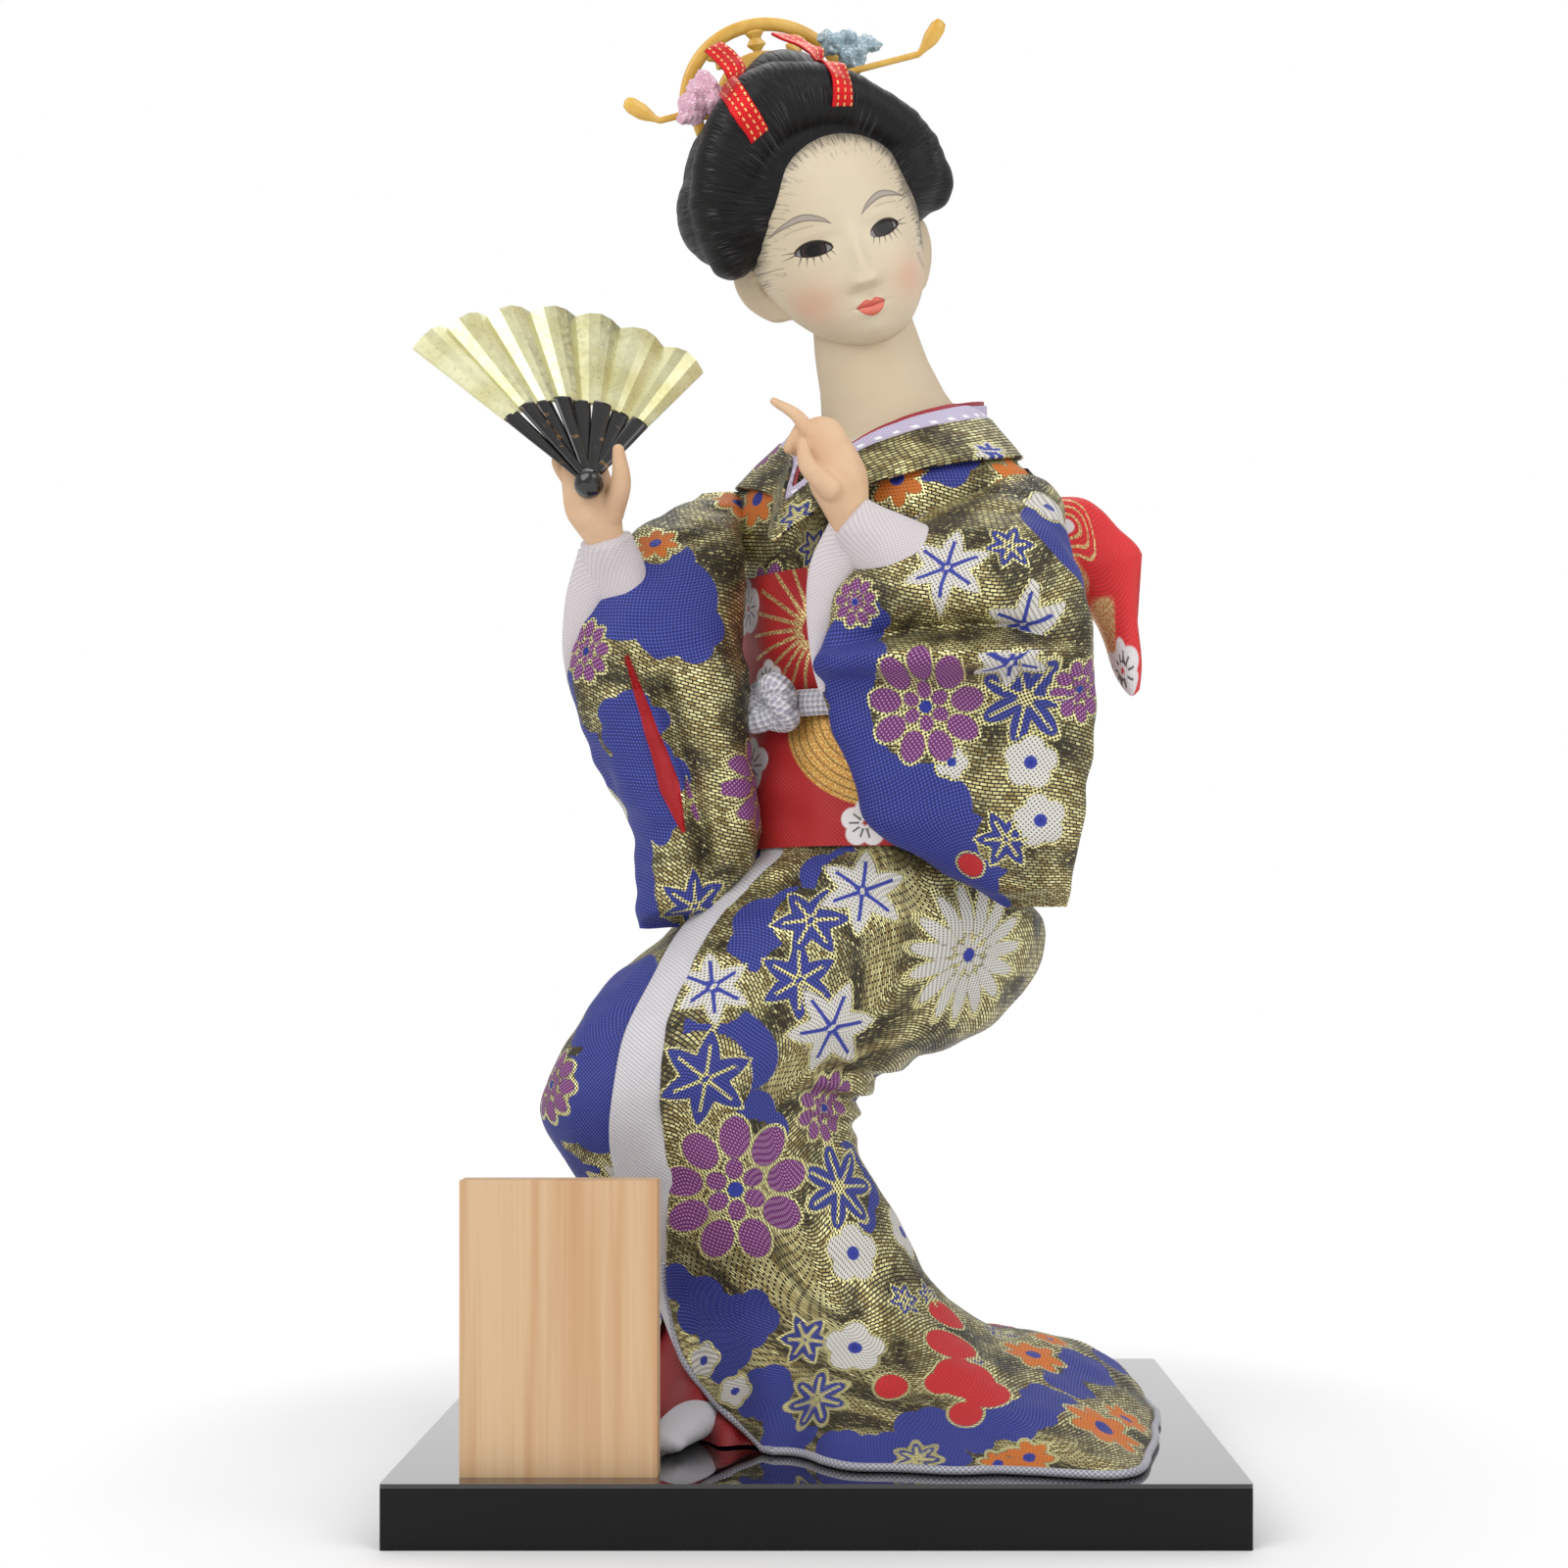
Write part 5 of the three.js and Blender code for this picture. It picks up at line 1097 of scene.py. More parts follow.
    def _over_lap(self) -> None:
        """Makes the front layer with its rolled edge."""
        heights = self.form.heights(250, 120.5)
        edge, _ = self._edge(heights)
        start = self.form.front_angle(heights, edge)
        end = 2 * math.pi + self.form.SEAM + 0.1
        share = np.linspace(0, 1, 300)[None, :]
        angles = start[:, None] + (end - start[:, None]) * share
        surface = Surface(self.form.at(heights, angles, 1.2))
        points = surface.points
        bay = bell(points[..., 2], 66, 7) * ease(points[..., 0], -8, 8)
        crease = 1.3 * bay * np.sin(points[..., 2] * 1.1 + points[..., 0] * 0.25)
        rolled = -0.9 * ease(share, 0.012, 0.0) - 0.9 * ease(share, 0.988, 1.0)
        surface = surface.raised(waist_folds(points) + crease + rolled)
        pattern = Pattern(surface, ripple(surface.points, 40, 12) * 5 - 5.5)
        pattern.add(self.FRONT).seen(self.TRAIN).scatter(26, 33, 6.5, 12.0)
        surface.fields = pattern.fields
        cloth = self.brocade.material("brocade_over_lap", 24)
        piece = dressed(surface.piece("over_lap"), cloth, FIGURE, "brocade", "skirt_overlap")
        climb = surface.points[heights < self.PIPED][::-6, 0]
        hem = smooth_line(np.concatenate([climb, surface.points[0, 3:]]), 320)
        hem[:, 2] = np.maximum(hem[:, 2], 0.9)
        line = tube(hem, 0.8, 10).piece("hem_piping")
        silver = Weave(ink(196, 196, 206), ink(120, 118, 130), 0.5, 0.35)
        dressed(line, silver.material("silver_piping"), FIGURE, "silver_cloth")

    def _lapel(self) -> None:
        """Makes the silver band that turns out along the over-lap's edge."""
        heights = self.form.heights(160, 120)
        heights = heights[heights > 3]
        edge, width = self._edge(heights)
        left = self.form.front_angle(heights, edge - width)
        right = self.form.front_angle(heights, edge + 1.0)
        share = np.linspace(0, 1, 26)[None, :]
        surface = Surface(self.form.at(heights, left[:, None] + (right - left)[:, None] * share, 0.5))
        wave = 0.5 * np.sin(share * math.pi) + 0.25 * ripple(surface.points, 18, 8)
        surface = surface.raised(wave)
        cloth = Weave(ink(226, 223, 226), ink(180, 177, 184), 0.42, 0.38, 0.07, 0.1)
        piece = thickened(surface.piece("lapel"), 0.5)
        dressed(piece, cloth.material("silver_satin"), FIGURE, "silver_cloth", "lapel_lining")

    def _under_skirt(self) -> None:
        """Makes the red layer that shows in the front opening at the hem."""
        heights = self.form.heights(70, 58)
        angles = np.broadcast_to(np.linspace(0.5 * math.pi, 2.5 * math.pi, 200), (70, 200))
        surface = Surface(self.form.at(heights, angles, -2.6), wrap=True)
        x, y, z = np.moveaxis(surface.points, -1, 0)
        inside = ease(self._edge(heights)[0][:, None] - x, 0.5, 4.5)
        surface.points[..., 1] = y - 6.0 * bell(x, -21.5, 6.5) * ease(z, 20, 5) * inside * (y < 0)
        surface = surface.raised(0.4 * ripple(surface.points * (1, 1, 0.3), 12, 19))
        cloth = Weave(ink(178, 12, 24), ink(110, 4, 14), 0.4, 0.42)
        piece = surface.piece("red_under_skirt")
        dressed(piece, cloth.material("red_silk"), FIGURE, "red_satin", "under_skirt")


@dataclass
class Sleeve:
    """One hanging sleeve with its red lining and the white sleeve inside it.

    Args:
        side: right or left, as the doll would say.
        rows: Cross-sections from the bottom of the sleeve to the shoulder.
        flat: Width and length of the sewn bag laid flat, in metres; not used.
        spots: Motifs that the photograph shows.
        brocade: The cloth.
    """

    side: str
    rows: Points
    flat: tuple[float, float]
    spots: Sequence[Spot]
    brocade: Brocade

    def build(self, slit: Points, seed: int) -> None:
        """Makes the sleeve.

        Args:
            slit: Line along which the mouth shows its red lining, or nothing.
            seed: Picks the layout of motifs on the hidden sides.
        """
        low, high = self.rows[0][0], self.rows[-1][0]
        heights = np.linspace(low, high, 220)
        surface = ringed(self.rows, heights, 300)
        points = surface.points
        middle = points.mean(axis=1, keepdims=True)
        close = np.maximum(ease(heights, low + 3.5, low), ease(heights, high - 4, high) * 0.9)
        flat = np.array((0.0, 1.0, 0.0)) * (points - middle) * close[:, None, None]
        points = points - flat * 0.92
        folds = 0.7 * ripple(points * (1, 1, 0.35), 15, seed) + 0.3 * ripple(points, 7, seed + 1)
        folds = folds - self._crease(points)
        surface = Surface(points, wrap=True)
        inside = self._mouth(surface, slit)
        surface = surface.raised(folds - 2.2 * ease(inside, 1.0, -1.2))
        pattern = Pattern(surface, ripple(surface.points, 34, seed + 2) * 5 - 3.0)
        pattern.add(self.spots).scatter(34, seed + 3, 7.0, 12.0)
        pattern.fields["lining"] = inside
        surface.fields = pattern.fields
        name = f"hanging_sleeve_{self.side}"
        cloth = self.brocade.material(f"brocade_{name}", 20)
        piece = dressed(surface.piece(name), cloth, FIGURE, "brocade", f"sleeve_{self.side}")

    def _crease(self, points: Array) -> Array:
        """Gives the depth of the sleeve's crease: under the arm on the left, by the mouth on the right."""
        x, z = points[..., 0], points[..., 2]
        if self.side == "left":
            depth = ease(z, 166, 156.2) * ease(z, 153.2, 155.0) * ease(x, 0, 12) * ease(x, 50, 36)
            return 7.5 * depth - 1.8 * bell(z, 152, 2.6) * ease(x, 50, 36)
        line = np.interp(z, (108, 120, 132, 146, 156), (-22, -23, -26.5, -30.5, -33))
        return 4.0 * bell(x - line, 0, 3.0) * ease(z, 160, 146) * ease(z, 104, 114)

    @staticmethod
    def _mouth(surface: Surface, slit: Points) -> Array:
        """Gives the distance outside the slit that shows the lining, which widens towards its lower end."""
        inside = np.full(surface.points.shape[:2], FAR)
        if slit:
            line = smooth_line(slit, 60)[:, [0, 2]]
            half = np.interp(np.linspace(0, 1, 60), (0, 0.75, 1), (0.5, 2.0, 0.5))
            gap = np.linalg.norm(surface.points[:, :, None, [0, 2]] - line, axis=-1) - half
            inside = np.where(surface.normals()[..., 1] < 0.3, gap.min(axis=2), FAR)
        return inside

    def cuff(self, path: Points, radii: Numbers, edge: Points, widths: Numbers) -> None:
        """Makes the white sleeve, which shows at the wrist and along the mouth of the kimono sleeve.

        Args:
            path: Middle of the forearm, from the wrist inwards.
            radii: Radii along it.
            edge: Line down which the white cloth hangs in the mouth of the sleeve.
            widths: Half widths along it.
        """
        end = tube(smooth_line(path, 60), radii, 48, 0.8, (0.3, 1, 0.1))
        end = end.raised(0.25 * ripple(end.points, 9, 31))
        hanging = tube(smooth_line(edge, 70), widths, 32, 0.3, (0, 1, 0))
        cloth = Weave(ink(222, 213, 215), ink(192, 183, 187), 0.4, 0.7, 0.06)
        material = cloth.material(f"white_weave_{self.side}")
        piece = joined(f"white_cuff_{self.side}", [end.piece("wrist"), hanging.piece("edge")])
        dressed(piece, material, FIGURE, "white_cloth", f"under_sleeve_{self.side}")


LEFT_SLEEVE = (
    (105, 43.3, -21, 6, 4.5, -10), (113.6, 35.6, -23, 15.5, 6, -8), (120, 31, -25, 21.5, 6.5, -6),
    (129, 29.6, -26, 23.4, 7, -4), (138.7, 28.2, -26.5, 25.5, 7.5, -4),
    (146, 27.3, -26.5, 26.4, 8.2, -4), (149.5, 27.2, -27.6, 26.4, 10, -4),
    (152, 27, -29, 26.4, 12.4, -4), (159, 27, -29.5, 26.1, 14.5, -6), (168, 26.9, -27, 24.2, 14.5, -8),
    (176, 28.4, -23, 20.5, 14.5, -12), (183, 34, -17, 15, 13, -25), (190, 38.5, -12, 9.5, 11, -30),
    (195, 37, -11, 5.5, 7, -30),
)
RIGHT_SLEEVE = (
    (101, -29.5, -10, 6.8, 6, 0), (110, -26.6, -10, 10.6, 9, 0), (120, -25.2, -10.5, 13, 11, 0),
    (130, -28, -11, 15.5, 12, 0), (140, -31, -12, 16.8, 12.5, 0), (150, -32.3, -12.5, 18.3, 13, 0),
    (160, -33.1, -12, 17.5, 13, 0), (170, -30.8, -10, 15.7, 13, 0), (180, -28.5, -5, 12.5, 12.5, -10),
    (188, -24.3, 5, 8.2, 9.5, -30), (194, -20.5, 10, 4.5, 6, -30),
)
LEFT_SPOTS = (
    *placed_at(Motif.BLUE_CLOUD, (17, 124, 13), (28, 114, 10), (8, 138, 9), (9, 160, 5)),
    *placed_at(Motif.WHITE_LEAF, (24.4, 169, 8.6, 20), (39.3, 158.5, 8, 0)),
    *placed_at(Motif.BLUE_LEAF, (36.5, 173, 5, 10)),
    *placed_at(Motif.PEONY, (7, 163, 4.5, 10), (20.6, 143.0, 11, 10)),
    *placed_at(Motif.SPRAY, (40.3, 145, 9)),
    *placed_at(Motif.PLUM, (41.2, 132.6, 5.2, 10), (43, 121.3, 5.2, 30), (25.7, 132.6, 3.2)),
    *placed_at(Motif.BLUE_LEAF, (36.5, 117.6, 6)),
    *placed_at(Motif.BERRY, (29.6, 113, 2.6)),
    *placed_at(Motif.PEONY, (50.5, 146.6, 6)),
)
RIGHT_SPOTS = (
    *placed_at(Motif.BLUE_CLOUD, (-33, 168, 13), (-26, 161, 8)),
    *placed_at(Motif.GOLD_CLOUD, (-33, 178, 6)),
    *placed_at(Motif.BLOSSOM, (-33, 178, 4.5)),
    *placed_at(Motif.GOLD_CLOUD, (-44, 146, 8)),
    *placed_at(Motif.PEONY, (-46.5, 156, 6)),
    *placed_at(Motif.BLUE_CLOUD, (-38, 141, 7), (-35, 131, 8), (-33, 122, 5)),
)


class Trunk:
    """Bodice, obi, cord and knot, bow and collars."""

    NECKLINE = (
        (-5, -18, 189), (-3.5, -10, 198), (-2.5, 2, 205.5), (4, 15, 210), (16, 19.5, 211.5),
        (28, 15, 212.5), (32, 3, 211), (25, -9.5, 206.5), (12, -16, 201), (1, -19, 193.5),
    )
    SPOTS = (
        *placed_at(Motif.BLOSSOM, (-19.9, 181.8, 7, 10), (-13, 190.6, 6, 0)),
        *placed_at(Motif.BLUE_LEAF, (-1.3, 178, 4)),
        *placed_at(Motif.BLOSSOM, (15.4, 190.6, 6, 20), (40, 189.6, 6, 40)),
        *placed_at(Motif.BLUE_CLOUD, (25.3, 194.6, 7)),
        *placed_at(Motif.PLUM, (33, 199, 5)),
    )

    BODICE_LOW = 166.0
    BODICE_HIGH = 207.5
    # Lower and upper edges of the sash and of the cord
    OBI = (117.4, 173.5)
    CORD = (143.6, 149.0)
    # Middle height of the cord, and the turn of its knot round the waist
    CORD_HEIGHT = 146.3
    KNOT_WAY = math.radians(-138)
    # Height and turn round the waist of the bow's middle, and its distance behind the back
    BOW_HEIGHT = 165.0
    BOW_WAY = math.radians(58)
    BOW_AWAY = 6.5
    # Rows of a bow wing: distance from the middle, half height, half thickness and rise
    WING = (
        (1, 7, 4, 3), (11, 13.5, 6, 8), (23, 15.5, 6.5, 12.5), (31, 13.5, 6, 16), (36, 11.5, 5.5, 17.5),
        (40.4, 14, 5, 12), (44, 15.8, 4.4, 6.5), (46.5, 16.5, 3.2, 3), (48, 14.5, 1.2, 2),
    )

    def __init__(self, brocade: Brocade) -> None:
        """Keeps the cloth."""
        self.brocade = brocade

    def build(self) -> None:
        """Makes the pieces round the trunk."""
        self._bodice()
        self._obi()
        self._cord()
        self._bow()
        self._collars()

    def _bodice(self) -> None:
        """Makes the kimono's upper part over the chest and shoulders."""
        surface = self._cut_to_neck(Torso.surface(self.BODICE_LOW, self.BODICE_HIGH, 130, 300, 0.0))
        surface = surface.raised(0.4 * ripple(surface.points, 12, 41))
        pattern = Pattern(surface, ripple(surface.points, 30, 42) * 5 - 4.0)
        pattern.add(self.SPOTS).scatter(30, 43, 6.5, 12.0)
        surface.fields = pattern.fields
        cloth = self.brocade.material("brocade_bodice", 12)
        piece = dressed(surface.piece("bodice_cloth"), cloth, FIGURE, "brocade", "bodice")

    def _cut_to_neck(self, whole: Surface) -> Surface:
        """Cuts the top of the bodice along the neckline, which dips at the front."""
        line = smooth_line(self.NECKLINE, 160, closed=True)
        heart = line[:, :2].mean(axis=0)
        way = np.arctan2(*(line[:, :2] - heart).T[::-1])
        order = np.argsort(way)
        angle = np.arctan2(*(whole.points[-1, :, :2] - heart).T[::-1])
        top = np.interp(angle, way[order], line[order, 2], period=2 * math.pi) - 2.5
        top = np.minimum(top, self.BODICE_HIGH)
        share = np.linspace(0, 1, len(whole.points))[:, None]
        z = self.BODICE_LOW + (top - self.BODICE_LOW) * share
        points = np.empty_like(whole.points)
        for column, axis in itertools.product(range(z.shape[1]), (0, 1)):
            x_or_y, up = whole.points[:, column, axis], whole.points[:, column, 2]
            points[:, column, axis] = np.interp(z[:, column], up, x_or_y)
        points[..., 2] = z
        return Surface(points, wrap=True)

    def _obi(self) -> None:
        """Makes the sash that is wound round the waist."""
        surface = Torso.surface(*self.OBI, 200, 320, 2.0)
        points = surface.points
        crease = 0.5 * ripple(points * (0.4, 0.4, 1), 8, 51) + 0.3 * ripple(points, 14, 52)
        pinch = -1.4 * bell(points[..., 2], self.CORD_HEIGHT, 5)
        surface = surface.raised(crease + pinch)
        surface.fields = ObiFinish.fields(surface, ObiFinish.SASH)
        cloth = ObiFinish.material("obi_brocade", ObiFinish.SASH_REDS)
        piece = dressed(surface.piece("obi_sash"), cloth, FIGURE, "obi_cloth", "obi")

    def _cord(self) -> None:
        """Makes the flat braided cord and its knot."""
        surface = Torso.surface(*self.CORD, 24, 240, 3.2)
        round_share = np.sin(np.linspace(0, math.pi, 24))[:, None] ** 0.6
        surface = surface.raised(1.2 * round_share - 0.6)
        material = BraidFinish.material()
        dressed(surface.piece("braided_cord"), material, FIGURE, "cord_yarn", "obi_cord")
        way = self.KNOT_WAY
        row = rows_at(Torso.ROWS, np.array([self.CORD_HEIGHT]))[0]
        reach = float(ellipse_reach(row[3] + 5.5, row[4] + 5.5, way - math.radians(row[5])))
        middle = (row[1] + reach * math.cos(way), row[2] + reach * math.sin(way), self.CORD_HEIGHT)
        side = np.array((-math.sin(way), math.cos(way), 0.0))
        out = np.array((math.cos(way), math.sin(way), 0.0))
        loops = []
        turn = np.linspace(0, 2 * math.pi, 60)
        for lean, swell in ((0.5, 1.0), (-0.5, 1.0), (0.0, 0.75)):
            ring = np.cos(turn)[:, None] * (side * 4.6 * swell + np.array((0, 0, lean * 4)))
            ring = np.array(middle) + ring + np.sin(turn)[:, None] * np.array((0, 0, 2.8))
            ring = ring + out * (1.2 * np.sin(2 * turn)[:, None] + 0.8 * lean)
            loops.append(tube(ring, 2.5, 20).piece("loop"))
        dressed(joined("cord_knot", loops), material, FIGURE, "cord_yarn", "obi_knot")

    def _bow(self) -> None:
        """Makes the two padded wings of the bow behind the back and the knot between them."""
        way = self.BOW_WAY
        row = rows_at(Torso.ROWS, np.array([self.BOW_HEIGHT]))[0]
        reach = float(ellipse_reach(row[3], row[4], way - math.radians(row[5]))) + self.BOW_AWAY
        heart = np.array((row[1] + reach * math.cos(way), row[2] + reach * math.sin(way), self.BOW_HEIGHT))
        for side, degrees in (("left", -12), ("right", 128)):
            angle = math.radians(degrees)
            out = np.array((math.cos(angle), math.sin(angle), 0.0))
            thick = np.array((-out[1], out[0], 0.0))
            rows = rows_at(self.WING, np.linspace(1, 48, 120))
            turn = np.linspace(0, 2 * math.pi, 181)
            corner = np.sign(np.cos(turn)) * np.abs(np.cos(turn)) ** 0.8
            points = heart + rows[:, None, :1] * out + thick * (rows[:, 2:3] * corner)[..., None]
            rise = rows[:, 3:4] + rows[:, 1:2] * np.sin(turn)
            points = (points + np.array((0, 0, 1.0)) * rise[..., None])[:, ::-1]
            start = np.broadcast_to(points[:1].mean(axis=1, keepdims=True), points[:1].shape)
            end = np.broadcast_to(points[-1:].mean(axis=1, keepdims=True), points[:1].shape)
            surface = Surface(np.concatenate([start, points, end]), wrap=True)
            pleat = -1.1 * bell(surface.points[..., 2] - surface.points[..., 0] * 0.2, 168, 3.5)
            surface = surface.raised(0.6 * ripple(surface.points, 14, 61) + pleat)
            surface.fields = ObiFinish.fields(surface, ObiFinish.WING)
            cloth = ObiFinish.material(f"bow_brocade_{side}", ObiFinish.WING_REDS_LIT)
            piece = surface.piece(f"bow_loop_{side}")
            dressed(piece, cloth, FIGURE, "obi_cloth", f"bow_wing_{side}")
        clay = Clay()
        clay.ball(heart, (5.5, 5.5, 7.5))
        piece = clay.skin("bow_centre", 0.6, 4)
        satin = Weave(ink(206, 26, 30), ink(156, 12, 18))
        dressed(piece, satin.material("red_satin_knot"), FIGURE, "obi_cloth", "bow_knot")

    def _collars(self) -> None:
        """Makes the three bands round the neck."""
        line = smooth_line(self.NECKLINE, 160, closed=True)
        heart = line[:, :2].mean(axis=0)
        out = np.pad(unit(line[:, :2] - heart), ((0, 0), (0, 1)))
        bands = (
            ("kimono_band", 3.0, 8.6, 1.3, 1.0, "brocade", "kimono_collar"),
            ("lilac_band", 0.0, 7.0, 0.4, 0.6, "lilac", "under_collar"),
            ("red_edge", -0.8, 2.6, -0.5, 0.0, "red_satin", "collar_piping"),
        )
        for name, drop, tall, away, clear, slot, node in bands:
            share = np.linspace(1, 0, 36)[:, None]
            low = drop + tall * share
            lean = away + 0.44 * low
            points = line[None] + out[None] * lean[..., None] - np.array((0, 0, 1.0)) * low[..., None]
            surface = Surface(Torso.outside(points, clear), wrap=True)
            if name == "kimono_band":
                pattern = Pattern(surface, np.full(points.shape[:2], -4.0))
                surface.fields = pattern.scatter(14, 47, 4.0, 9.0).fields
                material = self.brocade.material("brocade_collar", 4)
            elif name == "lilac_band":
                material = self._lilac(tall)
            else:
                material = Weave(ink(190, 20, 42), ink(120, 8, 24), 0.34, 0.5).material("red_edge")
            dressed(thickened(surface.piece(name), 0.6), material, FIGURE, slot, node)

    @staticmethod
    def _lilac(tall: float) -> Material:
        """Builds lilac crepe with a row of white stitches that run along the upper part of the band."""
        s = Shader("lilac_crepe")
        uv = s.cloth()
        across, up, _ = s.parts(uv)
        level = s.line(s.minus(up, tall - 0.9), 0.38, 0.5)
        stitch = s.times(level, s.step(s.wave(across, 2 * math.pi / 4.0), 0.3, 0.5))
        crepe = s.weave(s.turned(uv, (1, 1, 1), 30), 0.42)
        colour = s.mix(s.step(crepe, 0.1, 0.9), ink(164, 152, 184), ink(214, 204, 226))
        colour = s.mix(stitch, colour, ink(246, 244, 248))
        relief = s.bump(s.plus(s.times(crepe, 0.4), stitch), 0.12)
        return s.finish({"Base Color": colour, "Roughness": 0.6, "Normal": relief, "Sheen Weight": 0.2})


class Figure(Enum):
    """Figures on the red sash and its bow."""

    RAYS = "rays"
    CLOUD = "cloud"
    PLUM = "plum"
    BLUSH = "blush"
    FAN = "fan"
    WAVES = "waves"


class ObiFinish:
    """Red satin with gold rays, a gilt fan, waves and plum blossoms."""

    # The sash and the bow are one red cloth: the bow's pair is a lighter copy, painted light for the
    # stronger light on the bow, and each pair's darker red is painted shade in the thread's valleys.
    SASH_REDS = (ink(146, 10, 16), ink(196, 24, 28))
    WING_REDS_LIT = (ink(196, 20, 26), ink(240, 36, 40))

    SASH = (
        (Figure.RAYS, -1, 161, 17), (Figure.CLOUD, 4, 169, 6), (Figure.BLUSH, -18, 158, 7),
        (Figure.PLUM, -15, 167.5, 6), (Figure.PLUM, -11, 152, 4), (Figure.FAN, 1, 136, 14),
        (Figure.PLUM, -14.5, 134.5, 6), (Figure.PLUM, 9, 122, 5), (Figure.CLOUD, 26, 140, 7),
        (Figure.PLUM, 24, 158, 6), (Figure.WAVES, 25, 126, 7),
    )
    WING = (
        (Figure.WAVES, 52, 187, 9), (Figure.CLOUD, 60, 166, 7), (Figure.CLOUD, 55, 176, 4),
        (Figure.PLUM, 64, 156, 5), (Figure.PLUM, 40, 170, 6), (Figure.WAVES, 8, 182, 8),
        (Figure.CLOUD, 0, 168, 7), (Figure.PLUM, -4, 178, 6), (Figure.PLUM, 14, 165, 5),
    )

    @staticmethod
    def fields(surface: Surface, figures: Sequence[tuple[Figure, float, float, float]]) -> Fields:
        """Weaves each figure into the front and the back of a piece.

        Args:
            surface: The cloth.
            figures: Kind, x, height and size of each.

        Returns:
            Values by field name.
        """
        points, spread, facing = surface.points, surface.spread(), surface.normals()[..., 1]
        far = np.full(points.shape[:2], FAR)
        found = {name: far for name in ("gold", "line", "fan", "rib", "bloom", "stamen")}
        found["blush"] = far * 0
        drift = ripple(points, 7, 72)
        for (kind, x, z, size), front in itertools.product(figures, (-1, 1)):
            hidden = np.where(facing * front > 0.1, 0.0, HIDDEN)
            gap = (points[..., 0] - x) ** 2 + (points[..., 2] - z) ** 2 + hidden
            middle = spread[np.unravel_index(np.argmin(gap), gap.shape)]
            across, up = np.moveaxis(spread - middle, -1, 0)
            away, angle = np.hypot(across, up), np.arctan2(up, across)
            if kind is Figure.RAYS:
                here = (away > size * 0.15) & (away < size) & (across < size * 0.3)
                found["line"] = np.where(here, away * np.sin(angle * 11) / 11, found["line"])
            elif kind is Figure.CLOUD:
                found["gold"] = np.minimum(found["gold"], away - size + 1.6 * drift)
            elif kind is Figure.PLUM:
                petals = Pattern.petals(away / size, angle, 5, 0.55, 0.45, 0.45, 0.3) * size
                found["bloom"] = np.minimum(found["bloom"], petals)
                here = (away > size * 0.2) & (away < size * 0.66)
                found["stamen"] = np.where(here, away * np.sin(angle * 5) / 5, found["stamen"])
            elif kind is Figure.BLUSH:
                found["blush"] = np.maximum(found["blush"], bell(away, 0, size))
            elif kind is Figure.FAN:
                arc = np.hypot(across - size * 0.9, up - size * 0.9)
                fan = np.maximum(arc - size * 1.7, np.abs(up) - size * 0.75)
                found["fan"] = np.minimum(found["fan"], fan)
                found["rib"] = np.where(fan < 0, np.abs(np.mod(arc, 1.7) - 0.85), found["rib"])
            else:
                ring = np.where(away < size, np.abs(np.mod(away, 2.2) - 1.1), FAR)
                found["line"] = np.where(away < size, ring, found["line"])
                found["bloom"] = np.minimum(found["bloom"], away - size * 0.22)
        return found

    @staticmethod
    def material(name: str, reds: tuple[Colour, Colour]) -> Material:
        """Builds the material from the red of the thread's valleys, which is painted shade, and of its
        crests.
        """
        s = Shader(name)
        uv = s.cloth()
        thread = s.weave(uv, 0.46)
        grain = s.noise(uv, 2.2, 3.0)
        red = s.mix(s.step(thread, 0.0, 1.0), *reds)
        gold = s.mix(s.step(grain, 0.35, 0.65), ink(146, 98, 44), ink(244, 222, 156))
        amber = s.mix(s.step(grain, 0.4, 0.65), ink(196, 132, 46), ink(232, 198, 120))
        line = s.times(s.line(s.field("line"), 0.22, 0.5), s.step(grain, 0.34, 0.46))
        cloud = s.times(s.step(s.field("gold"), -1.6, 1.2, 1.0, 0.0), s.step(grain, 0.36, 0.5))
        fan = s.inside("fan", 0.25)
        bloom = s.inside("bloom", 0.25)
        colour = s.mix(s.times(s.field("blush"), 0.8), red, ink(228, 110, 118))
        colour = s.mix(fan, colour, amber)
        colour = s.mix(s.line(s.field("rib"), 0.1, 0.3, 0.75), colour, ink(88, 62, 30))
        metal = s.most(line, cloud)
        colour = s.mix(metal, colour, gold)
        colour = s.mix(bloom, colour, ink(232, 226, 226))
        stamen = s.line(s.field("stamen"), 0.1, 0.26, 0.9)
        colour = s.mix(s.times(stamen, bloom), colour, ink(60, 52, 50))
        metal = s.times(s.most(metal, s.times(fan, 0.6)), s.minus(1.0, bloom))
        return s.finish(
            {
                "Base Color": colour,
                "Metallic": s.times(metal, 0.6),
                "Roughness": s.step(metal, 0.0, 1.0, 0.55, 0.34),
                "Normal": s.bump(s.plus(thread, grain), 0.08),
                "Sheen Weight": 0.12,
            }
        )


class BraidFinish:
    """Braided white yarn with a faint lilac tint, and painted shade in the hollows between strands."""

    RATE = 2.6

    @classmethod
    def material(cls) -> Material:
        """Builds the material from two crossing sets of strands."""
        s = Shader("braided_yarn")
        across, up, _ = s.parts(s.cloth())
        plait = s.times(s.wave(s.plus(across, up), cls.RATE), s.wave(s.minus(across, up), cls.RATE))
        # The lilac grey where the strands part is painted shade.
        colour = s.mix(s.step(plait, -0.5, 0.5), ink(184, 180, 198), ink(240, 238, 244))
        relief = s.bump(plait, 0.4)
        return s.finish({"Base Color": colour, "Roughness": 0.6, "Normal": relief, "Sheen Weight": 0.25})


# Head and hair


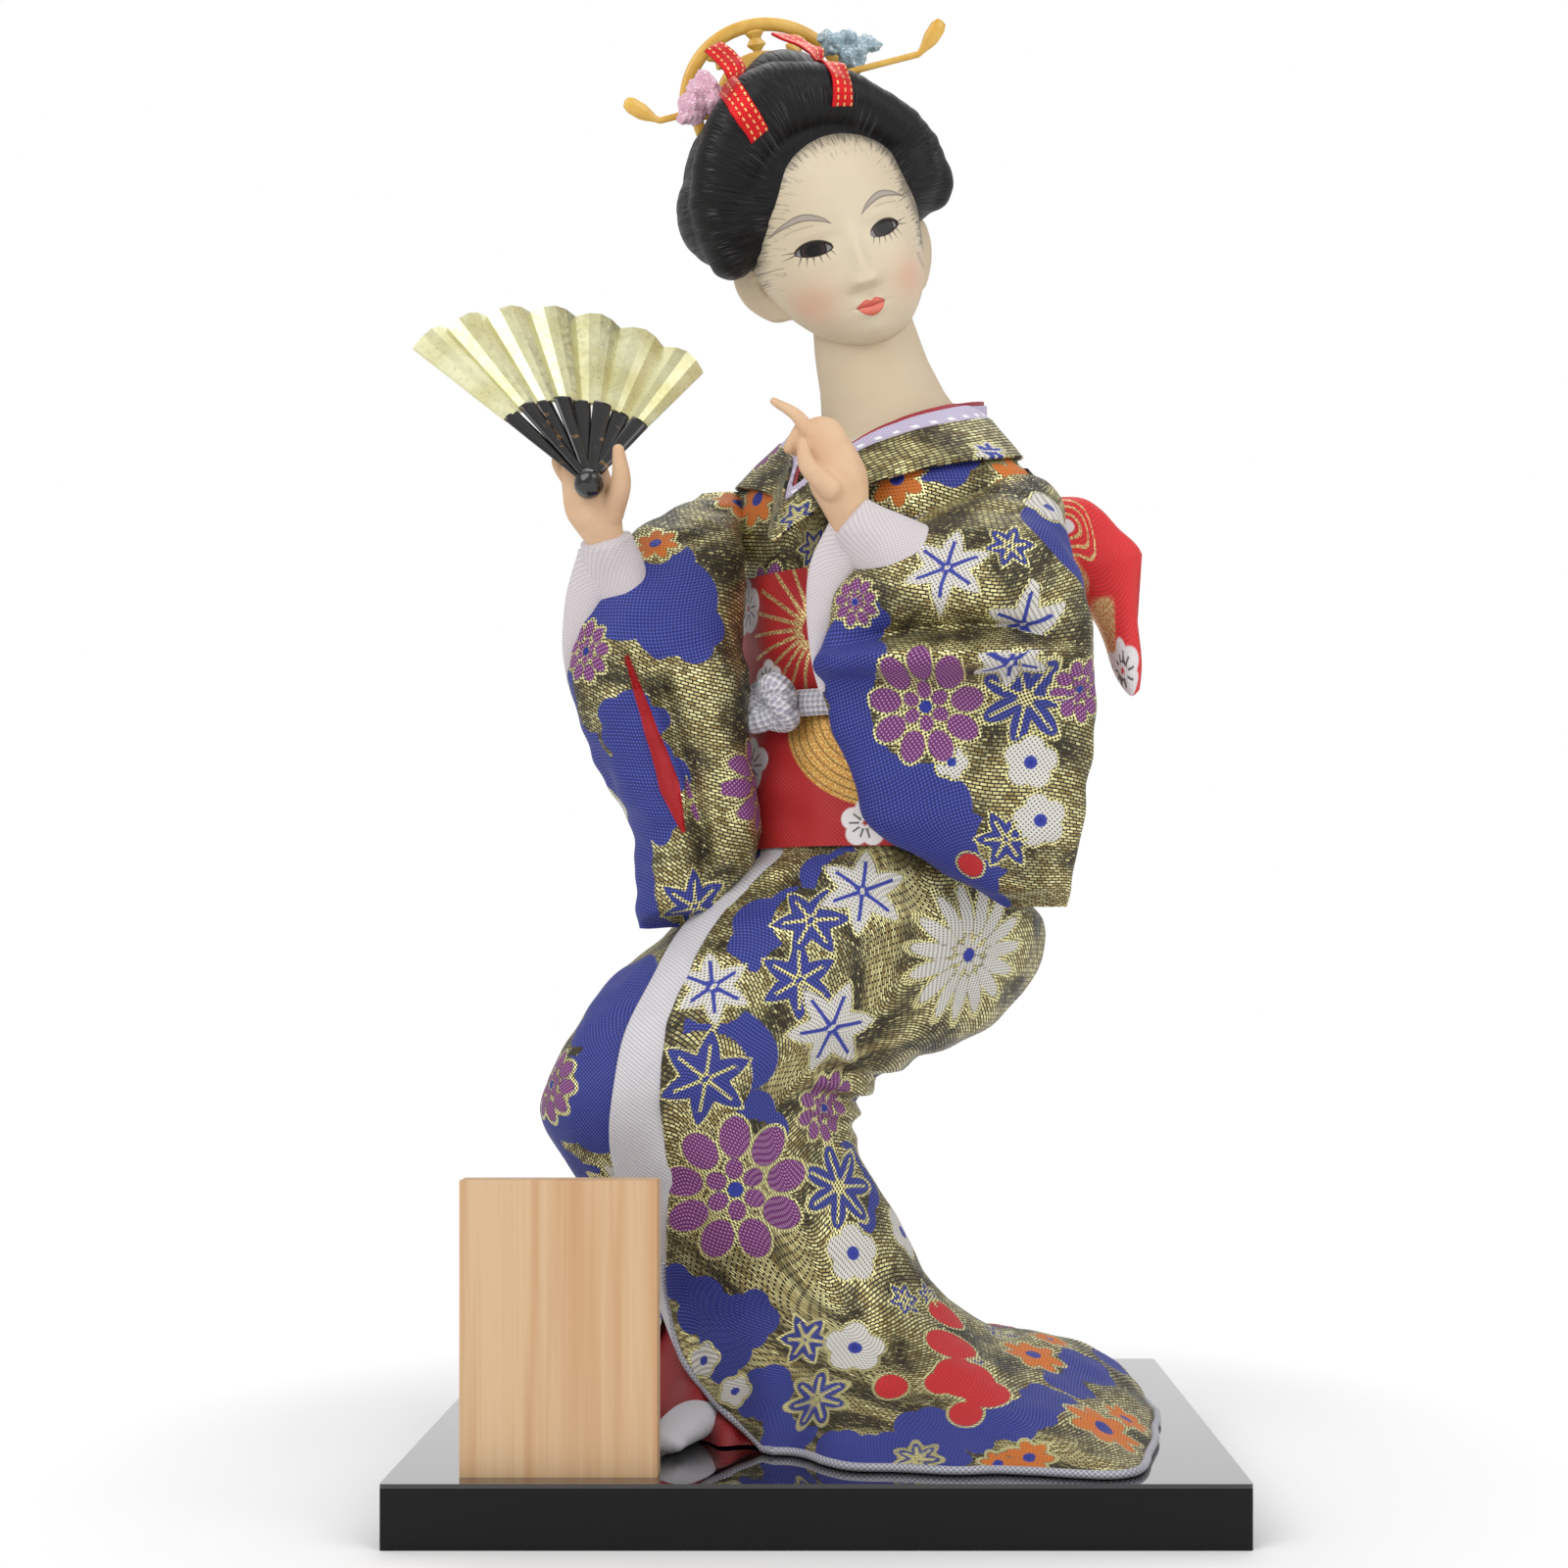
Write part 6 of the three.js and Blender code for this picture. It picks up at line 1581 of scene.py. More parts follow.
class HeadFrame:
    """Place and tilt of the head: its own z runs from chin to crown and its -y looks ahead."""

    CENTRE = np.array((0.5, -1.0, 244.5))
    TILT = Matrix.Rotation(math.radians(-15), 3, "Y")
    LOOK = Matrix.Rotation(math.radians(12), 3, "Z")
    NOD = Matrix.Rotation(math.radians(16), 3, "X")
    TURN = np.array(TILT @ LOOK @ NOD)
    # The head's own y in the doll's frame
    BEHIND = tuple(TURN @ np.array((0.0, 1.0, 0.0)))

    @classmethod
    def out(cls, points: Points | Array) -> Array:
        """Turns places in the head's frame into places in the doll's."""
        return np.asarray(points, float) @ cls.TURN.T + cls.CENTRE

    @classmethod
    def back(cls, points: Array) -> Array:
        """Turns places in the doll's frame into places in the head's."""
        return (points - cls.CENTRE) @ cls.TURN

    @classmethod
    def matrix(cls) -> Matrix:
        """Gives the turn alone."""
        return Matrix(cls.TURN.tolist())


class Face:
    """Ivory head and neck with ears, painted features and inset eyes.

    Features are drawn across and above the point between the eyes, in a frame that leans with the face.
    """

    ROWS = (
        (-22.8, 3.2, -10.5, 0, 0), (-22.1, 3.2, -10, 4.2, 4.5), (-20.4, 3.3, -9, 7.8, 7.5),
        (-17.2, 3.2, -7, 11.4, 11), (-13.2, 3, -4.5, 14.5, 14), (-7.3, 2.4, -2, 17, 16.8),
        (0, 2.1, -0.5, 18.2, 18.5), (8, 1.7, 0.5, 18.2, 19.3), (15, 1, 1, 16.2, 18),
        (20, 0.4, 1.5, 11, 13.5), (23.5, 0, 2, 5, 6.5), (24.6, 0, 2, 0, 0),
    )
    BETWEEN_EYES = (0.8, -1.45)
    LEAN = math.radians(5.7)
    EYE = (7.5, -0.3)
    EYE_HALF = 3.55
    IRIS = (2.4, 2.2)
    LIDS = (1.65, 1.1)
    MOUTH = -13.45
    BROW = ((2.9, 3.4, 0.02), (4.6, 4.9, 0.5), (8, 6.3, 0.72), (11.5, 5.9, 0.5), (15, 4.5, 0.02))
    LASHES = (
        (4.7, -1.0, 3.9, -2.4), (5.7, -1.4, 5.2, -3.0), (6.9, -1.5, 6.8, -3.0), (8.1, -1.5, 8.4, -3.1),
        (9.2, -1.2, 9.8, -2.9), (10.2, -0.8, 11.2, -2.5), (10.8, 0.0, 13.4, -0.4),
        (10.6, 0.4, 13.3, 0.9),
    )
    HAIRLINE = (
        (-17.5, -9), (-16.8, 0), (-14.2, 7.8), (-10.2, 14.5), (-3.5, 18.5), (5.3, 18.9), (11.6, 16.4),
        (15, 11.6), (16.6, 5.4), (18.4, 1.1), (19.6, -6),
    )
    NECK = ((15, 4.2, 203.5), (12.6, 3.6, 212), (10, 2.6, 221.5), (8, 2.2, 231))
    NECK_RADII = (16, 13.4, 11.8, 11, 10)
    EARS = {
        "right": (
            (-14.5, 2, 0.5), (-17.4, 5, -1.5), (-17.9, 5.5, -5.5), (-16.4, 4.5, -9.5), (-13, 2, -12.6),
            (-10.5, -2, -13.4),
        ),
        "left": (
            (20.5, 2, 1), (23, 5, -0.5), (23.6, 5.5, -4.5), (22.4, 4.5, -8.5), (19.6, 2, -12),
            (16.5, -1, -12.8),
        ),
    }
    EAR_RADII = (1.0, 1.3, 1.3, 1.3, 1.5, 1.0)

    def build(self) -> None:
        """Makes the head, neck, ears and eyes, and the strokes of the brush."""
        skin = self._skin_material()
        surface = self._head()
        bare = {name: 0.0 if name == "blush" else FAR for name in surface.fields}
        dressed(surface.piece("face"), skin, HEAD, "ivory", "head")
        bare["shade"] = 1.0
        neck = tube(smooth_line(self.NECK, 60), self.NECK_RADII, 72, 0.9, (0, 1, 0))
        neck.fields = {name: np.full(neck.points.shape[:2], value) for name, value in bare.items()}
        dressed(neck.piece("neck"), skin, HEAD, "ivory")
        for side, line in self.EARS.items():
            ear = self._ear(side, line)
            count = len(ear.data.vertices)
            fields = {name: np.full(count, value) for name, value in bare.items()}
            reshape(ear, np.zeros((count, 3)), fields)
            dressed(ear, skin, HEAD, "ivory")
        self._eyes()

    @classmethod
    def _ear(cls, side: str, line: Points) -> Piece:
        """Makes one ear: a rolled rim and a hollow shell within it."""
        clay = Clay()
        clay.limb(HeadFrame.out(line), cls.EAR_RADII)
        heart = np.mean(np.array(line), axis=0)
        for share in (0.1, 0.35, 0.6, 0.85):
            shell = heart + (np.array(line) - heart) * share
            clay.limb(HeadFrame.out(shell), (1.3,) * 3)
        return clay.skin(f"ear_{side}", 0.3, 6)

    def _leaning(self, x: Array, z: Array) -> tuple[Array, Array]:
        """Turns places of the head into places across and above the point between the eyes."""
        across, up = x - self.BETWEEN_EYES[0], z - self.BETWEEN_EYES[1]
        cos, sin = math.cos(self.LEAN), math.sin(self.LEAN)
        return across * cos + up * sin, up * cos - across * sin

    def _upright(self, u: Array, w: Array) -> tuple[Array, Array]:
        """Turns places in the leaning frame back into places of the head."""
        cos, sin = math.cos(self.LEAN), math.sin(self.LEAN)
        return u * cos - w * sin + self.BETWEEN_EYES[0], u * sin + w * cos + self.BETWEEN_EYES[1]

    def _front(self, x: Array, z: Array) -> Array:
        """Gives y of the face before its features, at places seen from the front."""
        rows = rows_at(self.ROWS, z.ravel())
        middle, back, wide, deep = (rows[:, i].reshape(z.shape) for i in (1, 2, 3, 4))
        return back - deep * np.sqrt(np.clip(1 - ((x - middle) / np.maximum(wide, 0.1)) ** 2, 0, 1))

    def _features(self, u: Array, w: Array) -> Array:
        """Gives how far the face stands out ahead of the plain head at each place."""
        side = np.abs(u)
        ridge = ease(w, 4.5, -8.2) * ease(w, -10.6, -8.6)
        nose = 2.3 * ridge**0.8 * np.exp(-((u / (1.7 + 1.3 * ease(w, -3, -8.5))) ** 2))
        wings = 0.6 * bell(side, 2.0, 1.1) * bell(w, -8.6, 1.3)
        socket = -1.0 * bell(side, 7.2, 4.6) * bell(w, 1.4, 3.0)
        lid = 0.55 * bell(side, 7.5, 3.6) * bell(w, 2.6, 1.3)
        cheek = 0.7 * bell(side, 9.5, 5.0) * bell(w, -8.0, 4.5)
        muzzle = 0.9 * bell(u, 0, 5.0) * bell(w, self.MOUTH, 3.6)
        lips = 0.55 * bell(u, 0, 2.6) * (bell(w, self.MOUTH + 0.8, 0.8) + bell(w, self.MOUTH - 1.2, 1.0))
        parting = -0.5 * bell(u, 0, 3.0) * bell(w, self.MOUTH, 0.35)
        groove = -0.25 * bell(u, 0, 0.8) * bell(w, -11.4, 1.2)
        chin = 0.8 * bell(u, 0, 3.8) * bell(w, -18.6, 2.2)
        return nose + wings + socket + lid + cheek + muzzle + lips + parting + groove + chin

    def _almond(self, u: Array, w: Array) -> Array:
        """Gives the distance outside the eye opening, in millimetres."""
        across = (np.abs(u) - self.EYE[0]) / self.EYE_HALF
        level = w - self.EYE[1] - 0.35 * across
        arch = np.clip(1 - across**2, 0, 1)
        edge = np.maximum(level - self.LIDS[0] * arch**0.7, -level - self.LIDS[1] * arch**0.8)
        return np.where(np.abs(across) < 1, edge, 1 + np.abs(across))

    def _head(self) -> Surface:
        """Makes the head with its features and the fields of its paint."""
        turn = np.linspace(0.5 * math.pi, 2.5 * math.pi, 331)
        turn = turn - 0.75 * np.sin(turn - 1.5 * math.pi)
        fine = np.linspace(self.ROWS[0][0], self.ROWS[-1][0], 2000)
        weight = np.cumsum(1 + 2.0 * bell(fine, -1.0, 4.5) + bell(fine, -15.0, 4.0))
        heights = np.interp(np.linspace(weight[0], weight[-1], 291), weight, fine)
        rows = rows_at(self.ROWS, heights)
        wide, deep = np.maximum(rows[:, 3:4], 0), np.maximum(rows[:, 4:5], 0)
        x = rows[:, 1:2] + wide * np.cos(turn)[None, :]
        y = rows[:, 2:3] + deep * np.sin(turn)[None, :]
        z = np.broadcast_to(heights[:, None], x.shape)
        ahead = ease(-np.sin(turn), 0.05, 0.5)[None, :] * ease(wide, 0, 3)
        u, w = self._leaning(x, z)
        opening = self._almond(u, w)
        y = y - self._features(u, w) * ahead + 0.9 * ease(opening, 0.15, -0.25) * ahead
        surface = Surface(HeadFrame.out(np.stack([x, y, z], axis=-1)), wrap=True)
        behind = np.where(ahead > 0.3, 0.0, FAR)
        surface.fields = {name: values + behind for name, values in self._paint(u, w, opening).items()}
        surface.fields.update(self._hairline(x, z))
        surface.fields["blush"] = ahead * bell(np.abs(u), 10.8, 4.8) * bell(w, -10.4, 4.2)
        surface.fields["shade"] = np.zeros(x.shape)
        return surface

    def _paint(self, u: Array, w: Array, opening: Array) -> Fields:
        """Gives the painted fields, each below 0 inside its shape."""
        side = np.abs(u)
        rows = rows_at(self.BROW, side.ravel())
        arc, thick = rows[:, 1].reshape(u.shape), rows[:, 2].reshape(u.shape)
        within = (side > self.BROW[0][0]) & (side < self.BROW[-1][0])
        brow = np.where(within, np.abs(w - arc) - thick, FAR)
        # Painted shade: a faint grey line under the brow, along the lid's fold.
        crease = np.where((side > 6.4) & (side < 12), np.abs(w - 4.5 + 0.03 * (side - 9) ** 2) - 0.1, FAR)
        top = 1.4 * np.clip(1 - (u / 3.2) ** 2, 0, 1) * (1 - 0.4 * np.exp(-((u / 0.7) ** 2)))
        low = 2.1 * np.clip(1 - (u / 2.9) ** 2, 0, 1) ** 0.8
        level = w - self.MOUTH
        lips = np.where(side < 3.2, np.maximum(level - top, -low - level), FAR)
        parting = np.where(side < 3.1, np.abs(level + 0.15 * bell(u, 0, 0.7)) - 0.1, FAR)
        lash = np.full(u.shape, FAR)
        for start_u, start_w, end_u, end_w in self.LASHES:
            way = np.array((end_u - start_u, end_w - start_w))
            share = np.clip(((side - start_u) * way[0] + (w - start_w) * way[1]) / (way @ way), 0, 1)
            away = np.hypot(side - start_u - share * way[0], w - start_w - share * way[1])
            lash = np.minimum(lash, away - 0.14 * (1.1 - share))
        rim = opening - 0.3 * ease(w - self.EYE[1], -0.3, 0.6)
        return {"brow": brow, "crease": crease, "lips": lips, "parting": parting, "lash": lash, "rim": rim}

    def _hairline(self, x: Array, z: Array) -> Fields:
        """Gives the distance from the edge of the hair, and the length along that edge, at each place."""
        line = smooth_line(self.HAIRLINE, 320)
        travel = np.concatenate([[0.0], np.cumsum(np.linalg.norm(np.diff(line, axis=0), axis=1))])
        away, along = np.empty(x.shape), np.empty(x.shape)
        for row, (row_x, row_z) in enumerate(zip(x, z)):
            gap = np.hypot(row_x[:, None] - line[:, 0], row_z[:, None] - line[:, 1])
            away[row], along[row] = gap.min(axis=1), travel[gap.argmin(axis=1)]
        return {"hairline": away, "along": along}

    @staticmethod
    def _skin_material() -> Material:
        """Builds ivory with its paint, and painted shade along the hair's edge, under the brows and on the
        neck and ears.
        """
        s = Shader("ivory_face")
        place = s.place()
        cloud = s.noise(place, 90.0, 3.0)
        colour = s.mix(s.step(cloud, 0.3, 0.7), ink(220, 206, 179), ink(214, 198, 170))
        colour = s.mix(s.times(s.field("blush"), 0.4), colour, ink(226, 150, 122))
        colour = s.mix(s.times(s.field("shade"), 0.5), colour, ink(196, 174, 142))
        away = s.field("hairline")
        strand = s.joined(s.field("along"), s.times(away, 0.12))
        wisp = s.minus(s.noise(strand, 2.6, 2.0), s.times(away, 0.05))
        # Painted shade: a soft grey band along the hair's edge, as under the hair.
        colour = s.mix(s.step(away, 0.0, 2.8, 0.55, 0.0), colour, ink(112, 104, 98))
        colour = s.mix(s.step(wisp, 0.36, 0.52, 0.0, 0.66), colour, ink(92, 84, 80))
        brow = s.field("brow")
        line = s.mix(s.step(brow, -0.4, -0.1), ink(170, 159, 147), ink(104, 96, 90))
        colour = s.mix(s.step(brow, -0.14, 0.1, 0.9, 0.0), colour, line)
        # Painted shade under the brow, from the crease field.
        colour = s.mix(s.step(s.field("crease"), -0.1, 0.15, 0.5, 0.0), colour, ink(150, 132, 116))
        colour = s.mix(s.step(s.field("lash"), -0.06, 0.1, 0.8, 0.0), colour, ink(70, 58, 54))
        colour = s.mix(s.step(s.field("rim"), 0.02, 0.2, 0.95, 0.0), colour, ink(36, 26, 24))
        lips = s.field("lips")
        coral = s.mix(s.step(lips, -0.5, -0.05), ink(230, 122, 104), ink(206, 84, 70))
        colour = s.mix(s.step(lips, -0.12, 0.12, 1.0, 0.0), colour, coral)
        colour = s.mix(s.step(s.field("parting"), -0.08, 0.14, 0.85, 0.0), colour, ink(158, 52, 48))
        return s.finish(
            {
                "Base Color": colour,
                "Roughness": s.step(lips, -0.15, 0.2, 0.4, 0.56),
                "Normal": s.bump(s.noise(place, 2600.0, 2.0), 0.015),
                "Subsurface Weight": 0.06,
                "Subsurface Radius": (0.6, 0.35, 0.2),
                "Subsurface Scale": 0.002,
            }
        )

    def _eyes(self) -> None:
        """Makes the two glossy eyes behind their openings."""
        for side, sign in (("right", -1), ("left", 1)):
            across = np.linspace(-1.05, 1.05, 40)[None, :]
            up = np.linspace(-1, 1, 24)[:, None]
            w = self.EYE[1] + 0.35 * across * sign + up * 2.0
            u = np.broadcast_to(sign * self.EYE[0] + across * self.EYE_HALF, w.shape)
            x, z = self._upright(u, w)
            y = self._front(x, z) - self._features(u, w) + 0.55 + 0.25 * (up**2 + across**2)
            surface = Surface(HeadFrame.out(np.stack([x, y, z], axis=-1)))
            aside, above = u - sign * self.EYE[0], w - self.EYE[1] - 0.2
            surface.fields = {"iris": np.hypot(aside / self.IRIS[0], above / self.IRIS[1]) - 1}
            s = Shader(f"eye_{side}")
            iris = s.field("iris")
            dark = s.mix(s.step(iris, -0.6, -0.1), ink(14, 10, 10), ink(62, 46, 44))
            dark = s.mix(s.step(iris, -0.16, -0.02), dark, ink(20, 14, 14))
            colour = s.mix(s.step(iris, -0.02, 0.1), dark, ink(152, 147, 149))
            shine = {"Specular IOR Level": 0.25, "Coat Weight": 0.08, "Coat Roughness": 0.1}
            glass = s.finish({"Base Color": colour, "Roughness": 0.3, **shine})
            dressed(surface.piece(f"glass_eye_{side}"), glass, HEAD, "eye", f"eye_{side}")


class Hair:
    """Combed wig: mass, side wings, front roll, top lock and bun."""

    MASS = (
        ((-2.2, 6, 12.5), (23.5, 21, 20)), ((-16.5, 3.5, 9), (12, 15, 12)),
        ((18, 3.5, 10.5), (11.5, 15, 11)), ((0, 15, -2), (15, 8, 12)), ((-6.5, 13, -2.5), (7, 7, 8.5)),
        ((10, 13, -3), (8, 7, 11)), ((3, 14, -5), (9, 6.5, 8)),
    )
    ROLL = (
        (-20, -1, 1), (-20.8, -4, 9.5), (-16.6, -8, 19.8), (-8.6, -10, 26.4), (4.2, -10.3, 25.9),
        (14.8, -8, 20.4), (21.4, -4, 13.6), (24.4, -1, 7),
    )
    ROLL_RADII = (5.5, 7, 7.6, 8, 6.4, 5.2, 5.8, 5.5)
    LOCK = ((-3.6, -3, 27.6), (9.8, 13, 9.8))
    BUN = ((0, 20.5, 28), (13, 9, 9))
    # Places that the strands radiate from, in front and in the bun
    HEART = np.array((1.0, 0, 4.0))
    BUN_HEART = np.array((0, 20, 22.0))

    def build(self) -> list[Piece]:
        """Makes the three hair pieces and gives the two that ribbons lie on."""
        material = self._material()
        turn = HeadFrame.matrix()
        mass = Clay()
        for centre, radii in self.MASS:
            mass.ball(HeadFrame.out(centre), radii, turn)
        mass.limb(HeadFrame.out(self.ROLL), self.ROLL_RADII)
        combed = self._comb_out(mass.skin("hair_combed", 0.55, 14), material, "hair_mass", self.HEART)
        lock = Clay()
        lock.ball(HeadFrame.out(self.LOCK[0]), self.LOCK[1], turn)
        raised = lock.skin("hair_front_lock", 0.45, 4)
        self._comb_out(raised, material, "hair_top_lock", self.HEART)
        bun = Clay()
        bun.ball(HeadFrame.out(self.BUN[0]), self.BUN[1], turn)
        self._comb_out(bun.skin("hair_back_bun", 0.45, 4), material, "hair_bun", self.BUN_HEART)
        return [combed, raised]

    @staticmethod
    def _comb_out(piece: Piece, material: Material, node: str, heart: Array) -> Piece:
        """Combs a piece of hair: faint ridges, and fields that follow the strands.

        Args:
            piece: The smooth form.
            material: The hair.
            node: CAD node that it stands for.
            heart: Place in the head's frame that the strands radiate from.

        Returns:
            The piece.
        """
        points, out = vertices_of(piece)
        local = HeadFrame.back(points)
        away = local - heart
        behind = ease(local[:, 1], 6, 14)
        round_angle = np.arctan2(away[:, 0], away[:, 2]) * (1 - behind) + 0.07 * away[:, 0] * behind
        run = np.hypot(away[:, 0], away[:, 2]) + 0.8 * away[:, 1]
        ridge = 0.12 * np.sin(round_angle * 23 + 0.7 * np.sin(run * 0.3)) + 0.06 * np.sin(round_angle * 51)
        clear = ease(local[:, 1], -15, -6)
        reshape(piece, out * (ridge * clear)[:, None], {"strand": round_angle, "run": run})
        return dressed(piece, material, HEAD, "hair", node)

    @staticmethod
    def _material() -> Material:
        """Builds glossy black hair with fine strands."""
        s = Shader("black_hair")
        around, run = s.field("strand"), s.field("run")
        strand = s.noise(s.joined(s.times(around, 34.0), s.times(run, 0.06)), 1.3, 5.0)
        fine = s.joined(s.times(around, 90.0), s.times(run, 0.16))
        glint = s.step(s.noise(fine, 1.2, 2.0), 0.52, 0.72)
        wander = s.times(s.noise(s.place(), 60.0, 2.0), 9.0)
        band = s.wave(s.plus(run, wander), 0.62)
        glint = s.times(glint, s.step(band, 0.0, 0.9, 0.12, 0.75))
        colour = s.mix(s.step(strand, 0.35, 0.7), ink(4, 4, 5), ink(18, 17, 19))
        colour = s.mix(glint, colour, ink(104, 101, 104))
        rough = s.step(strand, 0.3, 0.7, 0.3, 0.5)
        relief = s.bump(s.plus(strand, glint), 0.45, 0.8)
        shine = {"Roughness": rough, "Specular IOR Level": 0.28}
        return s.finish({"Base Color": colour, "Normal": relief, **shine})


# Hands and fan


class Hands:
    """Two flesh-coloured hands: palm, thumb and fingers, each as a line, its radii and its stretch."""

    ROUND = (1, 1, 1)
    RIGHT = (
        (((-42.4, -24.6, 178), (-44.6, -27.4, 184), (-46, -28.2, 190)), (3.8, 5.6, 4.6), (1, 0.62, 1)),
        (((-40.8, -27.5, 182), (-38.4, -32, 187), (-38.6, -34.6, 192.6)), (2.6, 2.1, 1.2), ROUND),
    )
    LEFT = (
        (((6.0, -33, 179.5), (3.8, -34.4, 187), (0.6, -35, 194)), (3.8, 5.8, 5.0), (1, 0.66, 1)),
        (((2.4, -37.4, 184.5), (-2, -39, 188.5), (-3, -38.8, 193)), (2.4, 1.9, 1.1), ROUND),
        (((1, -36, 190.5), (-3.6, -37, 198), (-8.6, -36.4, 201.5)), (1.8, 1.5, 0.8), ROUND),
    )
    RIGHT_FINGER = (1.5, 1.5, 1.0)
    LEFT_FINGER = (1.6, 1.6, 1.3)

    def build(self) -> None:
        """Makes both hands."""
        flesh = self._material()
        right = Clay()
        for line, radii, flat in self.RIGHT:
            right.limb(line, radii, flat)
        for i in range(4):
            base, middle = (-49.2 + 2.1 * i, -26.3, 188.5), (-51.5 + 2.3 * i, -24.2, 193)
            right.limb((base, middle, (-50.5 + 2 * i, -23, 198 - i)), self.RIGHT_FINGER)
        dressed(right.skin("fan_hand", 0.3, 8), flesh, FIGURE, "flesh", "hand_right")
        left = Clay()
        for line, radii, flat in self.LEFT:
            left.limb(line, radii, flat)
        for i in range(3):
            base, deep = (1 + i, -35 + i, 190.5), -34.6 + 1.4 * i
            left.limb((base, (-2.4 + i, deep, 197), (-5.6 + i, deep, 193)), self.LEFT_FINGER)
        dressed(left.skin("raised_hand", 0.3, 8), flesh, FIGURE, "flesh", "hand_left")

    @staticmethod
    def _material() -> Material:
        """Builds matte flesh-coloured plastic."""
        s = Shader("flesh_plastic")
        cloud = s.noise(s.place(), 140.0, 3.0)
        return s.finish(
            {
                "Base Color": s.mix(s.step(cloud, 0.3, 0.7), ink(223, 187, 151), ink(215, 175, 138)),
                "Roughness": 0.5,
                "Normal": s.bump(s.noise(s.place(), 1500.0, 2.0), 0.02),
                "Subsurface Weight": 0.08,
                "Subsurface Radius": (0.6, 0.3, 0.15),
                "Subsurface Scale": 0.002,
            }
        )


class Fan:
    """Open fan: pleated foil leaf, lacquered ribs and the knob at the pivot."""

    PIVOT = np.array((-44.6, -33.0, 186.2))
    RIB_END = 20.4
    RIBS = 8
    SPAN = math.radians(88)
    LEFT = math.radians(142)
    TILT = math.radians(35)
    KNOB = (2.2, 2.7, 2.9, 2.8, 2.2, 1.0)

    def __init__(self) -> None:
        """Works out the directions along the left edge, across the fan and out of it."""
        self.along = np.array((math.cos(self.LEFT), 0.0, math.sin(self.LEFT)))
        flat = np.array((math.sin(self.LEFT), 0.0, -math.cos(self.LEFT)))
        self.across = flat * math.cos(self.TILT) + np.array((0.0, math.sin(self.TILT), 0.0))
        self.out = unit(np.cross(self.across, self.along))

    def _at(self, radius: Array, share: float, lift: float) -> Array:
        """Gives places on the fan, by distance from the pivot, share of its span and height above it."""
        turn = self.SPAN * share
        way = self.along * math.cos(turn) + self.across * math.sin(turn)
        return self.PIVOT + np.asarray(radius, float)[:, None] * way + self.out * lift

    def build(self) -> None:
        """Makes the ribs and the knob, and gives the CAD leaf its foil."""
        lacquer = self._lacquer()
        carried("fan_leaf", self._foil())
        ribs = []
        for index in range(self.RIBS):
            share = (index + 0.35) / (self.RIBS - 0.3)
            path = self._at(np.linspace(1.5, self.RIB_END, 40), share, 0.5 + 0.7 * (index % 2))
            ribs.append(tube(path, (0.9, 1.2, 1.6, 1.9), 16, 0.34, tuple(self.out)).piece(f"rib_{index}"))
        dressed(joined("fan_ribs", ribs), lacquer, FIGURE, "fan_black", "fan_sticks")
        axis = self.PIVOT + self.out * np.linspace(-1.6, 3.4, 30)[:, None]
        knob = tube(axis, self.KNOB, 32, 1.0, (0, 0, 1))
        dressed(knob.piece("fan_knob"), lacquer, FIGURE, "fan_black", "fan_stud")

    @staticmethod
    def _lacquer() -> Material:
        """Builds glossy black lacquer with a few flecks of gold."""
        s = Shader("fan_lacquer")
        place = s.place()
        fleck = s.step(s.noise(place, 330.0, 4.0), 0.62, 0.7)
        colour = s.mix(fleck, ink(16, 14, 13), ink(128, 92, 46))
        finish = {"Roughness": 0.2, "Coat Weight": 0.6, "Coat Roughness": 0.05}
        return s.finish({"Base Color": colour, "Normal": s.bump(fleck, 0.03), **finish})

    @staticmethod
    def _foil() -> Material:
        """Builds champagne foil with a fine grain."""
        s = Shader("champagne_foil")
        place = s.place()
        grain = s.noise(place, 900.0, 3.0)
        cloud = s.noise(place, 120.0, 2.0)
        colour = s.mix(s.step(cloud, 0.3, 0.7), ink(236, 234, 192), ink(218, 212, 158))
        rough = s.step(grain, 0.3, 0.7, 0.26, 0.42)
        relief = s.bump(grain, 0.02)
        return s.finish({"Base Color": colour, "Metallic": 0.7, "Roughness": rough, "Normal": relief})


def carried(node: str, material: Material) -> None:
    """Gives a CAD node that stays in view its material."""
    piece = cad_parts[node]
    piece.data.materials.clear()
    piece.data.materials.append(material)
    LOG.info("dressed %s", node)


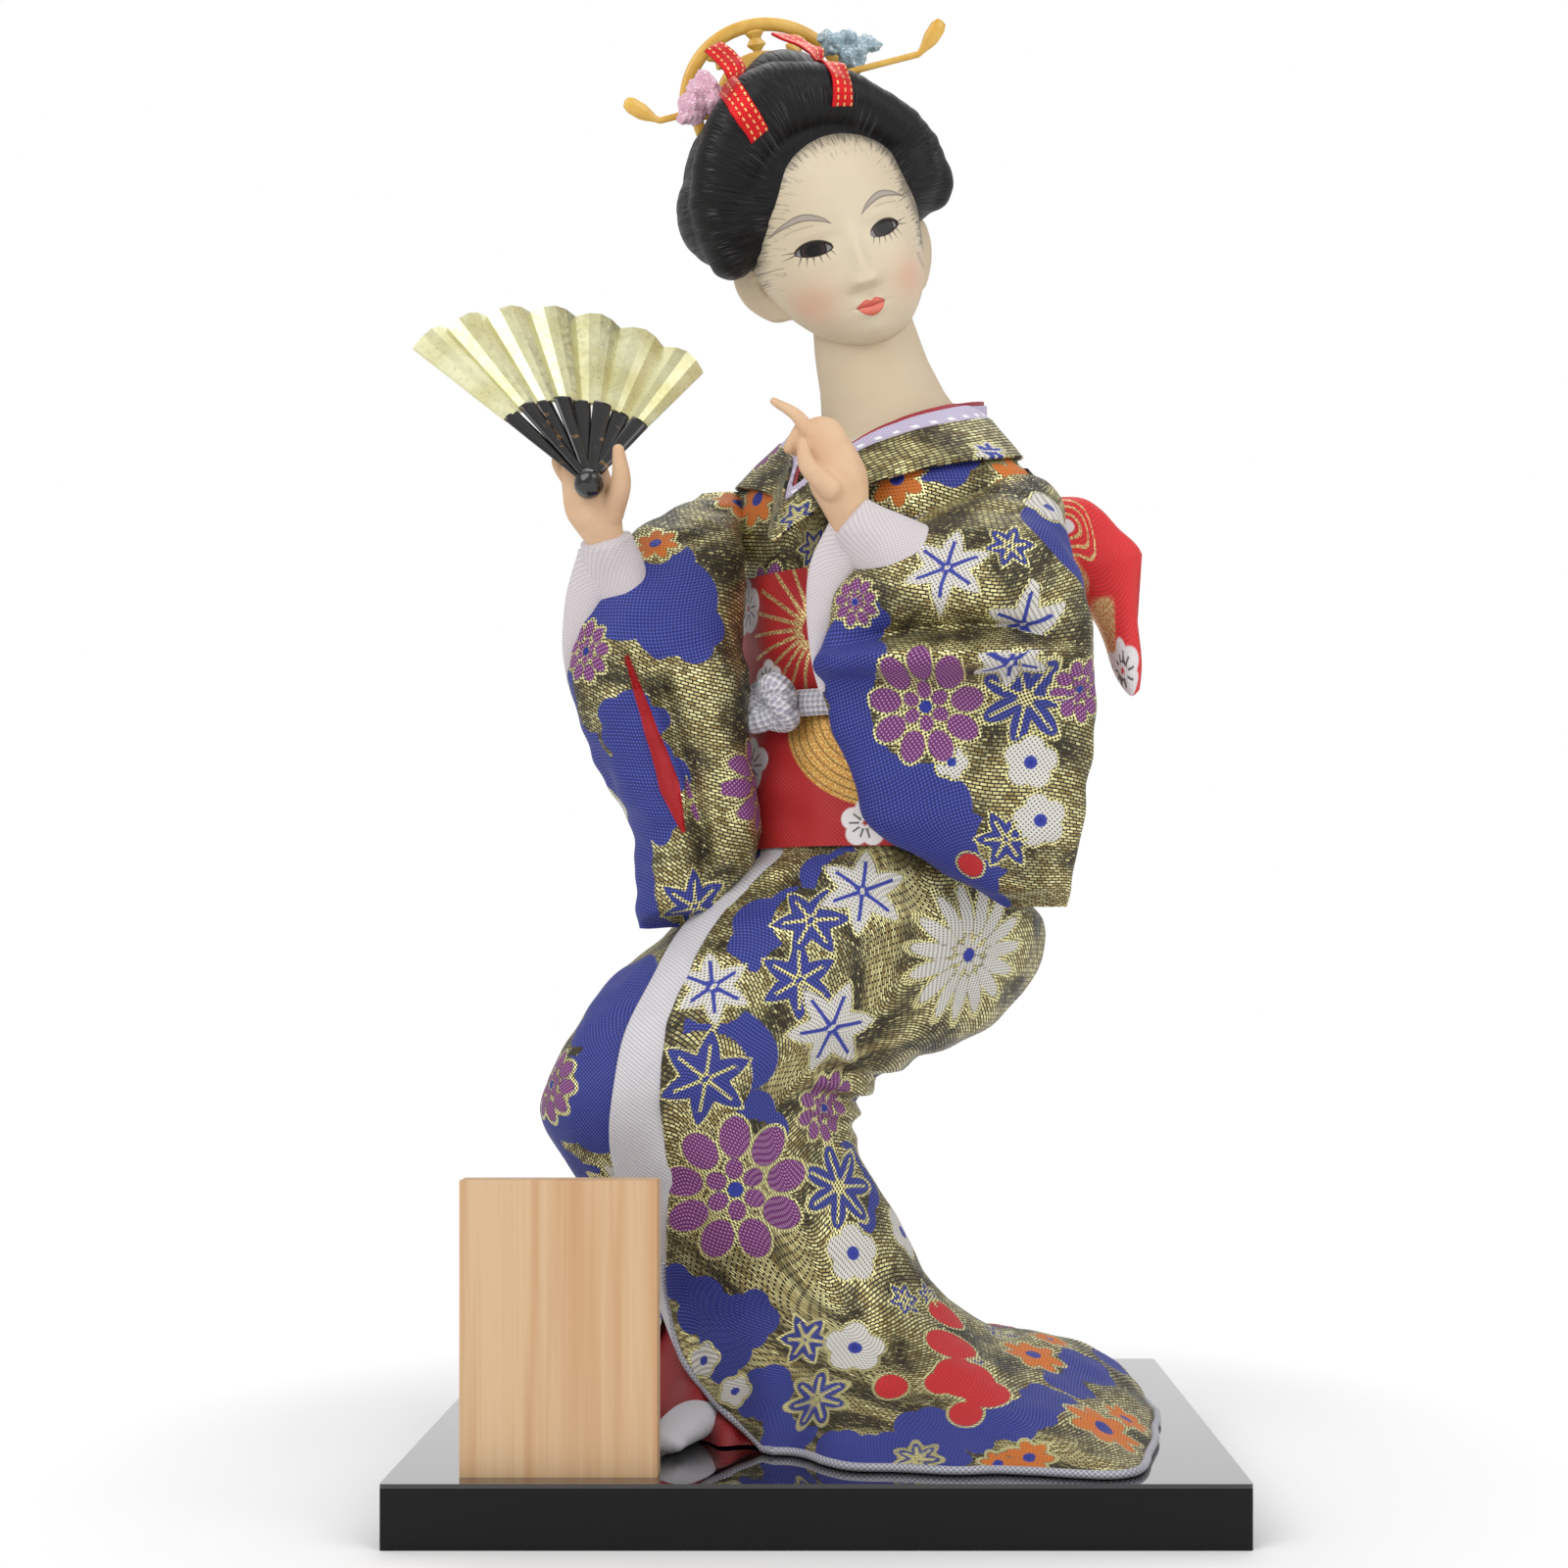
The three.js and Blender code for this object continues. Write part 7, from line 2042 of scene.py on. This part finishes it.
class Ornaments:
    """Comb, hairpins, ribbons and gauze flowers."""

    COMB = (-3.5, 10.0, 29.5)
    COMB_WIDE = 1.15
    ARCH = 15.2
    BOSS = 6.0
    SPOKE = (9, 10, 11.2, 12.4, 13.6, 15)
    SPOKE_RADII = (1.0, 0.8, 2.1, 1.2, 2.1, 0.9)
    TEETH = 6
    TEETH_HALF = 15.4
    TOOTH = 5.0
    PIN_ROOT = np.array((0, 2.5, 30.8))
    PIN_LEAN = math.radians(4)
    PIN_REACH = (2.5, 34.6)
    PADDLE_START = 28.4
    PADDLE_LONG = 6.2
    PADDLE_RISE = 5.0
    RIBBON_HALF = 2.2
    PINK = (
        ((-18.8, 0.5, 32.6), (3.3, 2.8, 3.4)), ((-21.6, 0.5, 29.8), (3.3, 2.4, 3.0)),
        ((-17.2, 0, 30.6), (2.7, 2.4, 2.8)), ((-23.2, 0.5, 28.4), (1.8, 1.8, 1.6)),
        ((-18.6, 0.8, 35), (1.5, 1.8, 1.5)),
    )
    BLUE = (
        ((14.8, 4, 35), (3.2, 2.4, 2.6)), ((11.4, 4, 37.8), (2.8, 2.2, 2.2)),
        ((9.6, 4, 39.2), (1.7, 1.8, 1.3)), ((14.4, 4, 38.2), (2.2, 2.2, 1.6)),
        ((17.4, 4, 36.6), (2.8, 2.2, 1.7)), ((20, 4, 36.2), (1.6, 1.7, 1.0)),
        ((15.2, 4, 33), (1.6, 1.7, 1.6)),
    )
    RIBBONS = {
        "right": (
            (-13.4, -17, 20.2), (-15.2, -13.6, 27.3), (-14.4, -6, 31.5), (-12.2, -3, 34.6),
            (-12.9, 0, 38.2), (-14.4, 3, 41),
        ),
        "left": (
            (4.6, -18, 22.6), (5.2, -15, 28.4), (4.9, -10, 33.4), (4.1, -5, 36.4), (2.0, -1, 38.8),
            (-0.6, 2.4, 41.2),
        ),
    }
    STEMS = {
        "pink": ((-18.8, 1.5, 33.0), (-17.0, 5.2, 30.5), (-13.0, 5.0, 26.0)),
        "blue": ((14.8, 4.0, 35.0), (13.5, 4.8, 32.0), (11.0, 5.5, 27.0)),
    }
    STEM_RADII = (0.9, 0.75)
    LAID = 0.5

    def __init__(self, hair: Sequence[Piece]) -> None:
        """Keeps the hair that the ribbons lie on."""
        self.hair = hair

    def build(self) -> None:
        """Makes the comb, pins, ribbons and flowers."""
        amber = self._amber()
        self._comb(amber)
        self._pin(amber, "right", -1)
        self._pin(amber, "left", 1)
        for side, line in self.RIBBONS.items():
            path = smooth_line(line, 60)
            ahead = unit(np.gradient(path, axis=0))
            wide = unit(np.cross(ahead, unit(path - Hair.HEART)))
            share = np.linspace(-1, 1, 14) * self.RIBBON_HALF
            points = HeadFrame.out(path[:, None] + wide[:, None] * share[None, :, None])
            hold = ease(np.linspace(0, 1, 60), self.LAID + 0.16, self.LAID)
            surface = Surface(self._laid(points, hold))
            surface = surface.raised(0.3 * ripple(surface.points, 5, 81) + 0.1)
            piece = thickened(surface.piece(f"hair_ribbon_{side}"), 0.5)
            dressed(piece, self._ribbon(), HEAD, "ribbon", f"ribbon_{side}")
        self._flower("pink", self.PINK, ink(222, 168, 190), ink(248, 226, 234))
        self._flower("blue", self.BLUE, ink(150, 178, 190), ink(224, 235, 239))

    def _laid(self, points: Array, hold: Array) -> Array:
        """Brings the rows of a ribbon down onto the hair, each by its share."""
        heart = HeadFrame.out(Hair.HEART)
        bpy.context.view_layer.update()
        laid = points.copy()
        for row, column in np.ndindex(points.shape[:2]):
            start = Vector((points[row, column] + (0, 0, BASE_TOP)) * MM)
            found = []
            for piece in self.hair:
                _, place, out, _ = piece.closest_point_on_mesh(start)
                found.append(np.array(place) / MM - (0, 0, BASE_TOP) + np.array(out) * 0.5)
            best = max(found, key=lambda place: float(np.linalg.norm(place - heart)))
            laid[row, column] += (best - points[row, column]) * hold[row]
        return laid

    def _comb(self, amber: Material) -> None:
        """Makes the openwork arch of the comb with its teeth."""
        x, y, z = self.COMB

        def at(radius: float, degrees: float) -> Point:
            """Gives a place on the arch, by distance and direction from its middle."""
            turn = math.radians(degrees)
            return (x + self.COMB_WIDE * radius * math.cos(turn), y, z + radius * math.sin(turn))

        bars = [
            ([at(self.ARCH, degrees) for degrees in range(0, 181, 6)], (1.35,), 0.6),
            ([at(self.BOSS, degrees) for degrees in range(0, 181, 10)], (4.2,), 0.17),
            ([at(self.ARCH, 180), at(self.ARCH, 0)], (1.2,), 0.6),
        ]
        for degrees in range(18, 180, 36):
            bars.append(([at(radius, degrees) for radius in self.SPOKE], self.SPOKE_RADII, 0.36))
        for tooth in range(self.TEETH):
            place = x - self.TEETH_HALF + tooth * 2 * self.TEETH_HALF / (self.TEETH - 1)
            bars.append(([(place, y, z), (place, y, z - self.TOOTH)], (1.3, 1.2, 0.7), 0.5))
        pieces = []
        for index, (line, radii, flat) in enumerate(bars):
            path = HeadFrame.out(smooth_line(line, 60))
            pieces.append(tube(path, radii, 16, flat, HeadFrame.BEHIND).piece(f"comb_bar_{index}"))
        dressed(joined("comb_arch", pieces), amber, "comb", "amber", "comb")

    def _pin(self, amber: Material, side: str, sign: int) -> None:
        """Makes a hairpin: a straight stem and a paddle that turns up at its end."""
        ahead = np.array((sign * math.cos(self.PIN_LEAN), 0.0, sign * math.sin(self.PIN_LEAN)))
        reach = np.linspace(*self.PIN_REACH, 120)
        paddle = np.clip((reach - self.PADDLE_START) / self.PADDLE_LONG, 0, 1)
        local = self.PIN_ROOT + ahead * reach[:, None]
        local[:, 2] += self.PADDLE_RISE * paddle**1.15
        radii = 0.65 + 1.0 * ease(paddle, 0.05, 0.6) * np.sqrt(1 - 0.75 * ease(paddle, 0.82, 1.0))
        surface = tube(HeadFrame.out(local), radii, 20, 0.55, HeadFrame.BEHIND)
        dressed(surface.piece(f"amber_pin_{side}"), amber, f"hairpin_{side}", "amber", f"hairpin_{side}")

    @staticmethod
    def _amber() -> Material:
        """Builds clear amber plastic."""
        s = Shader("amber_plastic")
        cloud = s.noise(s.place(), 220.0, 2.0)
        colour = s.mix(s.step(cloud, 0.3, 0.7), ink(240, 194, 92), ink(226, 172, 66))
        finish = {"Roughness": 0.28, "Transmission Weight": 0.1, "IOR": 1.5, "Coat Weight": 0.2}
        return s.finish({"Base Color": colour, **finish})

    @staticmethod
    def _ribbon() -> Material:
        """Builds metallic red ribbon with gold threads."""
        s = Shader("red_ribbon")
        uv = s.cloth()
        across, up, _ = s.parts(uv)
        stripe = s.step(s.wave(across, 2 * math.pi / 1.5), 0.6, 0.9)
        gold = s.times(stripe, s.step(s.wave(up, 4.5), -0.3, 0.1))
        colour = s.mix(gold, ink(206, 18, 26), ink(236, 190, 120))
        relief = s.bump(s.weave(uv, 0.3), 0.06)
        return s.finish({"Base Color": colour, "Metallic": 0.6, "Roughness": 0.3, "Normal": relief})

    def _flower(self, name: str, petals: Sequence[Points], colour: Colour, light: Colour) -> None:
        """Makes a flower of folded gauze, from the middles and radii of its petals, on its wire stem."""
        clay = Clay()
        for centre, radii in petals:
            clay.ball(HeadFrame.out(centre), radii, HeadFrame.matrix())
        clay.limb(HeadFrame.out(self.STEMS[name]), self.STEM_RADII)
        piece = clay.skin(f"gauze_flower_{name}", 0.3, 3)
        points, out = vertices_of(piece)
        crumple = 0.45 * ripple(points, 3.0, 91) + 0.2 * ripple(points, 1.2, 92)
        reshape(piece, out * crumple[:, None])
        s = Shader(f"gauze_{name}")
        sparkle = s.noise(s.place(), 2200.0, 2.0)
        gauze = s.finish(
            {
                "Base Color": s.mix(s.step(sparkle, 0.5, 0.66), colour, light),
                "Roughness": s.step(sparkle, 0.5, 0.66, 0.6, 0.2),
                "Metallic": s.step(sparkle, 0.56, 0.68, 0.0, 0.4),
                "Normal": s.bump(sparkle, 0.3),
                "Sheen Weight": 0.4,
            }
        )
        dressed(piece, gauze, HEAD, f"{name}_gauze", f"flower_{name}")


class Base:
    """Lacquered base, its top sheet, the wooden plaque and the feet."""

    FEET = {
        "right": ((-22.5, -20, 3.6), (-26, -31, 3.9), (-28.6, -39.5, 2.6)),
        "left": ((8, -12, 3.6), (8.4, -20, 3.9), (8.8, -27, 2.6)),
    }

    def build(self) -> None:
        """Gives the base pieces their finishes and makes the feet."""
        satin = Gloss(ink(8, 7, 7), ink(12, 11, 11), 0.45, 0.0, 60.0, shine=0.26).material("satin_black")
        gloss = Gloss(ink(14, 14, 15), ink(20, 20, 21), 0.002, 1.0, 40.0, 0.005).material("gloss_black")
        carried("base_board", satin)
        carried("base_top_sheet", gloss)
        carried("plaque", self._pine())
        cotton = Weave(ink(222, 220, 224), ink(182, 180, 188), 0.4).material("white_cotton")
        for side, (heel, ball, toe) in self.FEET.items():
            clay = Clay()
            clay.limb((heel, ball, toe), (4.6, 5.2, 4.6, 3.2), (1, 1, 0.74))
            clay.limb((np.add(heel, (0, 3, 1)), np.add(heel, (0, 8, 9))), (4.2, 4.4))
            for slip in (-1.6, 1.4):
                clay.limb((ball, np.add(toe, (slip, -1.0, -0.3))), (3.4, 2.0), (1, 1, 0.8))
            dressed(clay.skin(f"tabi_{side}", 0.4, 5), cotton, FIGURE, "white_cloth", f"foot_{side}")

    @staticmethod
    def _pine() -> Material:
        """Builds planed pine with upright grain."""
        s = Shader("pine")
        place = s.place()
        grain = s.noise(s.turned(place, (260, 260, 6)), 1.0, 3.0)
        fine = s.noise(s.turned(place, (1800, 1800, 30)), 1.0, 2.0)
        colour = s.mix(s.step(grain, 0.4, 0.68), ink(213, 180, 140), ink(200, 157, 114))
        colour = s.mix(s.step(fine, 0.5, 0.8, 0.0, 0.22), colour, ink(176, 130, 88))
        return s.finish({"Base Color": colour, "Roughness": 0.55, "Normal": s.bump(fine, 0.03)})


class Studio:
    """White floor and surroundings, soft lights and the camera of the photograph."""

    LAMPS = (
        ((-0.7, -0.9, 0.95), 0.9, 7.0), ((0.8, -0.7, 0.8), 0.9, 4.8), ((0.0, 0.5, 1.2), 0.8, 3.4),
    )
    AMBIENT = 0.56
    AIM = Vector((0, 0, 0.14))
    LENS = 49.0
    SENSOR = 36.0
    SHIFT = (-0.0419, 0.1231)
    # Distances from the doll, in metres, at which shadows start to fade and are gone
    SHADOW = (0.115, 0.2)

    def build(self) -> None:
        """Makes the stage, lights and camera."""
        bpy.context.scene.view_settings.view_transform = "Standard"
        self._floor()
        self._surroundings()
        for index, (place, size, power) in enumerate(self.LAMPS):
            light = bpy.data.lights.new(f"lamp_{index}", "AREA")
            light.size = size
            light.energy = power
            lamp = bpy.data.objects.new(f"lamp_{index}", light)
            lamp.location = place
            lamp.rotation_euler = (self.AIM - Vector(place)).to_track_quat("-Z", "Y").to_euler()
            bpy.context.scene.collection.objects.link(lamp)
        lens = bpy.data.cameras.new("camera")
        lens.lens = self.LENS
        lens.sensor_width = self.SENSOR
        lens.shift_x, lens.shift_y = self.SHIFT
        camera = bpy.data.objects.new("camera", lens)
        camera.location = (EYE + (0, 0, BASE_TOP)) * MM
        camera.rotation_euler = (math.pi / 2, 0, 0)
        bpy.context.scene.collection.objects.link(camera)
        bpy.context.scene.camera = camera

    def _floor(self) -> None:
        """Makes the floor, which takes shadows near the doll and runs out into plain white."""
        x, y = np.meshgrid(np.linspace(-2.2, 2.2, 221), np.linspace(-1.4, 3.0, 221))
        floor = Surface(np.stack([x, y, np.zeros_like(x)], axis=-1) / MM - (0, 0, BASE_TOP))
        floor.fields = {"far": ease(np.hypot(x, y), *self.SHADOW)}
        piece = floor.piece("studio_floor")
        s = Shader("paper")
        far = s.field("far")
        blank = s.times(far, s.node("ShaderNodeLightPath", {}).outputs["Is Camera Ray"])
        paper = s.mix(s.noise(s.place(), 3.0), ink(247, 247, 247), ink(251, 251, 251))
        white = s.finish(
            {
                "Base Color": s.mix(blank, paper, ink(0, 0, 0)),
                "Roughness": 0.9,
                "Emission Color": ink(255, 255, 255),
                "Emission Strength": blank,
            }
        )
        piece.data.materials.append(white)

    def _surroundings(self) -> None:
        """Makes the world: soft white light, and plain white where it is looked at or mirrored."""
        world = bpy.data.worlds.new("studio")
        world.use_nodes = True
        tree = world.node_tree
        ray = tree.nodes.new("ShaderNodeLightPath").outputs
        seen = ray["Is Camera Ray"]
        for kind in ("Is Transmission Ray", "Is Singular Ray"):
            either = tree.nodes.new("ShaderNodeMath")
            either.operation = "MAXIMUM"
            tree.links.new(seen, either.inputs[0])
            tree.links.new(ray[kind], either.inputs[1])
            seen = either.outputs[0]
        strength = tree.nodes.new("ShaderNodeMapRange")
        strength.inputs["To Min"].default_value = self.AMBIENT
        strength.inputs["To Max"].default_value = 1.0
        tree.links.new(seen, strength.inputs["Value"])
        sky = tree.nodes["Background"]
        sky.inputs["Color"].default_value = (1.0, 1.0, 1.0, 1.0)
        tree.links.new(strength.outputs["Result"], sky.inputs["Strength"])
        bpy.context.scene.world = world


class Doll:
    """The whole doll, dressed from the base up."""

    INSIDE = (
        "spine_rod", "leg_core", "torso_core", "arm_padding_right", "arm_padding_left", "arm_wire_right",
        "arm_wire_left", "sole_block", "sole_screw_1", "sole_screw_2",
    )

    def build(self) -> None:
        """Builds and dresses every sub-assembly."""
        brocade = Brocade()
        Base().build()
        Skirt(SkirtForm(), brocade).build()
        Trunk(brocade).build()
        right = Sleeve("right", RIGHT_SLEEVE, (0.04, 0.096), RIGHT_SPOTS, brocade)
        right.build(((-38, -24, 154), (-35.5, -24, 146), (-31, -22, 132), (-27.5, -20, 120)), 101)
        right.cuff(
            ((-42.2, -24.4, 177.5), (-40, -19, 169), (-37, -12, 158)), (5.2, 6.2, 7.0, 6.8),
            ((-43.5, -23, 174), (-47, -20.5, 166), (-49.6, -17.5, 157), (-50.4, -14.5, 150)),
            (4.6, 3.8, 2.4, 0.6),
        )
        left = Sleeve("left", LEFT_SLEEVE, (0.055, 0.096), LEFT_SPOTS, brocade)
        left.build((), 141)
        left.cuff(
            ((6.2, -33, 179.5), (12, -32, 175), (22, -29, 168)), (5.0, 6.8, 8.6, 8.8),
            ((6.5, -32.5, 177), (2.2, -31.5, 170), (0.4, -30, 162), (0, -28.5, 153), (0.6, -27.5, 147)),
            (5.0, 4.2, 3.0, 1.8, 0.6),
        )
        Face().build()
        Ornaments(Hair().build()).build()
        Hands().build()
        Fan().build()
        stuffing = Weave(ink(222, 214, 196), ink(190, 180, 160)).material("stuffing")
        for node in self.INSIDE:
            carried(node, stuffing)


def main() -> None:
    """Builds the doll and its studio."""
    logging.basicConfig(level=logging.INFO)
    Studio().build()
    Doll().build()


if __name__ == "__main__":
    main()
